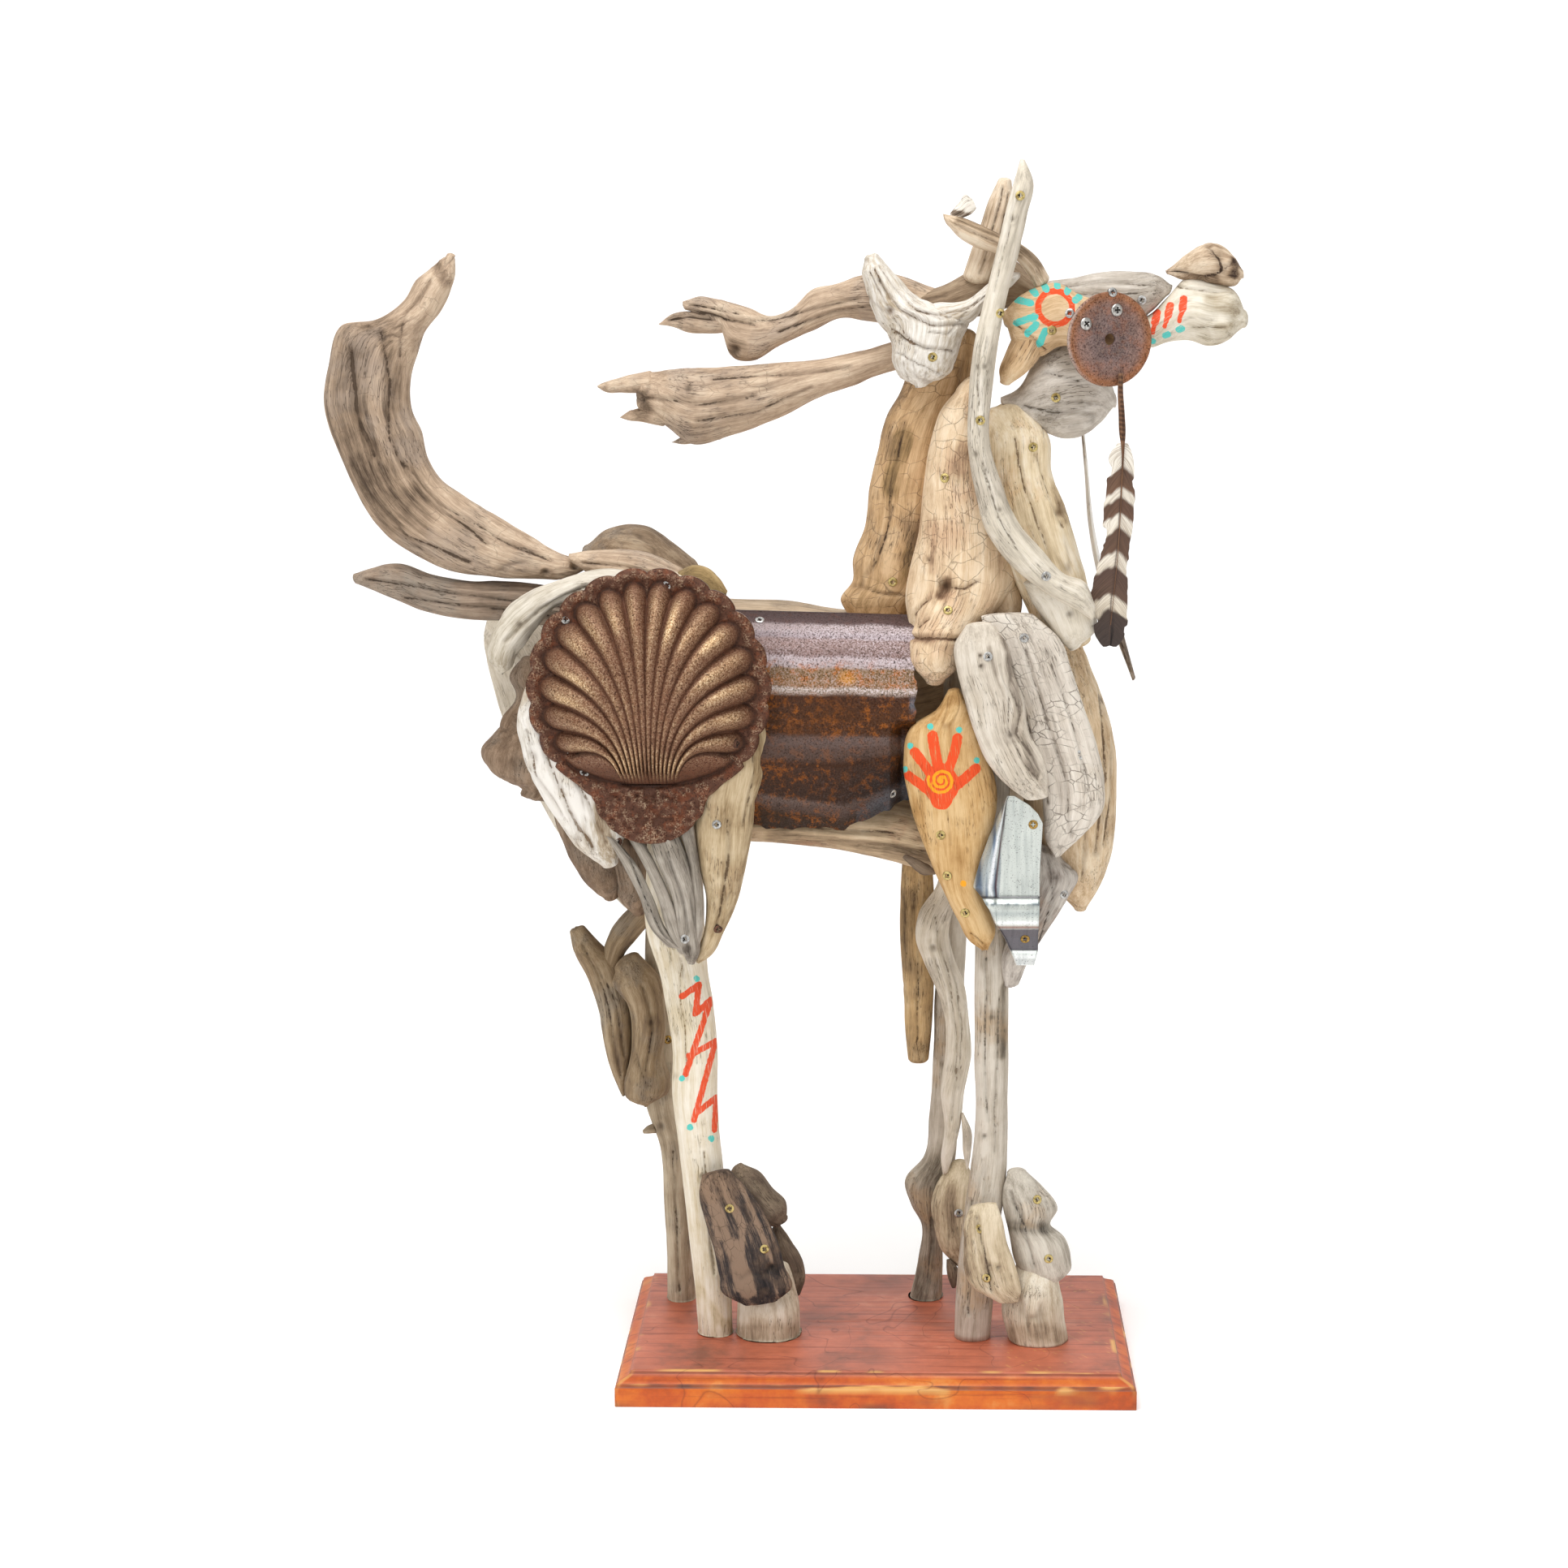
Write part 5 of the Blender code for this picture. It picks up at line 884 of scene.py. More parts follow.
driftwood("jaw", BROW, -26, ((1234, 488, 1237, 502, 20), (1254, 476, 1257, 514, 36),
    (1275, 440, 1280, 530, 46), (1305, 410, 1310, 542, 54), (1335, 410, 1335, 538, 54),
    (1358, 435, 1358, 520, 46), (1374, 483, 1372, 503, 24)), relief=(0.7, 1.8, 1.6), seed=36,
    cracks=((2, 2.2, (1262, 500, 1300, 512, 1345, 500)), (1.6, 1.8, (1290, 460, 1330, 470))))
driftwood("far_cheek_slab", BROW, 26,
    ((1240, 385, 1240, 405, 20), (1262, 368, 1262, 430, 34), (1295, 356, 1295, 440, 42),
    (1330, 360, 1330, 436, 42), (1365, 370, 1365, 425, 34), (1395, 382, 1395, 408, 20)),
    relief=(0.7, 1.6, 1.6), seed=37)
driftwood("brow_slab", BROW, -20, ((1290, 345, 1292, 372, 30), (1320, 341, 1322, 385, 46),
    (1355, 334, 1358, 400, 54), (1395, 333, 1398, 402, 54), (1425, 337, 1420, 385, 46),
    (1443, 349, 1438, 366, 24)), relief=(0.7, 1.6, 1.2), seed=38,
    cracks=((1.6, 1.8, (1310, 352, 1360, 346, 1420, 350)), (1.4, 1.4, (1330, 362, 1400, 360))))
SUN_RING = tuple((1300 + 21 * math.cos(turn), 379 + 21 * math.sin(turn))
                 for turn in np.linspace(0, 2 * math.pi, 33))
# The wood behind the near washer's hole is darkened with painted shade, here and on the snout.
driftwood("cheek_slab", CHEEK, -50,
    ((1238, 382, 1240, 402, 16), (1252, 368, 1248, 425, 30), (1278, 353, 1280, 440, 34),
    (1303, 348, 1305, 428, 34), (1330, 362, 1330, 428, 42), (1362, 372, 1362, 430, 46),
    (1392, 380, 1392, 420, 30)),
    branches=(((1252, 405, 1292, 420, 30), (1238, 436, 1276, 448, 30), (1230, 457, 1260, 464, 26),
    (1231, 469, 1246, 474, 16)),), grid=FINE_GRID, relief=(0.4, 0.9, 1.0), seed=39,
    cracks=((1.3, 1.2, (1250, 398, 1290, 430)),), pits=((1366, 418, 10, 7.0),),
    shades=((-1.5, 9, (1367, 418)), (-0.6, 6, (1236, 455, 1250, 440))),
    paints=((0, 4.0, SUN_RING), (1, 4.6, (1253, 369, 1270, 373)), (1, 4.6, (1252, 398, 1275, 390)),
    (1, 4.6, (1266, 411, 1277, 400)), (1, 4.6, (1281, 424, 1288, 408)), (1, 4.4, (1271, 356, 1276, 361)),
    (1, 4.4, (1286, 350, 1289, 356)), (1, 4.4, (1303, 346, 1303, 352)), (1, 4.4, (1318, 353, 1315, 359)),
    (1, 4.4, (1330, 365, 1325, 369))))
# The wood behind the near washer's hole is darkened with painted shade.
driftwood("snout", BONE, -28, ((1385, 385, 1385, 425, 30), (1414, 388, 1417, 429, 38),
    (1438, 366, 1440, 422, 42), (1460, 343, 1464, 420, 44), (1490, 346, 1490, 427, 46),
    (1517, 355, 1512, 421, 42), (1533, 380, 1531, 405, 26)), grid=FINE_GRID, relief=(0.35, 1.0, 1.4),
    seed=40, cracks=((1.6, 1.8, (1448, 352, 1476, 356, 1512, 360)), (1.3, 1.2, (1470, 404, 1510, 404))),
    shades=((-1.5, 9, (1367, 418)), (-0.6, 8, (1490, 372, 1520, 384)), (-0.5, 6, (1500, 405, 1524, 400))),
    pits=((1366, 418, 10, 7.0), (1480, 388, 18, -3.0), (1516, 372, 16, -3.5), (1506, 408, 14, -3.0)),
    paints=((0, 5.2, (1458, 368, 1457, 380)), (0, 3.2, (1457, 380, 1453, 396)),
    (0, 5.2, (1441, 376, 1439, 388)), (0, 3.2, (1439, 388, 1435, 402)), (0, 5.0, (1425, 385, 1423, 397)),
    (0, 3.0, (1423, 397, 1420, 410)), (1, 4.4, (1453, 407, 1456, 406)), (1, 4.4, (1436, 414, 1439, 413)),
    (1, 4.0, (1421, 421))))
driftwood("nose_tip", NOSE, -28, ((1435, 331, 1439, 341, 14), (1455, 317, 1456, 347, 28),
    (1478, 301, 1480, 350, 38), (1503, 299, 1505, 355, 40), (1521, 313, 1524, 353, 34),
    (1532, 330, 1531, 345, 18)), relief=(0.6, 1.6, 2.2), twist=5.0, seed=41,
    cracks=((3.0, 3.0, (1441, 334, 1462, 338, 1480, 346)), (3.0, 3.0, (1480, 346, 1500, 340, 1520, 324)),
    (2.4, 2.4, (1490, 304, 1502, 318, 1508, 334))), shades=((-0.9, 7, (1450, 345, 1500, 350)),
    (-1.2, 6, (1526, 322, 1524, 338))), pits=((1466, 322, 14, -3.0), (1488, 316, 16, -3.0),
    (1514, 326, 10, -2.5)))

# Mane and ears: gnarled roots and branches bolted across the poll, a hollow log behind, a white root
# in front, a stump for an ear and a bent hook for the forelock.
TAN = weathered_wood("sun_dried_tan", "#4b3c2f", "#957f69", "#b9a189", "#d2bda4", "#a08f80", 0.4, 1.0, 0.35,
    (20.0, 12.0))
POLL = weathered_wood("poll_wood", "#3c3027", "#6d5a48", "#8d7861", "#a8947b", "#9a9084", 0.35)
WHITE = weathered_wood("bleached_root", "#6f573f", "#b3a38c", "#d6cfc4", "#e9e4dc", "#bfae94", 0.35, 0.6)
EAR = weathered_wood("striped_stump", "#4f3d2d", "#a08a70", "#ccb69c", "#dfd0ba", "#7d6852", 0.4, 0.7)

driftwood("poll_log", POLL, 2, ((1126, 360, 1135, 400, 40), (1165, 348, 1180, 396, 48),
    (1200, 329, 1215, 390, 50), (1242, 315, 1250, 380, 50), (1275, 340, 1275, 385, 44)),
    relief=(0.9, 2.0, 2.0), seed=42)
driftwood("mane_branch", TAN, 5, ((1150, 352, 1150, 405, 40), (1095, 336, 1100, 402, 44),
    (1060, 338, 1066, 397, 44), (1030, 348, 1036, 394, 40), (998, 356, 1003, 409, 38),
    (974, 378, 980, 420, 36), (948, 388, 958, 429, 36), (925, 379, 930, 445, 38), (900, 371, 900, 440, 34),
    (880, 366, 886, 405, 28), (860, 363, 862, 390, 22), (842, 369, 845, 384, 13)),
    branches=(((892, 384, 892, 412, 24), (868, 384, 869, 413, 22), (845, 382, 847, 411, 18),
    (827, 386, 832, 405, 13), (810, 397, 813, 403, 6)),), relief=(0.9, 2.2, 2.0), twist=2.5, seed=43,
    cracks=((3.4, 4.0, (826, 394, 850, 389, 886, 391, 930, 399)), (1.6, 2.0, (850, 376, 884, 380, 914, 386)),
    (1.8, 2.0, (925, 395, 990, 384, 1060, 368)), (1.8, 2.0, (960, 410, 1030, 384, 1090, 376))),
    pits=((905, 432, 7, 5.0),), shades=((-0.9, 7, (905, 435)), (0.5, 6, (880, 378, 940, 396))))
driftwood("mane_log", TAN, -2, ((1120, 415, 1122, 452, 34), (1090, 423, 1092, 460, 40),
    (1044, 434, 1050, 478, 46), (990, 443, 1000, 496, 52), (944, 446, 955, 520, 56),
    (895, 449, 905, 538, 58), (850, 452, 850, 548, 56), (820, 454, 816, 524, 50), (798, 457, 792, 510, 38)),
    branches=(((800, 456, 800, 486, 34), (770, 462, 768, 485, 26), (742, 470, 744, 484, 14),
    (736, 473, 737, 480, 6)), ((822, 494, 816, 528, 32), (792, 499, 790, 522, 22), (771, 506, 773, 520, 12),
    (763, 512, 764, 517, 5)), ((894, 508, 888, 544, 30), (862, 522, 858, 549, 20), (840, 534, 842, 551, 12),
    (826, 543, 828, 548, 5))), relief=(0.9, 2.2, 2.2), twist=1.5, seed=44,
    cracks=((2.6, 3.0, (800, 492, 860, 500, 930, 490)), (2.0, 2.4, (860, 520, 930, 512, 1000, 478)),
    (2.0, 2.2, (880, 466, 960, 462, 1050, 450))), pits=((784, 494, 9, 9.0), (848, 478, 5, 2.0)),
    shades=((-1.0, 9, (786, 492, 792, 508)),))
driftwood("white_gnarled_root", WHITE, -42,
    ((1068, 322, 1080, 314, 16), (1068, 345, 1106, 340, 34), (1073, 372, 1140, 368, 50),
    (1084, 398, 1198, 392, 58), (1096, 425, 1188, 420, 58), (1098, 448, 1179, 445, 54),
    (1110, 468, 1168, 464, 40), (1125, 477, 1145, 476, 16)),
    branches=(((1150, 372, 1155, 412, 46), (1190, 366, 1200, 396, 44), (1216, 347, 1222, 372, 28),
    (1240, 334, 1245, 357, 22), (1256, 334, 1257, 344, 12)),
    ((1062, 320, 1086, 313, 24), (1058, 336, 1100, 328, 38), (1064, 356, 1115, 346, 44),
    (1070, 376, 1128, 362, 50), (1080, 398, 1148, 370, 52), (1098, 420, 1172, 384, 46))), grid=0.0015,
    relief=(2.4, 2.2, 2.4), twist=5.0, seed=45,
    cracks=((2.0, 2.4, (1082, 345, 1108, 380, 1150, 400, 1190, 400)),
    (1.1, 1.5, (1068, 334, 1084, 362, 1104, 398, 1124, 420)),
    (1.1, 1.5, (1084, 326, 1102, 352, 1128, 378, 1162, 392)), (1.1, 1.5, (1130, 380, 1172, 390, 1206, 366)),
    (1.1, 1.5, (1096, 404, 1122, 424, 1160, 436)), (1.0, 1.5, (1104, 436, 1130, 452, 1162, 462)),
    (1.0, 1.5, (1146, 408, 1170, 412, 1192, 384)), (1.8, 2.2, (1100, 410, 1140, 430, 1176, 432)),
    (1.6, 2.0, (1076, 330, 1096, 368)), (1.6, 1.8, (1160, 385, 1196, 378, 1226, 358))),
    pits=((1095, 384, 6, 2.0),))
driftwood("ear_stump", EAR, -17, ((1229, 222, 1247, 224, 20), (1218, 245, 1249, 248, 30),
    (1208, 275, 1243, 280, 32), (1196, 308, 1236, 314, 34), (1186, 337, 1225, 344, 32)), grid=0.0014,
    relief=(0.7, 1.8, 0.8), seed=46, cracks=((1.8, 2.0, (1234, 232, 1222, 290, 1208, 335)),
    (1.4, 1.8, (1242, 240, 1234, 290))))
driftwood("forelock_hook", EAR, -46,
    ((1163, 262, 1168, 280, 12), (1182, 265, 1180, 293, 18), (1205, 274, 1200, 305, 20),
    (1232, 287, 1228, 314, 22), (1260, 301, 1251, 321, 22), (1280, 318, 1265, 339, 22),
    (1293, 340, 1274, 354, 18)), grid=0.0014, relief=(0.6, 1.4, 1.0), seed=47,
    cracks=((1.6, 1.6, (1176, 277, 1220, 296, 1256, 316)),),
    shades=((-0.8, 6, (1180, 268, 1236, 290, 1284, 322)), (0.5, 5, (1180, 290, 1228, 312))))

# Haunch: slabs of bleached and tan wood over a frame of knots, with a four-stranded grey root down
# the thigh. The shell is screwed to them.
THIGH_TAN = weathered_wood("thigh_slab_wood", "#56432f", "#927b5a", "#b59f7d", "#cbb898", "#9a7c58", 0.35)
HIP_WHITE = weathered_wood("bleached_branch", "#6f614f", "#a99d89", "#cbc2b2", "#ddd5c8", "#b0a086", 0.35)
KNOT_BROWN = weathered_wood("knot_brown", "#32261d", "#5b4838", "#7a6450", "#97806a", "#8b7d6e", 0.4, 1.3)
FURROWED = weathered_wood("furrowed_grey_root", "#2c2620", "#655c52", "#958c80", "#b3aa9e", "#8d8375", 0.4)
CORK = weathered_wood("corky_knot", "#4a3a24", "#87704a", "#a98f62", "#c2aa7c", "#8c7a5c", 0.4, 1.8)

driftwood("buttock_knot", KNOT_BROWN, 12,
    ((628, 882, 740, 880, 80), (608, 900, 815, 900, 104), (593, 918, 835, 918, 118),
    (595, 938, 835, 938, 118), (612, 956, 815, 956, 108), (640, 972, 760, 974, 70)), relief=(1.2, 2.6, 3.2),
    twist=3.0, seed=48)
driftwood("rear_ridged_root", KNOT_BROWN, 4,
    ((640, 812, 680, 816, 26), (626, 832, 690, 834, 34), (634, 858, 700, 856, 38), (616, 882, 700, 880, 40),
    (612, 902, 690, 902, 34)), relief=(1.6, 3.0, 2.6), seed=49, standing_for=False)
driftwood("thigh_rear_splint", KNOT_BROWN, -4,
    ((672, 970, 800, 960, 80), (690, 1035, 790, 1025, 80), (708, 1070, 770, 1060, 66),
    (730, 1098, 770, 1090, 44), (742, 1107, 764, 1104, 26)),
    branches=(((740, 1035, 835, 1035, 70), (755, 1085, 830, 1085, 64), (764, 1112, 808, 1110, 46),
    (778, 1126, 796, 1124, 20)),), relief=(1.0, 2.2, 2.4), seed=50)
driftwood("croup_knob", POLL, 42, ((722, 668, 724, 700, 30), (742, 653, 745, 710, 66),
    (770, 645, 772, 724, 88), (800, 647, 802, 738, 90), (828, 667, 830, 742, 78), (853, 686, 853, 742, 50)),
    relief=(1.0, 2.4, 2.6), seed=51)
driftwood("croup_branch", TAN, -20, ((702, 680, 706, 696, 26), (728, 676, 732, 712, 40),
    (768, 676, 770, 722, 48), (803, 681, 802, 732, 48), (832, 694, 828, 742, 44), (850, 704, 845, 748, 32)),
    relief=(0.8, 2.0, 1.8), seed=52, cracks=((1.8, 2.0, (720, 694, 770, 698, 830, 718)),))
driftwood("croup_corky_knot", CORK, -34,
    ((838, 700, 842, 730, 26), (852, 694, 856, 736, 38), (872, 698, 872, 738, 38), (888, 712, 884, 738, 28),
    (898, 726, 894, 736, 12)), relief=(1.4, 2.4, 2.4), seed=53, standing_for=False)
driftwood("hip_branch", HIP_WHITE, -62,
    ((800, 706, 785, 760, 52), (745, 699, 730, 742, 50), (695, 711, 688, 748, 44), (652, 726, 664, 775, 36),
    (622, 747, 648, 798, 34), (603, 785, 637, 810, 30), (601, 812, 629, 826, 24), (609, 826, 622, 831, 12)),
    relief=(0.8, 2.0, 2.0), twist=2.0, seed=54, cracks=((2.2, 2.6, (780, 724, 720, 722, 666, 752, 622, 790)),
    (1.8, 2.0, (770, 744, 710, 738, 668, 770))), pits=((640, 770, 5, 1.6),))
driftwood("thigh_pale_slab", WHITE, -70,
    ((655, 826, 700, 818, 22), (642, 855, 760, 840, 40), (634, 892, 790, 880, 50), (643, 928, 800, 920, 52),
    (658, 968, 795, 965, 50), (684, 1010, 785, 1005, 46), (712, 1046, 770, 1035, 38),
    (740, 1068, 764, 1060, 22)), squareness=2.8, relief=(0.8, 2.2, 2.2), seed=55,
    cracks=((2.4, 2.8, (660, 860, 672, 930, 700, 1000, 730, 1046)),
    (2.0, 2.4, (684, 850, 692, 920, 716, 980, 748, 1040)), (1.6, 2.0, (646, 900, 660, 960, 690, 1005))),
    shades=((-0.9, 12, (736, 1000, 756, 1050)), (0.9, 30, (670, 900, 690, 990))))
driftwood("thigh_tan_slab", THIGH_TAN, -72,
    ((850, 852, 936, 852, 34), (850, 900, 947, 900, 44), (852, 945, 948, 945, 46), (854, 985, 934, 985, 46),
    (855, 1027, 928, 1027, 42), (860, 1065, 920, 1070, 40), (868, 1107, 910, 1112, 36),
    (866, 1145, 895, 1146, 30), (858, 1172, 877, 1178, 22), (856, 1184, 863, 1188, 10)), squareness=2.6,
    relief=(0.7, 1.6, 1.6), seed=56, cracks=((2.0, 2.0, (896, 1010, 898, 1070, 884, 1140)),
    (1.6, 1.8, (924, 880, 930, 950, 916, 1020))), pits=((885, 1145, 6, 1.6),),
    shades=((-0.5, 7, (940, 900, 930, 1010)),))
driftwood("thigh_grey_root", FURROWED, -84,
    ((795, 1022, 835, 1022, 20), (810, 1065, 851, 1065, 22), (827, 1108, 860, 1106, 22),
    (833, 1150, 863, 1150, 22), (841, 1176, 862, 1178, 18), (846, 1186, 857, 1187, 10)),
    branches=(((744, 1028, 760, 1034, 16), (764, 1062, 785, 1064, 18), (786, 1104, 805, 1104, 18),
    (802, 1146, 826, 1150, 18), (820, 1166, 846, 1166, 16)),
    ((768, 1026, 791, 1030, 16), (790, 1064, 809, 1064, 18), (808, 1104, 827, 1104, 18),
    (823, 1152, 845, 1154, 18), (834, 1172, 852, 1174, 14)),
    ((832, 1014, 856, 1016, 16), (847, 1060, 862, 1058, 18), (853, 1100, 867, 1100, 18),
    (854, 1140, 868, 1140, 16), (850, 1172, 862, 1174, 12))), grid=0.0015, relief=(0.6, 1.6, 1.2), seed=57,
    cracks=((1.4, 1.6, (822, 1050, 838, 1100, 848, 1150)), (1.4, 1.6, (778, 1060, 796, 1110, 820, 1156))),
    shades=((0.5, 4, (812, 1060, 832, 1130)), (-0.7, 5, (846, 1168))))

# Tail: a hollow, fissured branch that arches up and back, with a straighter one below it. Both run
# into the haunch and are pinned there.
LOWER_GREY = weathered_wood("lower_tail_wood", "#463a30", "#6f5f50", "#8f7b69", "#ab9884", "#9b9184", 0.4)

# The tail's upper arch carries a broad painted shade.
driftwood("tail", TAN, -6, ((549, 312, 563, 317, 12), (528, 330, 562, 343, 26),
    (513, 343, 555, 362, 34), (498, 369, 543, 385, 40), (460, 393, 524, 412, 52), (421, 400, 515, 437, 62),
    (404, 450, 508, 464, 64), (398, 495, 509, 505, 62), (409, 540, 522, 535, 60), (424, 578, 530, 565, 58),
    (442, 615, 545, 589, 56), (466, 652, 577, 612, 56), (505, 682, 620, 638, 54), (555, 704, 657, 661, 50),
    (615, 714, 690, 679, 46), (682, 716, 728, 690, 40)), relief=(0.8, 2.0, 2.0), twist=0.5, seed=58,
    cracks=((4.5, 6.0, (429, 433, 434, 470, 440, 520, 460, 564)),
    (2.4, 2.6, (470, 410, 482, 470, 480, 540, 520, 610, 600, 670)),
    (2.0, 2.2, (530, 345, 500, 385, 494, 440)), (2.2, 2.4, (446, 600, 500, 664, 580, 694)),
    (2.0, 2.0, (500, 570, 540, 620, 610, 660, 680, 690)), (2.6, 2.0, (536, 325, 546, 340, 556, 350))),
    pits=((672, 706, 5, 4.0), (708, 698, 5, 4.0)), shades=((-0.9, 46, (455, 430, 445, 530, 480, 610)),
    (0.6, 9, (460, 430, 466, 520, 500, 590)), (-0.6, 7, (536, 325, 556, 350))))
driftwood("tail_lower_branch", LOWER_GREY, -4,
    ((437, 706, 440, 720, 14), (455, 699, 456, 727, 26), (490, 693, 488, 740, 34), (533, 706, 524, 755, 38),
    (575, 714, 570, 764, 42), (625, 715, 618, 766, 44), (700, 724, 700, 776, 48), (790, 740, 790, 790, 48)),
    relief=(0.8, 2.0, 1.8), seed=59, cracks=((2.0, 2.2, (450, 713, 520, 724, 620, 740, 700, 748)),
    (1.6, 1.8, (500, 738, 580, 748, 680, 760))))

# Sheet: a pressed sheet of thin steel, long rusted, nailed over the barrel. Its level folds catch the
# light in bands painted into its coat as highlights, with painted glints, and its lower edge is torn to a
# slant.
SHEET_THICKNESS = 0.0020
SHEET_STRAIGHT_TO = 900
SHEET_LEFT = 892
SHEET_RIGHT = 1132
SHEET_TOP = 751
SHEET_FOOT = 1024
SHEET_FOLDS = np.array((
    (751, -38), (764, -53), (776, -62), (784, -64), (797, -71), (810, -74), (820, -75), (833, -74),
    (846, -77), (857, -81), (880, -79), (905, -81), (920, -86), (934, -88), (944, -88), (964, -83),
    (984, -80), (992, -82), (998, -79), (1010, -74), (1024, -70),
), float)
SHEET_RUST_AND_HIGHLIGHT_BANDS = ((751, "#443432"), (764, "#574443"), (768, "#a0908f"), (781, "#a6979a"), (785, "#8c746f"),
    (804, "#826a65"), (809, "#b5a5a6"), (818, "#ab9a98"), (822, "#8f7354"), (843, "#876647"),
    (847, "#ab9c8f"), (851, "#8d7a6c"), (856, "#42220a"), (880, "#48270a"), (902, "#41230a"),
    (909, "#54413a"), (932, "#4b382f"), (940, "#3a1e08"), (960, "#361c07"), (980, "#2f1806"),
    (986, "#5a4840"), (997, "#4c3a31"), (1004, "#34200c"), (1026, "#281808"))


def mottled_rust(name, orange, dark, glint, shine, scale, rough):
    """Rusted iron: the mesh carries its coat colour, with the painted highlights of the sheet and the shell
    and the shell's painted shade in it, how much orange rust blooms on it, and in the coat's alpha how
    many grains of it get a painted glint. Dark pits lie over all of it."""
    material, place = new_material(name)
    coat = node(material, "Attribute", {"attribute_name": "coat"})
    strength = node(material, "Attribute", {"attribute_name": "bloom"}).outputs["Fac"]
    colour = coat.outputs["Color"]
    patches = node(material, "TexNoise", {"Scale": scale, "Detail": 8.0, "Roughness": 0.75}, Vector=place)
    grit = node(material, "TexNoise", {"Scale": 620.0, "Detail": 4.0, "Roughness": 0.7}, Vector=place)
    for noise, low, high, weight, code in ((patches, 0.50, 0.60, strength, orange),
            (grit, 0.47, 0.36, None, dark), (grit, 0.50, 0.62, coat.outputs["Alpha"], glint)):
        share = node(material, "MapRange", {"From Min": low, "From Max": high, "To Max": 0.9}, Value=noise)
        if weight:
            share = node(material, "Math", {"operation": "MULTIPLY"}, i0=share, i1=weight)
        colour = node(material, "Mix", {"data_type": "RGBA", 7: linear(code)}, i0=share, i6=colour)
    dull = node(material, "MapRange", {"From Min": 0.35, "From Max": 0.65, "To Min": rough - 0.1,
                                       "To Max": rough + 0.2}, Value=patches)
    bump = node(material, "Bump", {"Strength": 0.7, "Distance": 0.0008}, Height=grit)
    return shown(material, {"Metallic": shine, "Specular IOR Level": 0.22}, Base_Color=colour,
        Roughness=dull, Normal=bump)


def coat_from(positions, bands):
    """The linear colour at each position, eased between the bands."""
    stops = np.array([band[0] for band in bands], float)
    colours = np.array([linear(band[1]) for band in bands])
    return np.stack([np.interp(positions, stops, colours[:, part]) for part in range(4)], axis=-1)


def tint_towards(coat, amount, code):
    """Draws the coat towards a colour, by an amount from 0 to 1 at each point: stains, and painted
    highlights, reflections and shade.
    """
    coat[..., :3] += (np.array(linear(code))[:3] - coat[..., :3]) * amount[..., None]


def walled(front, back, around=False):
    """Faces of a closed plate between two grids; with around, the grids join along their second side."""
    rows, columns = front.shape[:2]
    index = np.arange(rows * columns).reshape(rows, columns)
    other = index + rows * columns
    faces = []
    if around:
        after = np.roll(index, -1, axis=1)
        quads = np.stack([index[:-1], after[:-1], after[1:], index[1:]], axis=-1).reshape(-1, 4)
        faces += quads.tolist() + (quads[:, ::-1] + rows * columns).tolist()
        rim, rim_after = index[-1], after[-1]
        faces += np.stack([rim, rim_after, rim_after + rows * columns, rim + rows * columns],
            axis=-1).tolist()
        faces += [index[0][::-1].tolist(), other[0].tolist()]
    else:
        quads = np.stack([index[:-1, :-1], index[:-1, 1:], index[1:, 1:], index[1:, :-1]],
            axis=-1).reshape(-1, 4)
        faces += quads.tolist() + (quads[:, ::-1] + rows * columns).tolist()
        edge = np.concatenate([index[0, :-1], index[:-1, -1], index[-1, :0:-1], index[:0:-1, 0]])
        after = np.roll(edge, -1)
        faces += np.stack([edge, edge + rows * columns, after + rows * columns, after], axis=-1).tolist()
    return np.concatenate([front.reshape(-1, 3), back.reshape(-1, 3)]), faces


def facing_out(points, faces):
    """The faces, all turned round if together they enclose less than nothing."""
    quads = np.array([face for face in faces if len(face) == 4])
    one, two, three, four = (points[quads[:, corner]] for corner in range(4))
    volume = (np.cross(one, two) * three).sum() + (np.cross(one, three) * four).sum()
    return faces if volume > 0 else [face[::-1] for face in faces]


def plate(name, node_name, material, front, back, coat, around=False, bloom=None):
    """A closed plate between two grids of points, with a coat colour and its rust at each point."""
    points, faces = walled(front, back, around)
    bloom = np.zeros(coat.shape[:-1]) if bloom is None else bloom
    piece = mesh_piece(name, points, facing_out(points, faces), material,
        coat=np.concatenate([coat.reshape(-1, 4)] * 2), bloom=np.concatenate([bloom.ravel()] * 2))
    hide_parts(node_name)


def sheet_bottom(columns):
    """The row of the sheet's torn lower edge: level in the middle and slanting up to the right."""
    left = 1012 + (columns - SHEET_LEFT) * 0.18
    right = SHEET_FOOT - (columns - 1040) * 0.46
    return np.where(columns < 960, left, np.where(columns < 1040, SHEET_FOOT, right))


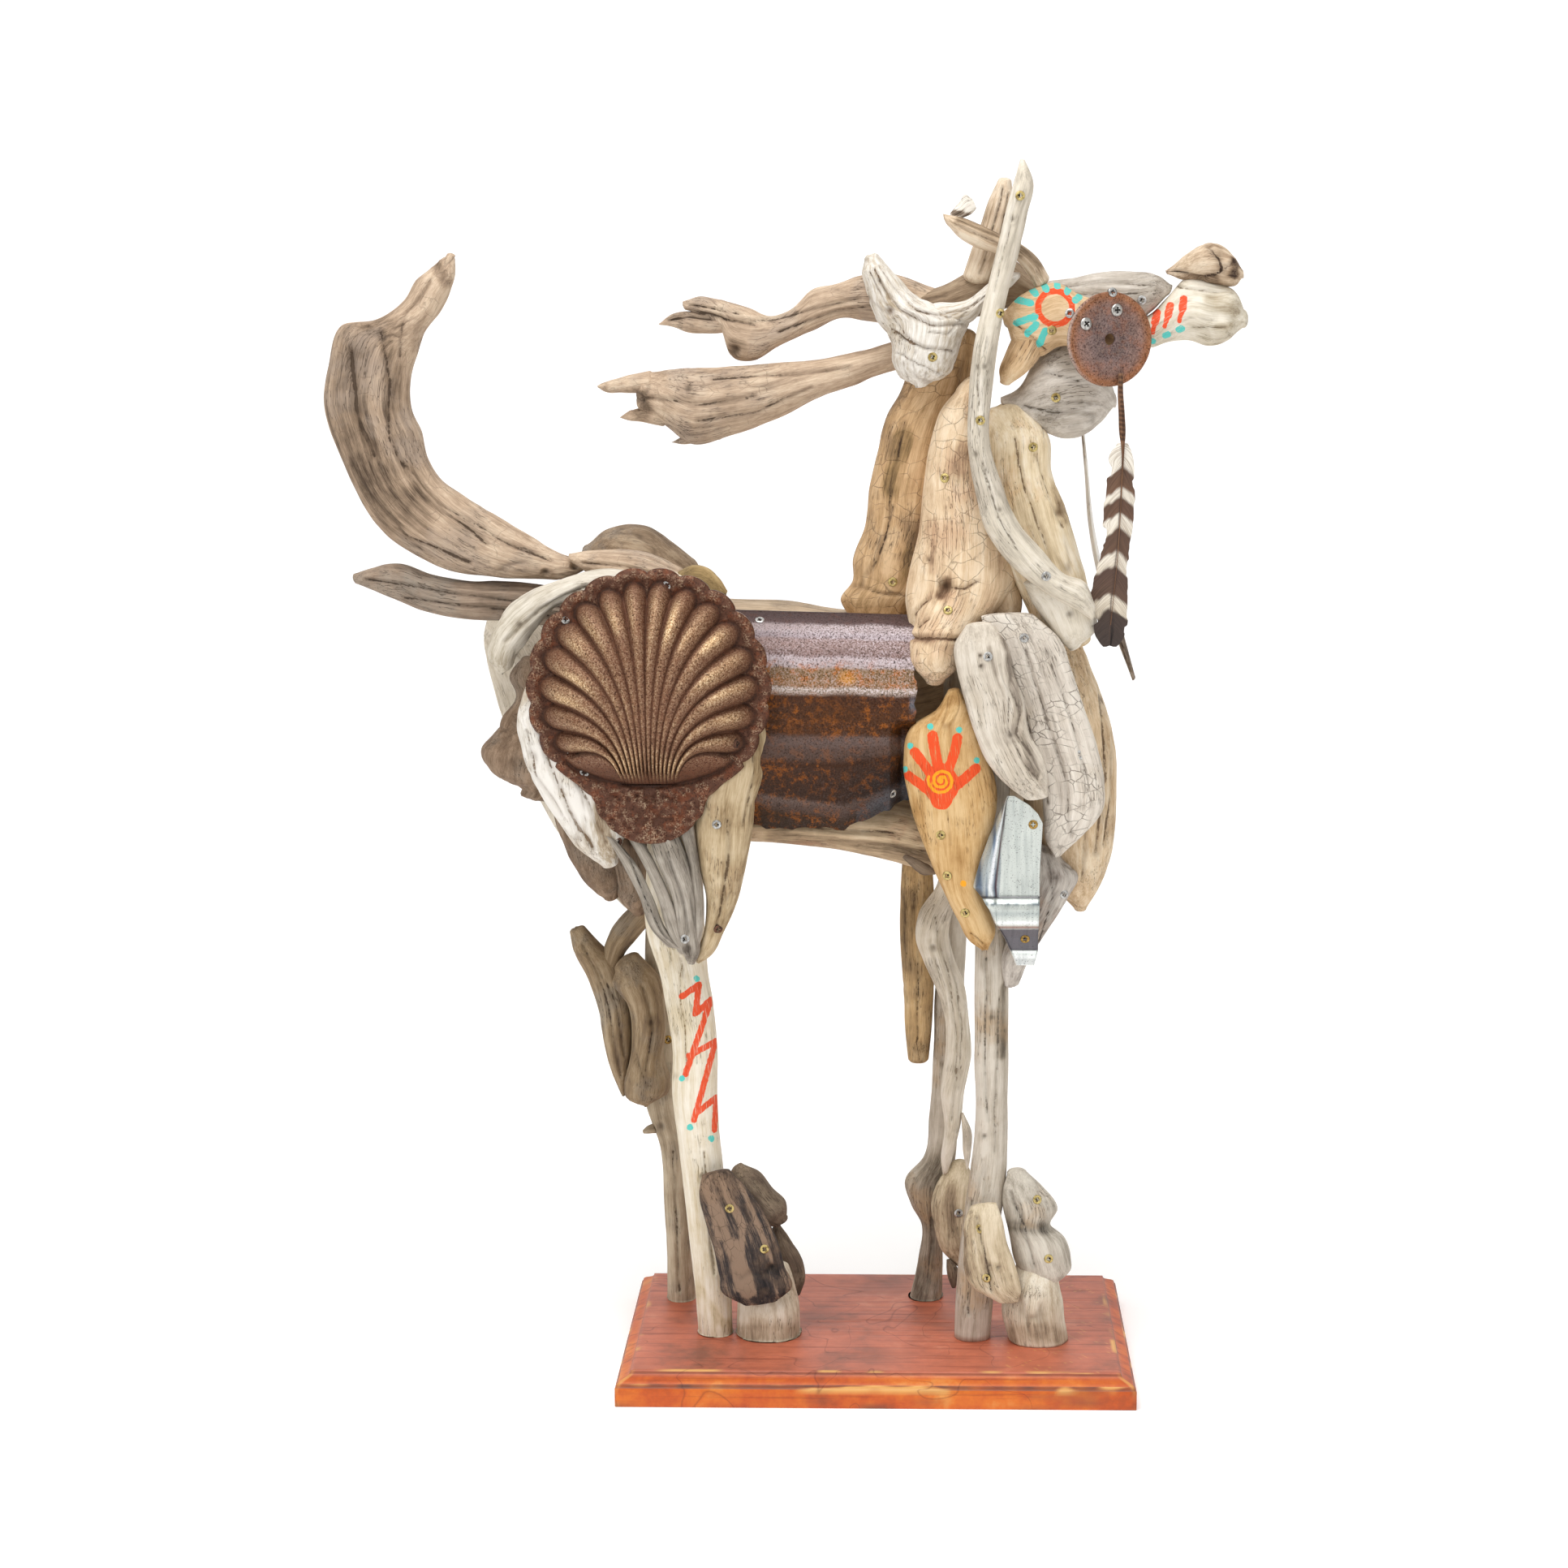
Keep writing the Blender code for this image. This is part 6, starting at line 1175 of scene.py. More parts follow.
def build_sheet():
    """The folds' depth against the row, carried along the columns, with dents and a torn edge."""
    step = 2
    columns, rows = np.meshgrid(np.arange(SHEET_LEFT, SHEET_RIGHT + 1, step),
        np.arange(SHEET_TOP, SHEET_FOOT + 1, step * 0.7))
    bottom = sheet_bottom(columns)
    drop = (rows - SHEET_TOP) / (SHEET_FOOT - SHEET_TOP)
    under = rows - SHEET_STRAIGHT_TO
    below = SHEET_STRAIGHT_TO + under * (bottom - SHEET_STRAIGHT_TO) / (SHEET_FOOT - SHEET_STRAIGHT_TO)
    place = np.where(under < 0, rows, below) + (columns - SHEET_LEFT) * 0.028 * (1 - drop)
    noise_at = np.stack([columns / 40, rows / 40, rows * 0], axis=-1)
    dents = lumps(noise_at, 301)
    ripple = lumps(noise_at * (3.0, 2.0, 1.0), 302)
    edge = np.clip((rows - 1004) / 20, 0, 1)
    place = place + edge * (3.0 * lumps(noise_at * (5.0, 0.0, 1.0), 303) - 2.0)
    side = np.clip((columns - 1118) / 14, 0, 1)
    nibbled = lumps(np.stack([rows / 9, rows * 0, rows * 0], axis=-1), 304)
    columns_now = columns - side * (3.0 + 3.0 * nibbled)
    depth = np.interp(rows + 1.5 * dents, SHEET_FOLDS[:, 0], SHEET_FOLDS[:, 1]) + 1.1 * dents + 0.4 * ripple
    tucked = np.clip((columns - 1096) / 14, 0, 1) * np.clip((rows - 884) / 12, 0, 1)
    front = spots(columns_now, place, depth + 15 * tucked)
    back = front + np.array((0.0, SHEET_THICKNESS, 0.0))
    at = rows + 1.6 * dents + 1.0 * ripple
    at = at + np.clip((rows - 975) / 10, 0, 1) * np.clip((1010 - columns) / 8 - 4, -8, 6)
    # Rust colours by row, with painted highlight bands along the fold crests and lighter painted bands where
    # the folds face up.
    coat = coat_from(at, SHEET_RUST_AND_HIGHLIGHT_BANDS)
    # Painted glints: the lighter the coat, the more grains take the glint colour, more of them to the right.
    light = coat[..., :3].mean(axis=-1)
    uneven = np.clip(0.75 + 0.5 * lumps(noise_at * (0.7, 2.0, 1.0), 306) + (columns - 1010) / 260, 0.2, 1)
    coat[..., 3] = np.clip((light - 0.06) * 4.5, 0.04, 0.9) * uneven
    bloom = np.interp(at, (806, 822, 844, 848, 858, 902, 910, 932, 940, 982, 988, 1004),
                      (0.06, 0.85, 0.75, 0.1, 0.46, 0.42, 0.12, 0.14, 0.42, 0.4, 0.15, 0.5))
    bloom *= np.clip(0.75 + 0.6 * lumps(noise_at * (1.6, 1.6, 1.0), 305), 0, 1)
    blotch = np.exp(-(((columns - 1044) / 11) ** 2 + ((rows - 832) / 9) ** 2) ** 2)
    tint_towards(coat, 0.85 * blotch, "#c98a35")
    dark_right = np.clip((columns - 1030) / 80, 0, 1) * np.clip((rows - 925) / 40, 0, 1)
    coat[..., :3] *= (1 - 0.72 * dark_right)[..., None]
    bloom *= 1 - 0.8 * dark_right
    corner = np.clip((columns - 1119) / 6, 0, 1) * np.exp(-((rows - 866) / 10) ** 2)
    steel = np.clip(corner + 0.5 * np.clip((rows - bottom + 16) / 14, 0, 1) * (columns > 1055), 0, 1)
    tint_towards(coat, 0.7 * steel * (0.6 + 0.4 * ripple), "#75808c")
    plate("sheet_metal", "body_sheet", SHEET_RUST, front, back, coat, bloom=bloom)


SHEET_RUST = mottled_rust("rusted_sheet_steel", "#c06a10", "#1d0f08", "#d3c8ce", 0.08, 130.0, 0.36)
build_sheet()

# Shell: a scallop cast in iron, rusted brown with bronze on its lobes, brightened there by painted
# highlights, with painted shade in its valleys and round its foot. Its flutes rise side by side from its
# foot and bend outwards, and screws round its rim hold it to the haunch.
SHELL_RADIUS = 0.1125
SHELL_FLANGE = 0.055
SHELL_DOME_HEIGHT = 0.040
SHELL_WALL = 0.0040
SHELL_FLUTES = 16
SHELL_HINGE = (801, 968)
SHELL_DEPTH = -92
SHELL_HINGE_TO_CENTRE = 0.0900
SHELL_FAN = math.radians(110)
SHELL_RIM_REACH = math.radians(128)
SHELL_ROOT_HALF_WIDTH = 0.026
SHELL_ROOT_RISE = 0.0015
SHELL_BEND_RISE = 0.044
SHELL_FLUTE_HEIGHT = 0.0036
SHELL_PEBBLE = 0.0040
SHELL_SIDES = 280
SHELL_STEPS = 38


def shell_rim(angle):
    """Where each flute ends: round the dome, and below it round the flange about the hinge."""
    share = np.clip(np.abs(angle) / SHELL_FAN, 0, 1)
    rim_turn = share * SHELL_RIM_REACH
    dome_up = SHELL_HINGE_TO_CENTRE + SHELL_RADIUS * np.cos(rim_turn)
    dome = np.stack([SHELL_RADIUS * np.sin(rim_turn), dome_up])
    last = math.atan2(SHELL_RADIUS * math.sin(SHELL_RIM_REACH),
                      SHELL_HINGE_TO_CENTRE + SHELL_RADIUS * math.cos(SHELL_RIM_REACH))
    below = np.clip((np.abs(angle) - SHELL_FAN) / (math.pi - SHELL_FAN), 0, 1)
    turned = last + below * (math.pi - last)
    inside = SHELL_RADIUS ** 2 - (SHELL_HINGE_TO_CENTRE * np.sin(turned)) ** 2
    circle = SHELL_HINGE_TO_CENTRE * np.cos(turned) + np.sqrt(np.clip(inside, 0, None))
    reach = np.maximum(circle, SHELL_FLANGE)
    flange = np.stack([reach * np.sin(turned), reach * np.cos(turned)])
    rim = np.where(below > 0, flange, dome)
    return rim[0] * np.sign(angle), rim[1], below


def build_shell():
    """Curves that rise from the foot and bend out to the rim, over a dome with a lobe for each flute."""
    quality = 2
    angle = np.linspace(-math.pi, math.pi, SHELL_SIDES * quality, endpoint=False)[None]
    share = np.linspace(0.0, 1.0, SHELL_STEPS * quality)[:, None]
    rim_across, rim_up, below = shell_rim(angle)
    fan = np.clip(angle / SHELL_FAN, -1, 1)
    root_across = SHELL_ROOT_HALF_WIDTH * fan * (1 - below)
    root_up = SHELL_ROOT_RISE + 0.0014 * np.cos(angle)
    above = below == 0
    straight = np.clip(below * 4, 0, 1)
    bend_across = 1.25 * root_across * (1 - straight) + (root_across + rim_across) / 2 * straight
    bend_up = (0.5 * rim_up + SHELL_BEND_RISE) * (1 - straight) + (root_up + rim_up) / 2 * straight
    lobe = np.where(above, np.abs(np.sin(math.pi * SHELL_FLUTES * (fan + 1) / 2)) ** 0.6, 0.0)
    scallop = np.where(above, lobe, 0.62 + 0.22 * np.cos(angle * 26) * (below < 0.55))
    early, middle, late = (1 - share) ** 2, 2 * share * (1 - share), share ** 2
    across = early * root_across + middle * bend_across + late * rim_across
    up = early * root_up + middle * bend_up + late * rim_up
    from_middle = np.stack([across, up - SHELL_HINGE_TO_CENTRE], axis=-1)
    push = 0.0050 * (scallop - 0.6) * np.clip((share - 0.72) / 0.28, 0, 1)
    away = np.linalg.norm(from_middle, axis=-1)
    across = across + push * from_middle[..., 0] / (away + 1e-9)
    up = up + push * from_middle[..., 1] / (away + 1e-9)
    from_centre = away / SHELL_RADIUS
    crescent = np.minimum(0.90, 0.800 + 0.10 * (across / 0.070) ** 2)
    end = np.where(above, 0.790 + 0.100 * lobe, crescent)
    end = np.where(up < 0.014, np.minimum(end, crescent), end)
    dome = np.minimum(1.0, from_centre / end)
    height = SHELL_DOME_HEIGHT * (1 - dome ** 3.0)
    carved = (2 * lobe - 1.1) * above * (0.16 + 0.84 * np.clip(1.5 * share - 0.25, 0, 1)) * (dome < 1)
    height = height + SHELL_FLUTE_HEIGHT * carved * np.clip((1 - dome) * 8, 0, 1)
    flat = np.stack([across, up, 0 * up], axis=-1)
    pebbles = lumps(flat / SHELL_PEBBLE, 401)
    grit = lumps(flat / 0.0021, 402)
    rough_rim = np.clip((from_centre - end) / 0.03, 0, 1)
    lip = np.exp(-((from_centre - 0.955) / 0.045) ** 2)
    crease = np.exp(-((from_centre - end - 0.004) / 0.020) ** 2) * (from_centre < 1.0)
    height = height + 0.0018 * lip - 0.0016 * crease + 0.0010 * pebbles * rough_rim + 0.00022 * grit
    hanging = np.clip((SHELL_ROOT_RISE - up - 0.006) / 0.004, 0, 1)
    height = height - 0.0010 * hanging + 0.0010 * hanging * pebbles
    height = height - 0.0014 * np.clip((share - 0.97) / 0.03, 0, 1) ** 2
    hinge = spots(*SHELL_HINGE, SHELL_DEPTH)
    front = hinge + np.stack([across, -(height + SHELL_WALL), up], axis=-1) * SCALE
    back_height = SHELL_DOME_HEIGHT * (1 - dome ** 3.0) * 0.95
    back = hinge + np.stack([across, -np.minimum(back_height, height + SHELL_WALL - 0.0015), up],
        axis=-1) * SCALE
    patches = lumps(flat / 0.020, 403)
    coat = np.broadcast_to(np.array(linear("#744f3b")), (*height.shape, 4)).copy()
    # Painted highlights: the bronze is brightest along each lobe's crest and towards its outer end, less on
    # the top middle lobes.
    lit = np.clip(2.4 * lobe - 1.4, 0, 1) * (0.60 + 0.40 * np.sin(math.pi * SHELL_FLUTES * (fan + 1) + 0.6))
    outer = np.exp(-((from_centre - 0.64) / 0.20) ** 2) * (1 - 0.65 * np.exp(-((fan + 0.03) / 0.13) ** 2))
    inside_rim = np.clip((0.985 - dome) * 9, 0, 1)
    bronze_and_highlight = above * lit * np.maximum(outer, 0.22 * np.clip(share * 3, 0, 1)) * inside_rim
    bronze_and_highlight = np.clip(bronze_and_highlight * (1.0 + 0.9 * patches), 0, 1)
    # Painted shade: darker in the valleys between lobes, in the crease round the dome, between the rim's
    # pebbles and towards the foot.
    valley = np.clip(0.75 - 1.5 * lobe, 0, 1) * above * (dome < 1)
    foot = np.clip(1 - (up - SHELL_ROOT_RISE) / 0.024, 0, 1) * (dome < 1)
    dark = 0.40 * valley + 0.80 * crease + 0.35 * rough_rim * np.clip(0.2 - pebbles, 0, 1) + 0.45 * foot
    dark = np.clip(dark, 0, 0.95)
    for amount, code in ((0.90 * bronze_and_highlight, "#d3ab7c"), (0.45 * rough_rim, "#4d2e26"), (dark, "#2a1812")):
        tint_towards(coat, amount, code)
    # Painted glints: their grains gather on the bronze highlights and the rim's pebbles.
    coat[..., 3] = np.clip(0.16 + 0.95 * bronze_and_highlight + 0.30 * rough_rim * np.clip(pebbles, 0, 1) - dark, 0, 0.9)
    bloom = 0.35 * rough_rim + 0.12
    plate("cast_shell", "shell", SHELL_IRON, front, back, coat, around=True, bloom=bloom)


SHELL_IRON = mottled_rust("rusted_cast_iron", "#8a4a2b", "#2a1710", "#f6e2bc", 0.30, 90.0, 0.40)
build_shell()

# Eyes: a large rusty washer on each cheek, held by two pan-head screws, its middle bare and dark, and the
# wood seen through the near one's hole darkened with painted shade.
DISC_DIAMETER = 0.086
DISC_HOLE = 0.0105
DISC_THICKNESS = 0.0030
DISC_TURN = math.radians(24)
NEAR_DISC = (1367, 418, -74)
FAR_DISC = (1342, 408, 54)
WASHER_IRON = mottled_rust("rusted_washer_steel", "#a8623a", "#3a231c", "#c9a790", 0.3, 90.0, 0.5)


def build_washer(name, node_name, place, turned):
    """A flat ring turned about the upright axis: its profile runs out over the front and back again."""
    centre = spots(*place)
    face = np.array((math.sin(turned), -math.cos(turned), 0.0))
    along = np.array((math.cos(turned), math.sin(turned), 0.0))
    outer, inner, half = DISC_DIAMETER / 2, DISC_HOLE / 2, DISC_THICKNESS / 2
    radius = np.concatenate([[inner, inner, inner + 0.0005], np.linspace(inner + 0.002, outer - 0.0012, 26),
                             [outer - 0.0004, outer, outer, outer - 0.0004],
                             np.linspace(outer - 0.0012, inner + 0.002, 26), [inner + 0.0005]])
    level = np.concatenate([[-half * 0.7, half * 0.7, half], np.full(26, half),
        [half * 0.8, half * 0.4, -half * 0.4, -half * 0.8], np.full(26, -half), [-half]])
    angle = np.linspace(0, 2 * math.pi, 120, endpoint=False)
    flat = along * np.cos(angle)[:, None] + np.array((0.0, 0.0, 1.0)) * np.sin(angle)[:, None]
    pitted = lumps(np.stack([radius[:, None] * np.cos(angle), radius[:, None] * np.sin(angle),
                             np.sign(level)[:, None] + 0 * angle[None]], axis=-1) / (0.006, 0.006, 1.0), 501)
    height = level[:, None] + np.sign(level)[:, None] * 0.00022 * pitted
    points = centre + flat[None] * radius[:, None, None] + face * height[..., None]
    rows, sides = height.shape
    index = np.arange(rows * sides).reshape(rows, sides)
    down, right = np.roll(index, -1, axis=0), np.roll(index, -1, axis=1)
    faces = np.stack([index, right, np.roll(down, -1, axis=1), down], axis=-1).reshape(-1, 4).tolist()
    share = np.clip(radius / outer, 0, 1)
    coat = coat_from(share, ((0.10, "#5f504f"), (0.45, "#74625f"), (0.75, "#80645b"), (0.92, "#93603f"),
        (1.0, "#8f644b")))
    coat = np.repeat(coat[:, None], sides, axis=1)
    coat[..., :3] *= (1 + 0.3 * pitted)[..., None]
    steel = np.clip((share[:, None] - 0.93) / 0.05, 0, 1) * np.clip(-np.cos(angle)[None] * 1.4 - 0.5, 0, 1)
    tint_towards(coat, 0.7 * steel, "#b9b2ad")
    coat[..., 3] = 0.25
    points = points.reshape(-1, 3)
    piece = mesh_piece(name, points, facing_out(points, faces), WASHER_IRON, coat=coat.reshape(-1, 4),
                       bloom=np.full(len(points), 0.32))
    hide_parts(node_name)


build_washer("near_eye_washer", "eye_disc", NEAR_DISC, DISC_TURN)
build_washer("far_eye_washer", "far_eye_disc", FAR_DISC, math.pi - DISC_TURN)

# Bracket: a strip of chromed steel, bent and dulled, with a rolled left edge and a folded foot. Two
# brass screws hold it to the breast. Its reflections, highlights and the shade along its fold are painted
# into its coat.
BRACKET_THICKNESS = 0.0022
BRACKET_FOLD_ROW = 1106
BRACKET_ROWS = np.array((
    (981, 1241, 1250, -91), (992, 1236, 1268, -91), (1003, 1231, 1279, -91), (1015, 1226, 1285, -91),
    (1030, 1219, 1284, -91), (1060, 1208, 1282, -91), (1080, 1202, 1281, -91), (1093, 1199, 1281, -91),
    (1105, 1209, 1281, -91), (1108, 1211, 1281, -94), (1114, 1214, 1281, -98), (1121, 1219, 1281, -99),
    (1138, 1226, 1280, -98), (1142, 1229, 1280, -96), (1155, 1237, 1279, -90), (1170, 1244, 1279, -86),
    (1174, 1246, 1278, -88), (1182, 1249, 1276, -91), (1190, 1252, 1274, -92),
), float)
BRACKET_ROLL = np.array(((0.0, 6), (0.10, 1), (0.22, -3), (0.36, -5), (0.44, -2), (0.48, 1), (0.56, 0),
    (1.0, 0)), float)


def dulled_chrome():
    """Chrome plate gone cloudy: a dull mirror in long scratched streaks under the painted reflections,
    highlights and shade of its coat.
    """
    material, place = new_material("dulled_chrome")
    coat = node(material, "Attribute", {"attribute_name": "coat"}).outputs["Color"]
    streaks_at = node(material, "Mapping", {"Scale": (300.0, 60.0, 22.0), "Rotation": (0.0, 0.13, 0.0)},
        Vector=place)
    streaks = node(material, "TexNoise", {"Scale": 1.0, "Detail": 4.0}, Vector=streaks_at)
    specks = node(material, "TexNoise", {"Scale": 900.0, "Detail": 2.0}, Vector=place)
    tint = node(material, "ValToRGB", {"stops": ((0.35, "#b9c0c2"), (0.55, "#ffffff"))}, i0=streaks)
    colour = node(material, "Mix", {"data_type": "RGBA", "blend_type": "MULTIPLY", "Factor": 0.35},
                  i6=coat, i7=tint)
    speck = node(material, "MapRange", {"From Min": 0.62, "From Max": 0.70, "To Max": 0.7}, Value=specks)
    colour = node(material, "Mix", {"data_type": "RGBA", 7: linear("#3d3438")}, i0=speck, i6=colour)
    cloud = node(material, "MapRange", {"To Min": 0.22, "To Max": 0.48}, Value=streaks)
    return shown(material, {"Metallic": 0.5}, Base_Color=colour, Roughness=cloud)


def build_bracket():
    """Each row runs from its left edge over a raised roll to its flat right edge."""
    rows = np.arange(981, 1191, 1.5)
    left, right, depth = (np.interp(rows, BRACKET_ROWS[:, 0], BRACKET_ROWS[:, part]) for part in (1, 2, 3))
    share = np.linspace(0.0, 1.0, 49)
    roll_end = np.minimum(1240.0 - (rows - 986) * 0.075, right)
    turn_at = 0.56
    roll_end = np.maximum(roll_end, left + 2)
    over = left[:, None] + (roll_end - left)[:, None] * np.minimum(share / turn_at, 1.0)
    rest = np.clip((share - turn_at) / (1 - turn_at), 0, 1)
    columns = over + (right - roll_end)[:, None] * rest
    flattened = np.where(rows < BRACKET_FOLD_ROW, 1.0, 0.25)[:, None]
    lift = np.interp(share, BRACKET_ROLL[:, 0], BRACKET_ROLL[:, 1])[None] * flattened
    crinkle = lumps(np.stack([columns / 30, rows[:, None] / 22 + 0 * columns, 0 * columns], axis=-1), 601)
    front = spots(columns, rows[:, None] + 0 * columns, depth[:, None] + lift - 5.0 + 0.5 * crinkle)
    back = front + np.array((0.0, BRACKET_THICKNESS, 0.0))
    coat = np.broadcast_to(np.array(linear("#d3d8d2")), (*columns.shape, 4)).copy()
    roll = (share < turn_at)[None] & (rows < BRACKET_FOLD_ROW)[:, None]
    reflection_stripes = lumps(np.stack([columns / 3.2, rows[:, None] / 70 + 0 * columns, 0 * columns], axis=-1), 602)
    level = rows[:, None]
    # Painted light in the coat: bluish reflected stripes down the roll, a highlight on its crest and a dark
    # reflection at its turn, painted shade along the fold, and bands of painted reflection and highlight
    # down the foot.
    for amount, code in (
        (roll * np.clip(0.45 + 0.9 * reflection_stripes, 0, 1), "#68788c"),
        (roll * np.exp(-((share[None] - 0.36) / 0.05) ** 2), "#f4f6f8"),
        (roll * np.exp(-((share[None] - 0.47) / 0.022) ** 2), "#55282e"),
        (np.exp(-((level - BRACKET_FOLD_ROW) / 1.8) ** 2), "#3e3a40"),
        (np.exp(-((level - 1114) / 2.5) ** 2) * (0.5 + 0.5 * reflection_stripes), "#6f7a80"),
        (np.exp(-((level - 1126) / 4.0) ** 2) * 0.5, "#8f9a9c"),
        (np.exp(-((level - 1137) / 2.5) ** 2), "#f4f6f4"),
        (np.exp(-((level - 1142.5) / 1.2) ** 2), "#8b5a44"),
        (np.clip((level - 1143) / 3, 0, 1) * np.clip((1173 - level) / 3, 0, 1) * 0.9, "#4d454f"),
        (np.clip((level - 1174) / 3, 0, 1), "#e9ebe8"),
    ):
        tint_towards(coat, np.clip(np.broadcast_to(amount, columns.shape), 0, 1), code)
    coat[..., 3] = 1.0
    plate("chrome_strip", "chrome_bracket", dulled_chrome(), front, back, coat)


build_bracket()

# Feathers: a barred wing feather hangs from each eye. Its quill is bound with brown twine, and its
# vane is split at the foot.
FEATHER_BANDS = ((548, "#e9e4da"), (571, "#e4ddd0"), (576, "#5b3f2c"), (597, "#6a4a33"), (601, "#e6dfd2"),
    (609, "#e2dacb"), (613, "#5a3d2a"), (629, "#654631"), (633, "#e6dfd2"), (646, "#dfd6c6"),
    (650, "#553a28"), (675, "#614430"), (680, "#e2dacc"), (693, "#dbd1c0"), (698, "#50372a"),
    (729, "#5c4231"), (733, "#ddd4c4"), (747, "#d3c8b5"), (751, "#3e2c22"), (800, "#33241c"))
VANE = np.array(((543, 1378, 1388), (553, 1368, 1394), (562, 1366, 1397), (610, 1361, 1398),
    (640, 1359, 1396), (665, 1359, 1391), (700, 1349, 1390), (722, 1344, 1389), (750, 1345, 1389),
    (775, 1349, 1388), (790, 1356, 1381), (798, 1362, 1373)), float)
VANE_TOP = 546
VANE_FOOT = 797
RACHIS = np.array(((460, 1382), (543, 1384), (610, 1381), (680, 1376), (740, 1369), (798, 1367)), float)


def barbed_vane():
    """A bird's vane: silky barbs that sweep out and down, barred white and brown by the mesh's coat."""
    material = new_material("barred_vane")[0]
    coat = node(material, "Attribute", {"attribute_name": "coat"}).outputs["Color"]
    grain = node(material, "Attribute", {"attribute_name": "grain"}).outputs["Vector"]
    barbs_at = node(material, "Mapping", {"Scale": (1100.0, 40.0, 1.0)}, Vector=grain)
    barbs = node(material, "TexNoise", {"Scale": 1.0, "Detail": 3.0}, Vector=barbs_at)
    tint = node(material, "ValToRGB", {"stops": ((0.36, "#b5a798"), (0.55, "#ffffff"))}, i0=barbs)
    colour = node(material, "Mix", {"data_type": "RGBA", "blend_type": "MULTIPLY", "Factor": 0.8},
                  i6=coat, i7=tint)
    bump = node(material, "Bump", {"Strength": 0.6, "Distance": 0.0004}, Height=barbs)
    return shown(material, {"Roughness": 0.6, "Sheen Weight": 0.2}, Base_Color=colour, Normal=bump)


def build_vane(name, depth, side):
    """A thin blade between two edges, its barbs drawn by lines that sweep out and down from the quill."""
    rows = np.arange(VANE_TOP, VANE_FOOT, 1.6)
    left, right = (np.interp(rows, VANE[:, 0], VANE[:, part]) for part in (1, 2))
    quill = np.interp(rows, RACHIS[:, 0], RACHIS[:, 1])
    share = np.linspace(-1.0, 1.0, 37)[None]
    ragged = lumps(np.stack([rows / 6, rows * 0, rows * 0], axis=-1), 701)
    notch = np.clip(lumps(np.stack([rows / 14, rows * 0, rows * 0], axis=-1), 702) * 3 - 1.3, 0, 1)
    half_left = (quill - left) * (1 - 0.05 * ragged - 0.25 * notch)
    half_right = (right - quill) * (1 + 0.05 * ragged - 0.15 * notch[::-1])
    columns = quill[:, None] + np.where(share < 0, half_left[:, None] * share, half_right[:, None] * share)
    eased = np.clip((rows - VANE_TOP) / 30, 0, 1) * np.clip((VANE_FOOT + 15 - rows) / 60, 0, 1)
    sweep = 16.0 * np.abs(share) ** 1.3 * eased[:, None]
    split = np.clip((rows - 752) / 30, 0, 1)[:, None] * np.exp(-((share - 0.15) / 0.10) ** 2)
    down = rows[:, None] + sweep * 0.6
    barbs = lumps(np.stack([(rows[:, None] - sweep) / 2.2, 3 * share + 0 * rows[:, None], 0 * columns],
        axis=-1), 703)
    through = depth + side * (2.0 * np.abs(share) ** 1.5 + 0.25 * barbs + 2.5 * split)
    front = spots(columns, np.minimum(down, VANE_FOOT), through - 0.3)
    back = front + np.array((0.0, 0.0009, 0.0))
    uneven = lumps(np.stack([columns / 5, 0 * columns, 0 * columns], axis=-1), 704)
    coat = coat_from(rows[:, None] - 0.35 * sweep + 3.0 * uneven, FEATHER_BANDS)
    line = np.exp(-(share / 0.045) ** 2) + 0 * coat[..., 0]
    tint_towards(coat, 0.9 * line, "#4a3426")
    coat[..., :3] *= (1 - 0.6 * split)[..., None]
    points, faces = walled(front, back)
    grain = np.stack([(rows[:, None] - sweep) * 0.0008, share * 0.02 + 0 * columns, 0 * columns], axis=-1)
    piece = mesh_piece(name, points, facing_out(points, faces), FEATHER_VANE,
        coat=np.concatenate([coat.reshape(-1, 4)] * 2), grain=np.concatenate([grain.reshape(-1, 3)] * 2))
    return piece


FEATHER_VANE = barbed_vane()
TWINE = weathered_wood("brown_waxed_twine", "#2e2018", "#5a4030", "#7a5941", "#96735a", "#6a4b36", 0.3, 0.5)
PALE_VANE = weathered_wood("pale_feather", "#3a2d24", "#8d7c6b", "#e6dfd3", "#f2eee6", "#d8cebf", 0.3, 0.5)
near_vane = build_vane("near_feather_vane", -74, 1)
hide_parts("feather_pendant")
driftwood("near_feather_quill", TWINE, -75, ((1378, 461, 1384, 461, 4), (1377, 480, 1384, 480, 6),
    (1378, 510, 1386, 510, 7), (1379, 535, 1387, 535, 7), (1381, 548, 1386, 548, 5),
    (1381, 600, 1383, 600, 2), (1377, 680, 1378, 680, 1.6), (1368, 770, 1369, 770, 1)), grid=0.0008,
    relief=(0.1, 0.0, 0.1), seed=71, standing_for=False,
    shades=tuple((-1.0, 1.6, ((1378, row), (1388, row + 2))) for row in range(464, 545, 6)))
far_quill = driftwood("far_feather_quill", PALE_VANE, 62,
    ((1327, 452, 1331, 452, 4), (1331, 520, 1335, 520, 4), (1336, 580, 1341, 580, 16),
    (1340, 640, 1347, 639, 28), (1350, 700, 1358, 696, 30), (1368, 765, 1378, 758, 28),
    (1395, 838, 1399, 834, 8)), grid=0.0011, relief=(0.2, 0.2, 0.2), seed=72,
    shades=((0.9, 14, (1336, 580, 1350, 700)), (-1.0, 10, (1372, 760, 1398, 838))), standing_for=False)
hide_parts("far_feather")
driftwood("forelock_feather_scrap", PALE_VANE, -47,
    ((1171, 262, 1174, 270, 3), (1181, 250, 1188, 268, 4), (1191, 240, 1199, 262, 4),
    (1198, 245, 1203, 257, 2)), grid=0.0011, relief=(0.2, 0.2, 0.2), seed=73,
    shades=((-1.0, 4, (1178, 263, 1194, 264)),), standing_for=False)

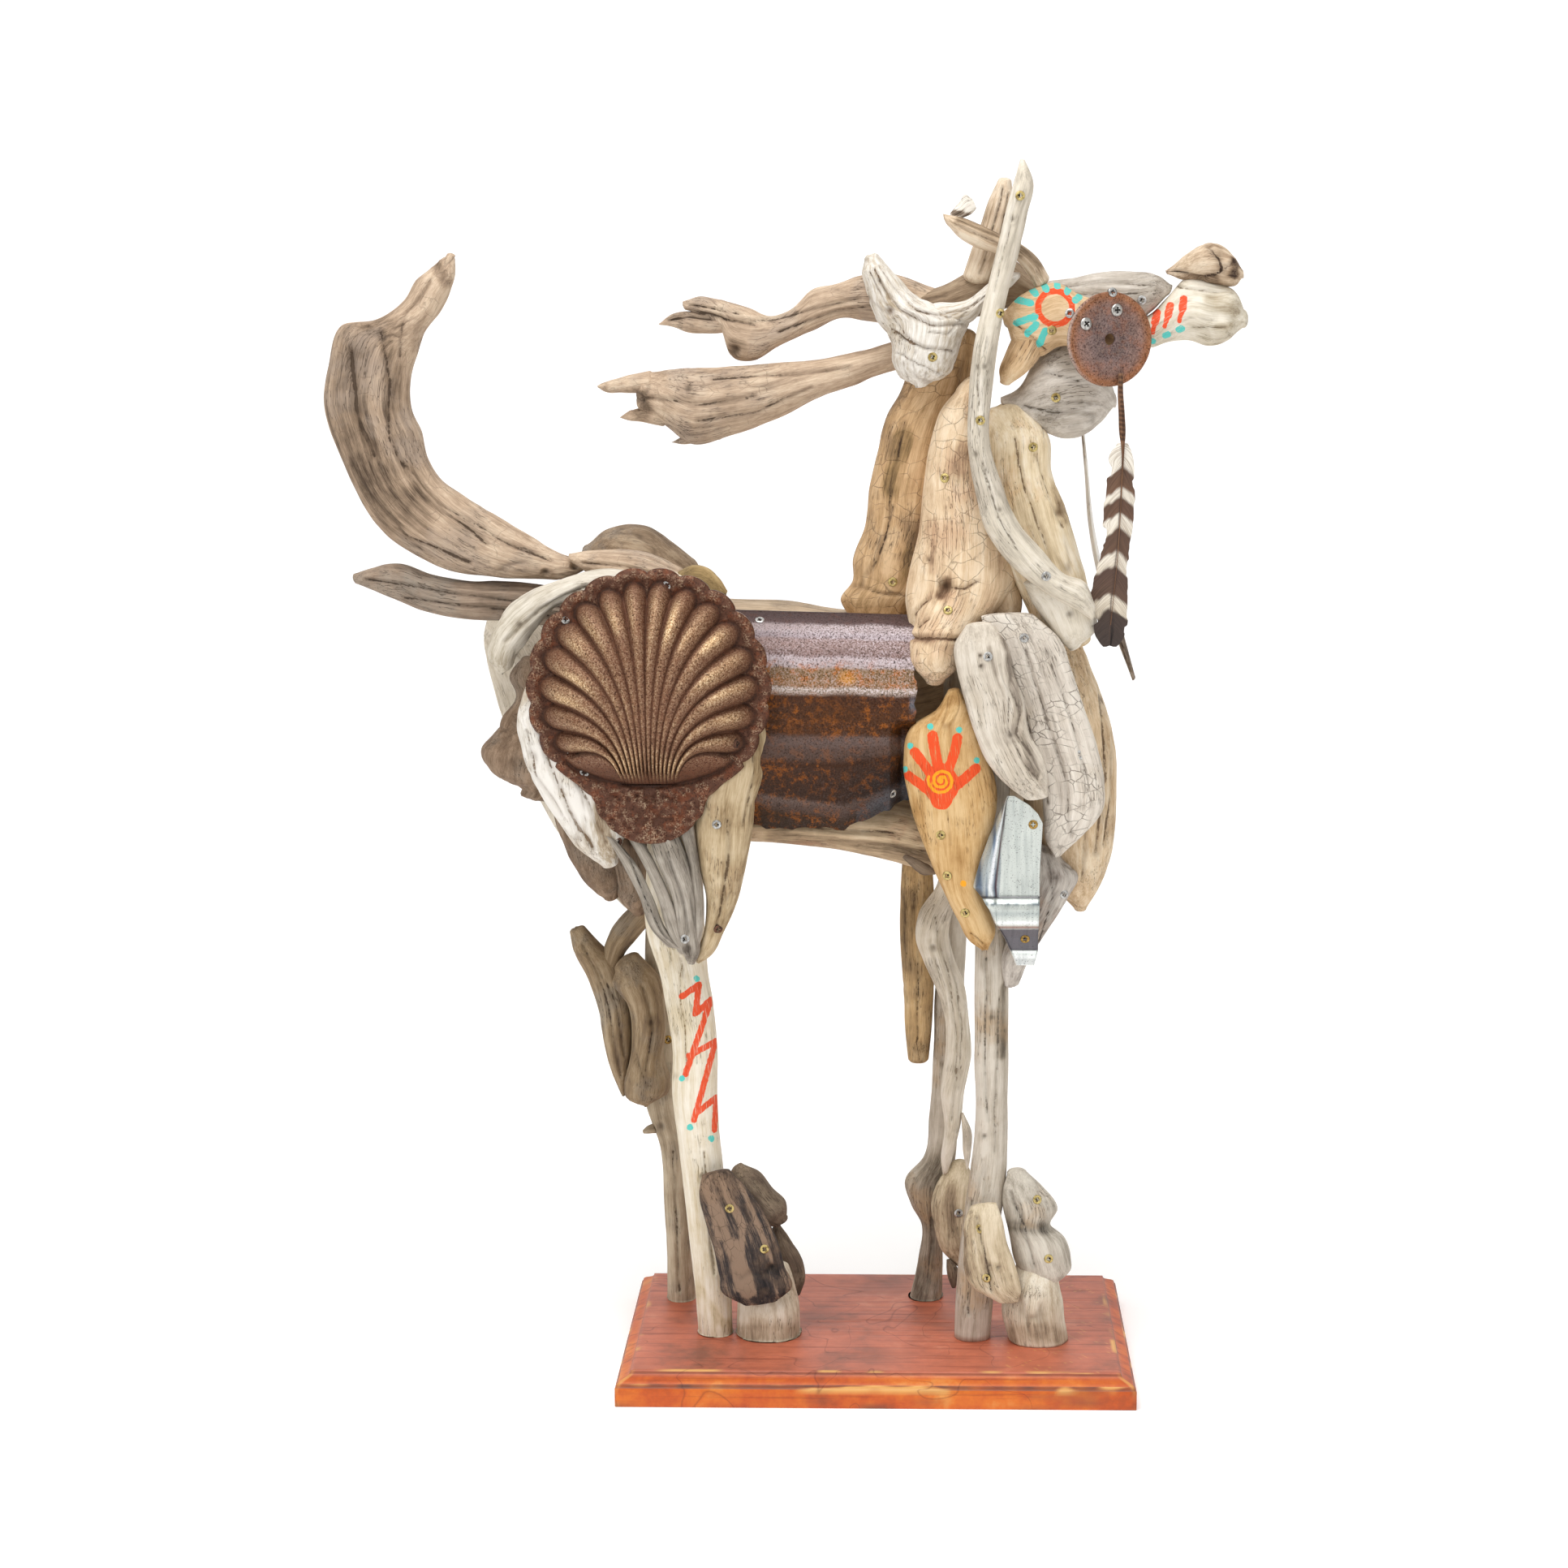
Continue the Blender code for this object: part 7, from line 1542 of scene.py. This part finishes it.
# Screws: countersunk deck screws of zinc, brass and rusty steel, driven from outside, and a few with
# pan heads. Each sits square to the surface under it.
SCREW_HEAD_RADIUS = 0.0044
SCREW_RECESS = 0.0012


def screw_metal(name, colour, stained, rough, shine):
    """Plated screw steel, a little stained, with painted shade in its recess."""
    material, place = new_material(name)
    stains = node(material, "TexNoise", {"Scale": 320.0, "Detail": 3.0}, Vector=place)
    tint = node(material, "ValToRGB", {"stops": ((0.35, stained), (0.55, colour))}, i0=stains)
    recess = node(material, "Attribute", {"attribute_name": "recess"}).outputs["Fac"]
    colour = node(material, "Mix", {"data_type": "RGBA", 7: linear("#17120e")}, i0=recess, i6=tint)
    return shown(material, {"Roughness": rough, "Metallic": shine}, Base_Color=colour)


def surfaces():
    """A tree of each piece's faces, to find the place where a sight line first meets the horse."""
    graph = bpy.context.evaluated_depsgraph_get()
    found = []
    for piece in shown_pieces():
        if piece.type == "MESH" and piece.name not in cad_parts:
            found.append(BVHTree.FromObject(piece, graph))
    return found


def first_met(trees, column, row):
    """The nearest point on the horse along the sight line through a place in the drawing."""
    target = spots(column, row, 0.0)
    ray = Vector(target - STAND).normalized()
    hits = [tree.ray_cast(Vector(STAND), ray) for tree in trees]
    hits = [hit for hit in hits if hit[0] is not None]
    return min(hits, key=lambda hit: hit[3]) if hits else None


def seat(trees, column, row, reach):
    """The middle of a screw's seat and the direction it faces, from the surface round about it."""
    middle = first_met(trees, column, row)
    if middle is None:
        return None
    normal = Vector((0.0, 0.0, 0.0))
    for turned in np.linspace(0, 2 * math.pi, 8, endpoint=False):
        near = first_met(trees, column + reach * math.cos(turned), row + reach * math.sin(turned))
        if near is not None and abs(near[3] - middle[3]) < 0.006:
            normal += near[1]
    normal = normal.normalized() if normal.length > 0.5 else -Vector(AHEAD)
    return np.array(middle[0]), np.array(normal)


def screw_heads(name, metal, places, radius=SCREW_HEAD_RADIUS, crown=0.0007, proud=0.0002):
    """Heads with a cross recess: rings run up a short side, over the crown and down into the recess."""
    rings = np.concatenate([[1.0, 1.0, 0.97], np.linspace(0.90, 0.05, 9)])
    height = np.concatenate([[-0.003, 0.0, 0.0003], 0.0003 + crown * (1 - np.linspace(0.90, 0.05, 9) ** 2)])
    angle = np.linspace(0, 2 * math.pi, 32, endpoint=False)
    all_points, all_recess_shade, faces, start = [], [], [], 0
    for number, (column, row) in enumerate(places):
        found = seat(screw_trees, column, row, 7)
        if found is None:
            continue
        middle, normal = found
        side = np.cross(normal, (0.0, 0.0, 1.0))
        side /= np.linalg.norm(side)
        up = np.cross(side, normal)
        spin = number * 0.9
        x = rings[:, None] * radius * np.cos(angle + spin)
        y = rings[:, None] * radius * np.sin(angle + spin)
        cross_x = np.abs(rings[:, None] * radius * np.cos(angle))
        cross_y = np.abs(rings[:, None] * radius * np.sin(angle))
        slotted = np.clip(1.6 - np.minimum(cross_x, cross_y) / 0.0008, 0, 1)
        slotted *= np.hypot(cross_x, cross_y) < 0.55 * radius
        level = height[:, None] - SCREW_RECESS * slotted + proud
        points = middle + x[..., None] * side + y[..., None] * up + level[..., None] * normal
        faces += ring_faces(*x.shape, start)
        start += x.size
        all_points.append(points.reshape(-1, 3))
        # Painted shade: the cross recess is darkened, and so is the ring round the head's edge.
        all_recess_shade.append(np.maximum(slotted, 0.75 * (rings[:, None] > 0.98)).ravel())
    points = np.concatenate(all_points)
    piece = mesh_piece(name, points, facing_out(points, faces), metal, recess=np.concatenate(all_recess_shade))


screw_trees = surfaces()
screw_heads("zinc_screws", screw_metal("zinc_plate", "#c3c2bf", "#85827e", 0.35, 0.7),
    ((697, 763), (822, 721), (720, 952), (936, 764), (1100, 978), (1289, 710), (1217, 809), (1262, 786),
    (1318, 386), (1371, 360), (1407, 370), (1331, 930), (1311, 1102), (844, 1157), (883, 1016),
    (1181, 1495)))
screw_heads("yellow_screws", screw_metal("yellow_zinc_plate", "#cdb878", "#8a7440", 0.35,
    0.6), ((1100, 717), (1164, 589), (1257, 241), (1232, 386), (1208, 518), (1273, 551), (1296, 407),
    (1159, 1029), (1167, 1079), (1189, 1125), (1149, 440), (1301, 490), (899, 1489), (942, 1539),
    (1207, 1514), (1215, 1575), (1278, 1478), (1292, 1551), (1184, 1422), (520, 452), (1168, 752)))
screw_heads("rusty_screws", screw_metal("rusty_steel", "#6b4836", "#3a2720", 0.7, 0.4),
            ((908, 916), (761, 1037), (885, 1145), (612, 714)))
screw_heads("brass_screws", screw_metal("aged_brass", "#b08d4a", "#6d5630", 0.4, 0.8),
            ((1273, 1016), (1263, 1157), (823, 1281)))
screw_heads("pan_head_screws", screw_metal("bright_zinc", "#c9c7c2", "#8f8c88", 0.3, 0.85),
            ((1376, 382), (1338, 399)), radius=0.0058, crown=0.0020, proud=0.0006)
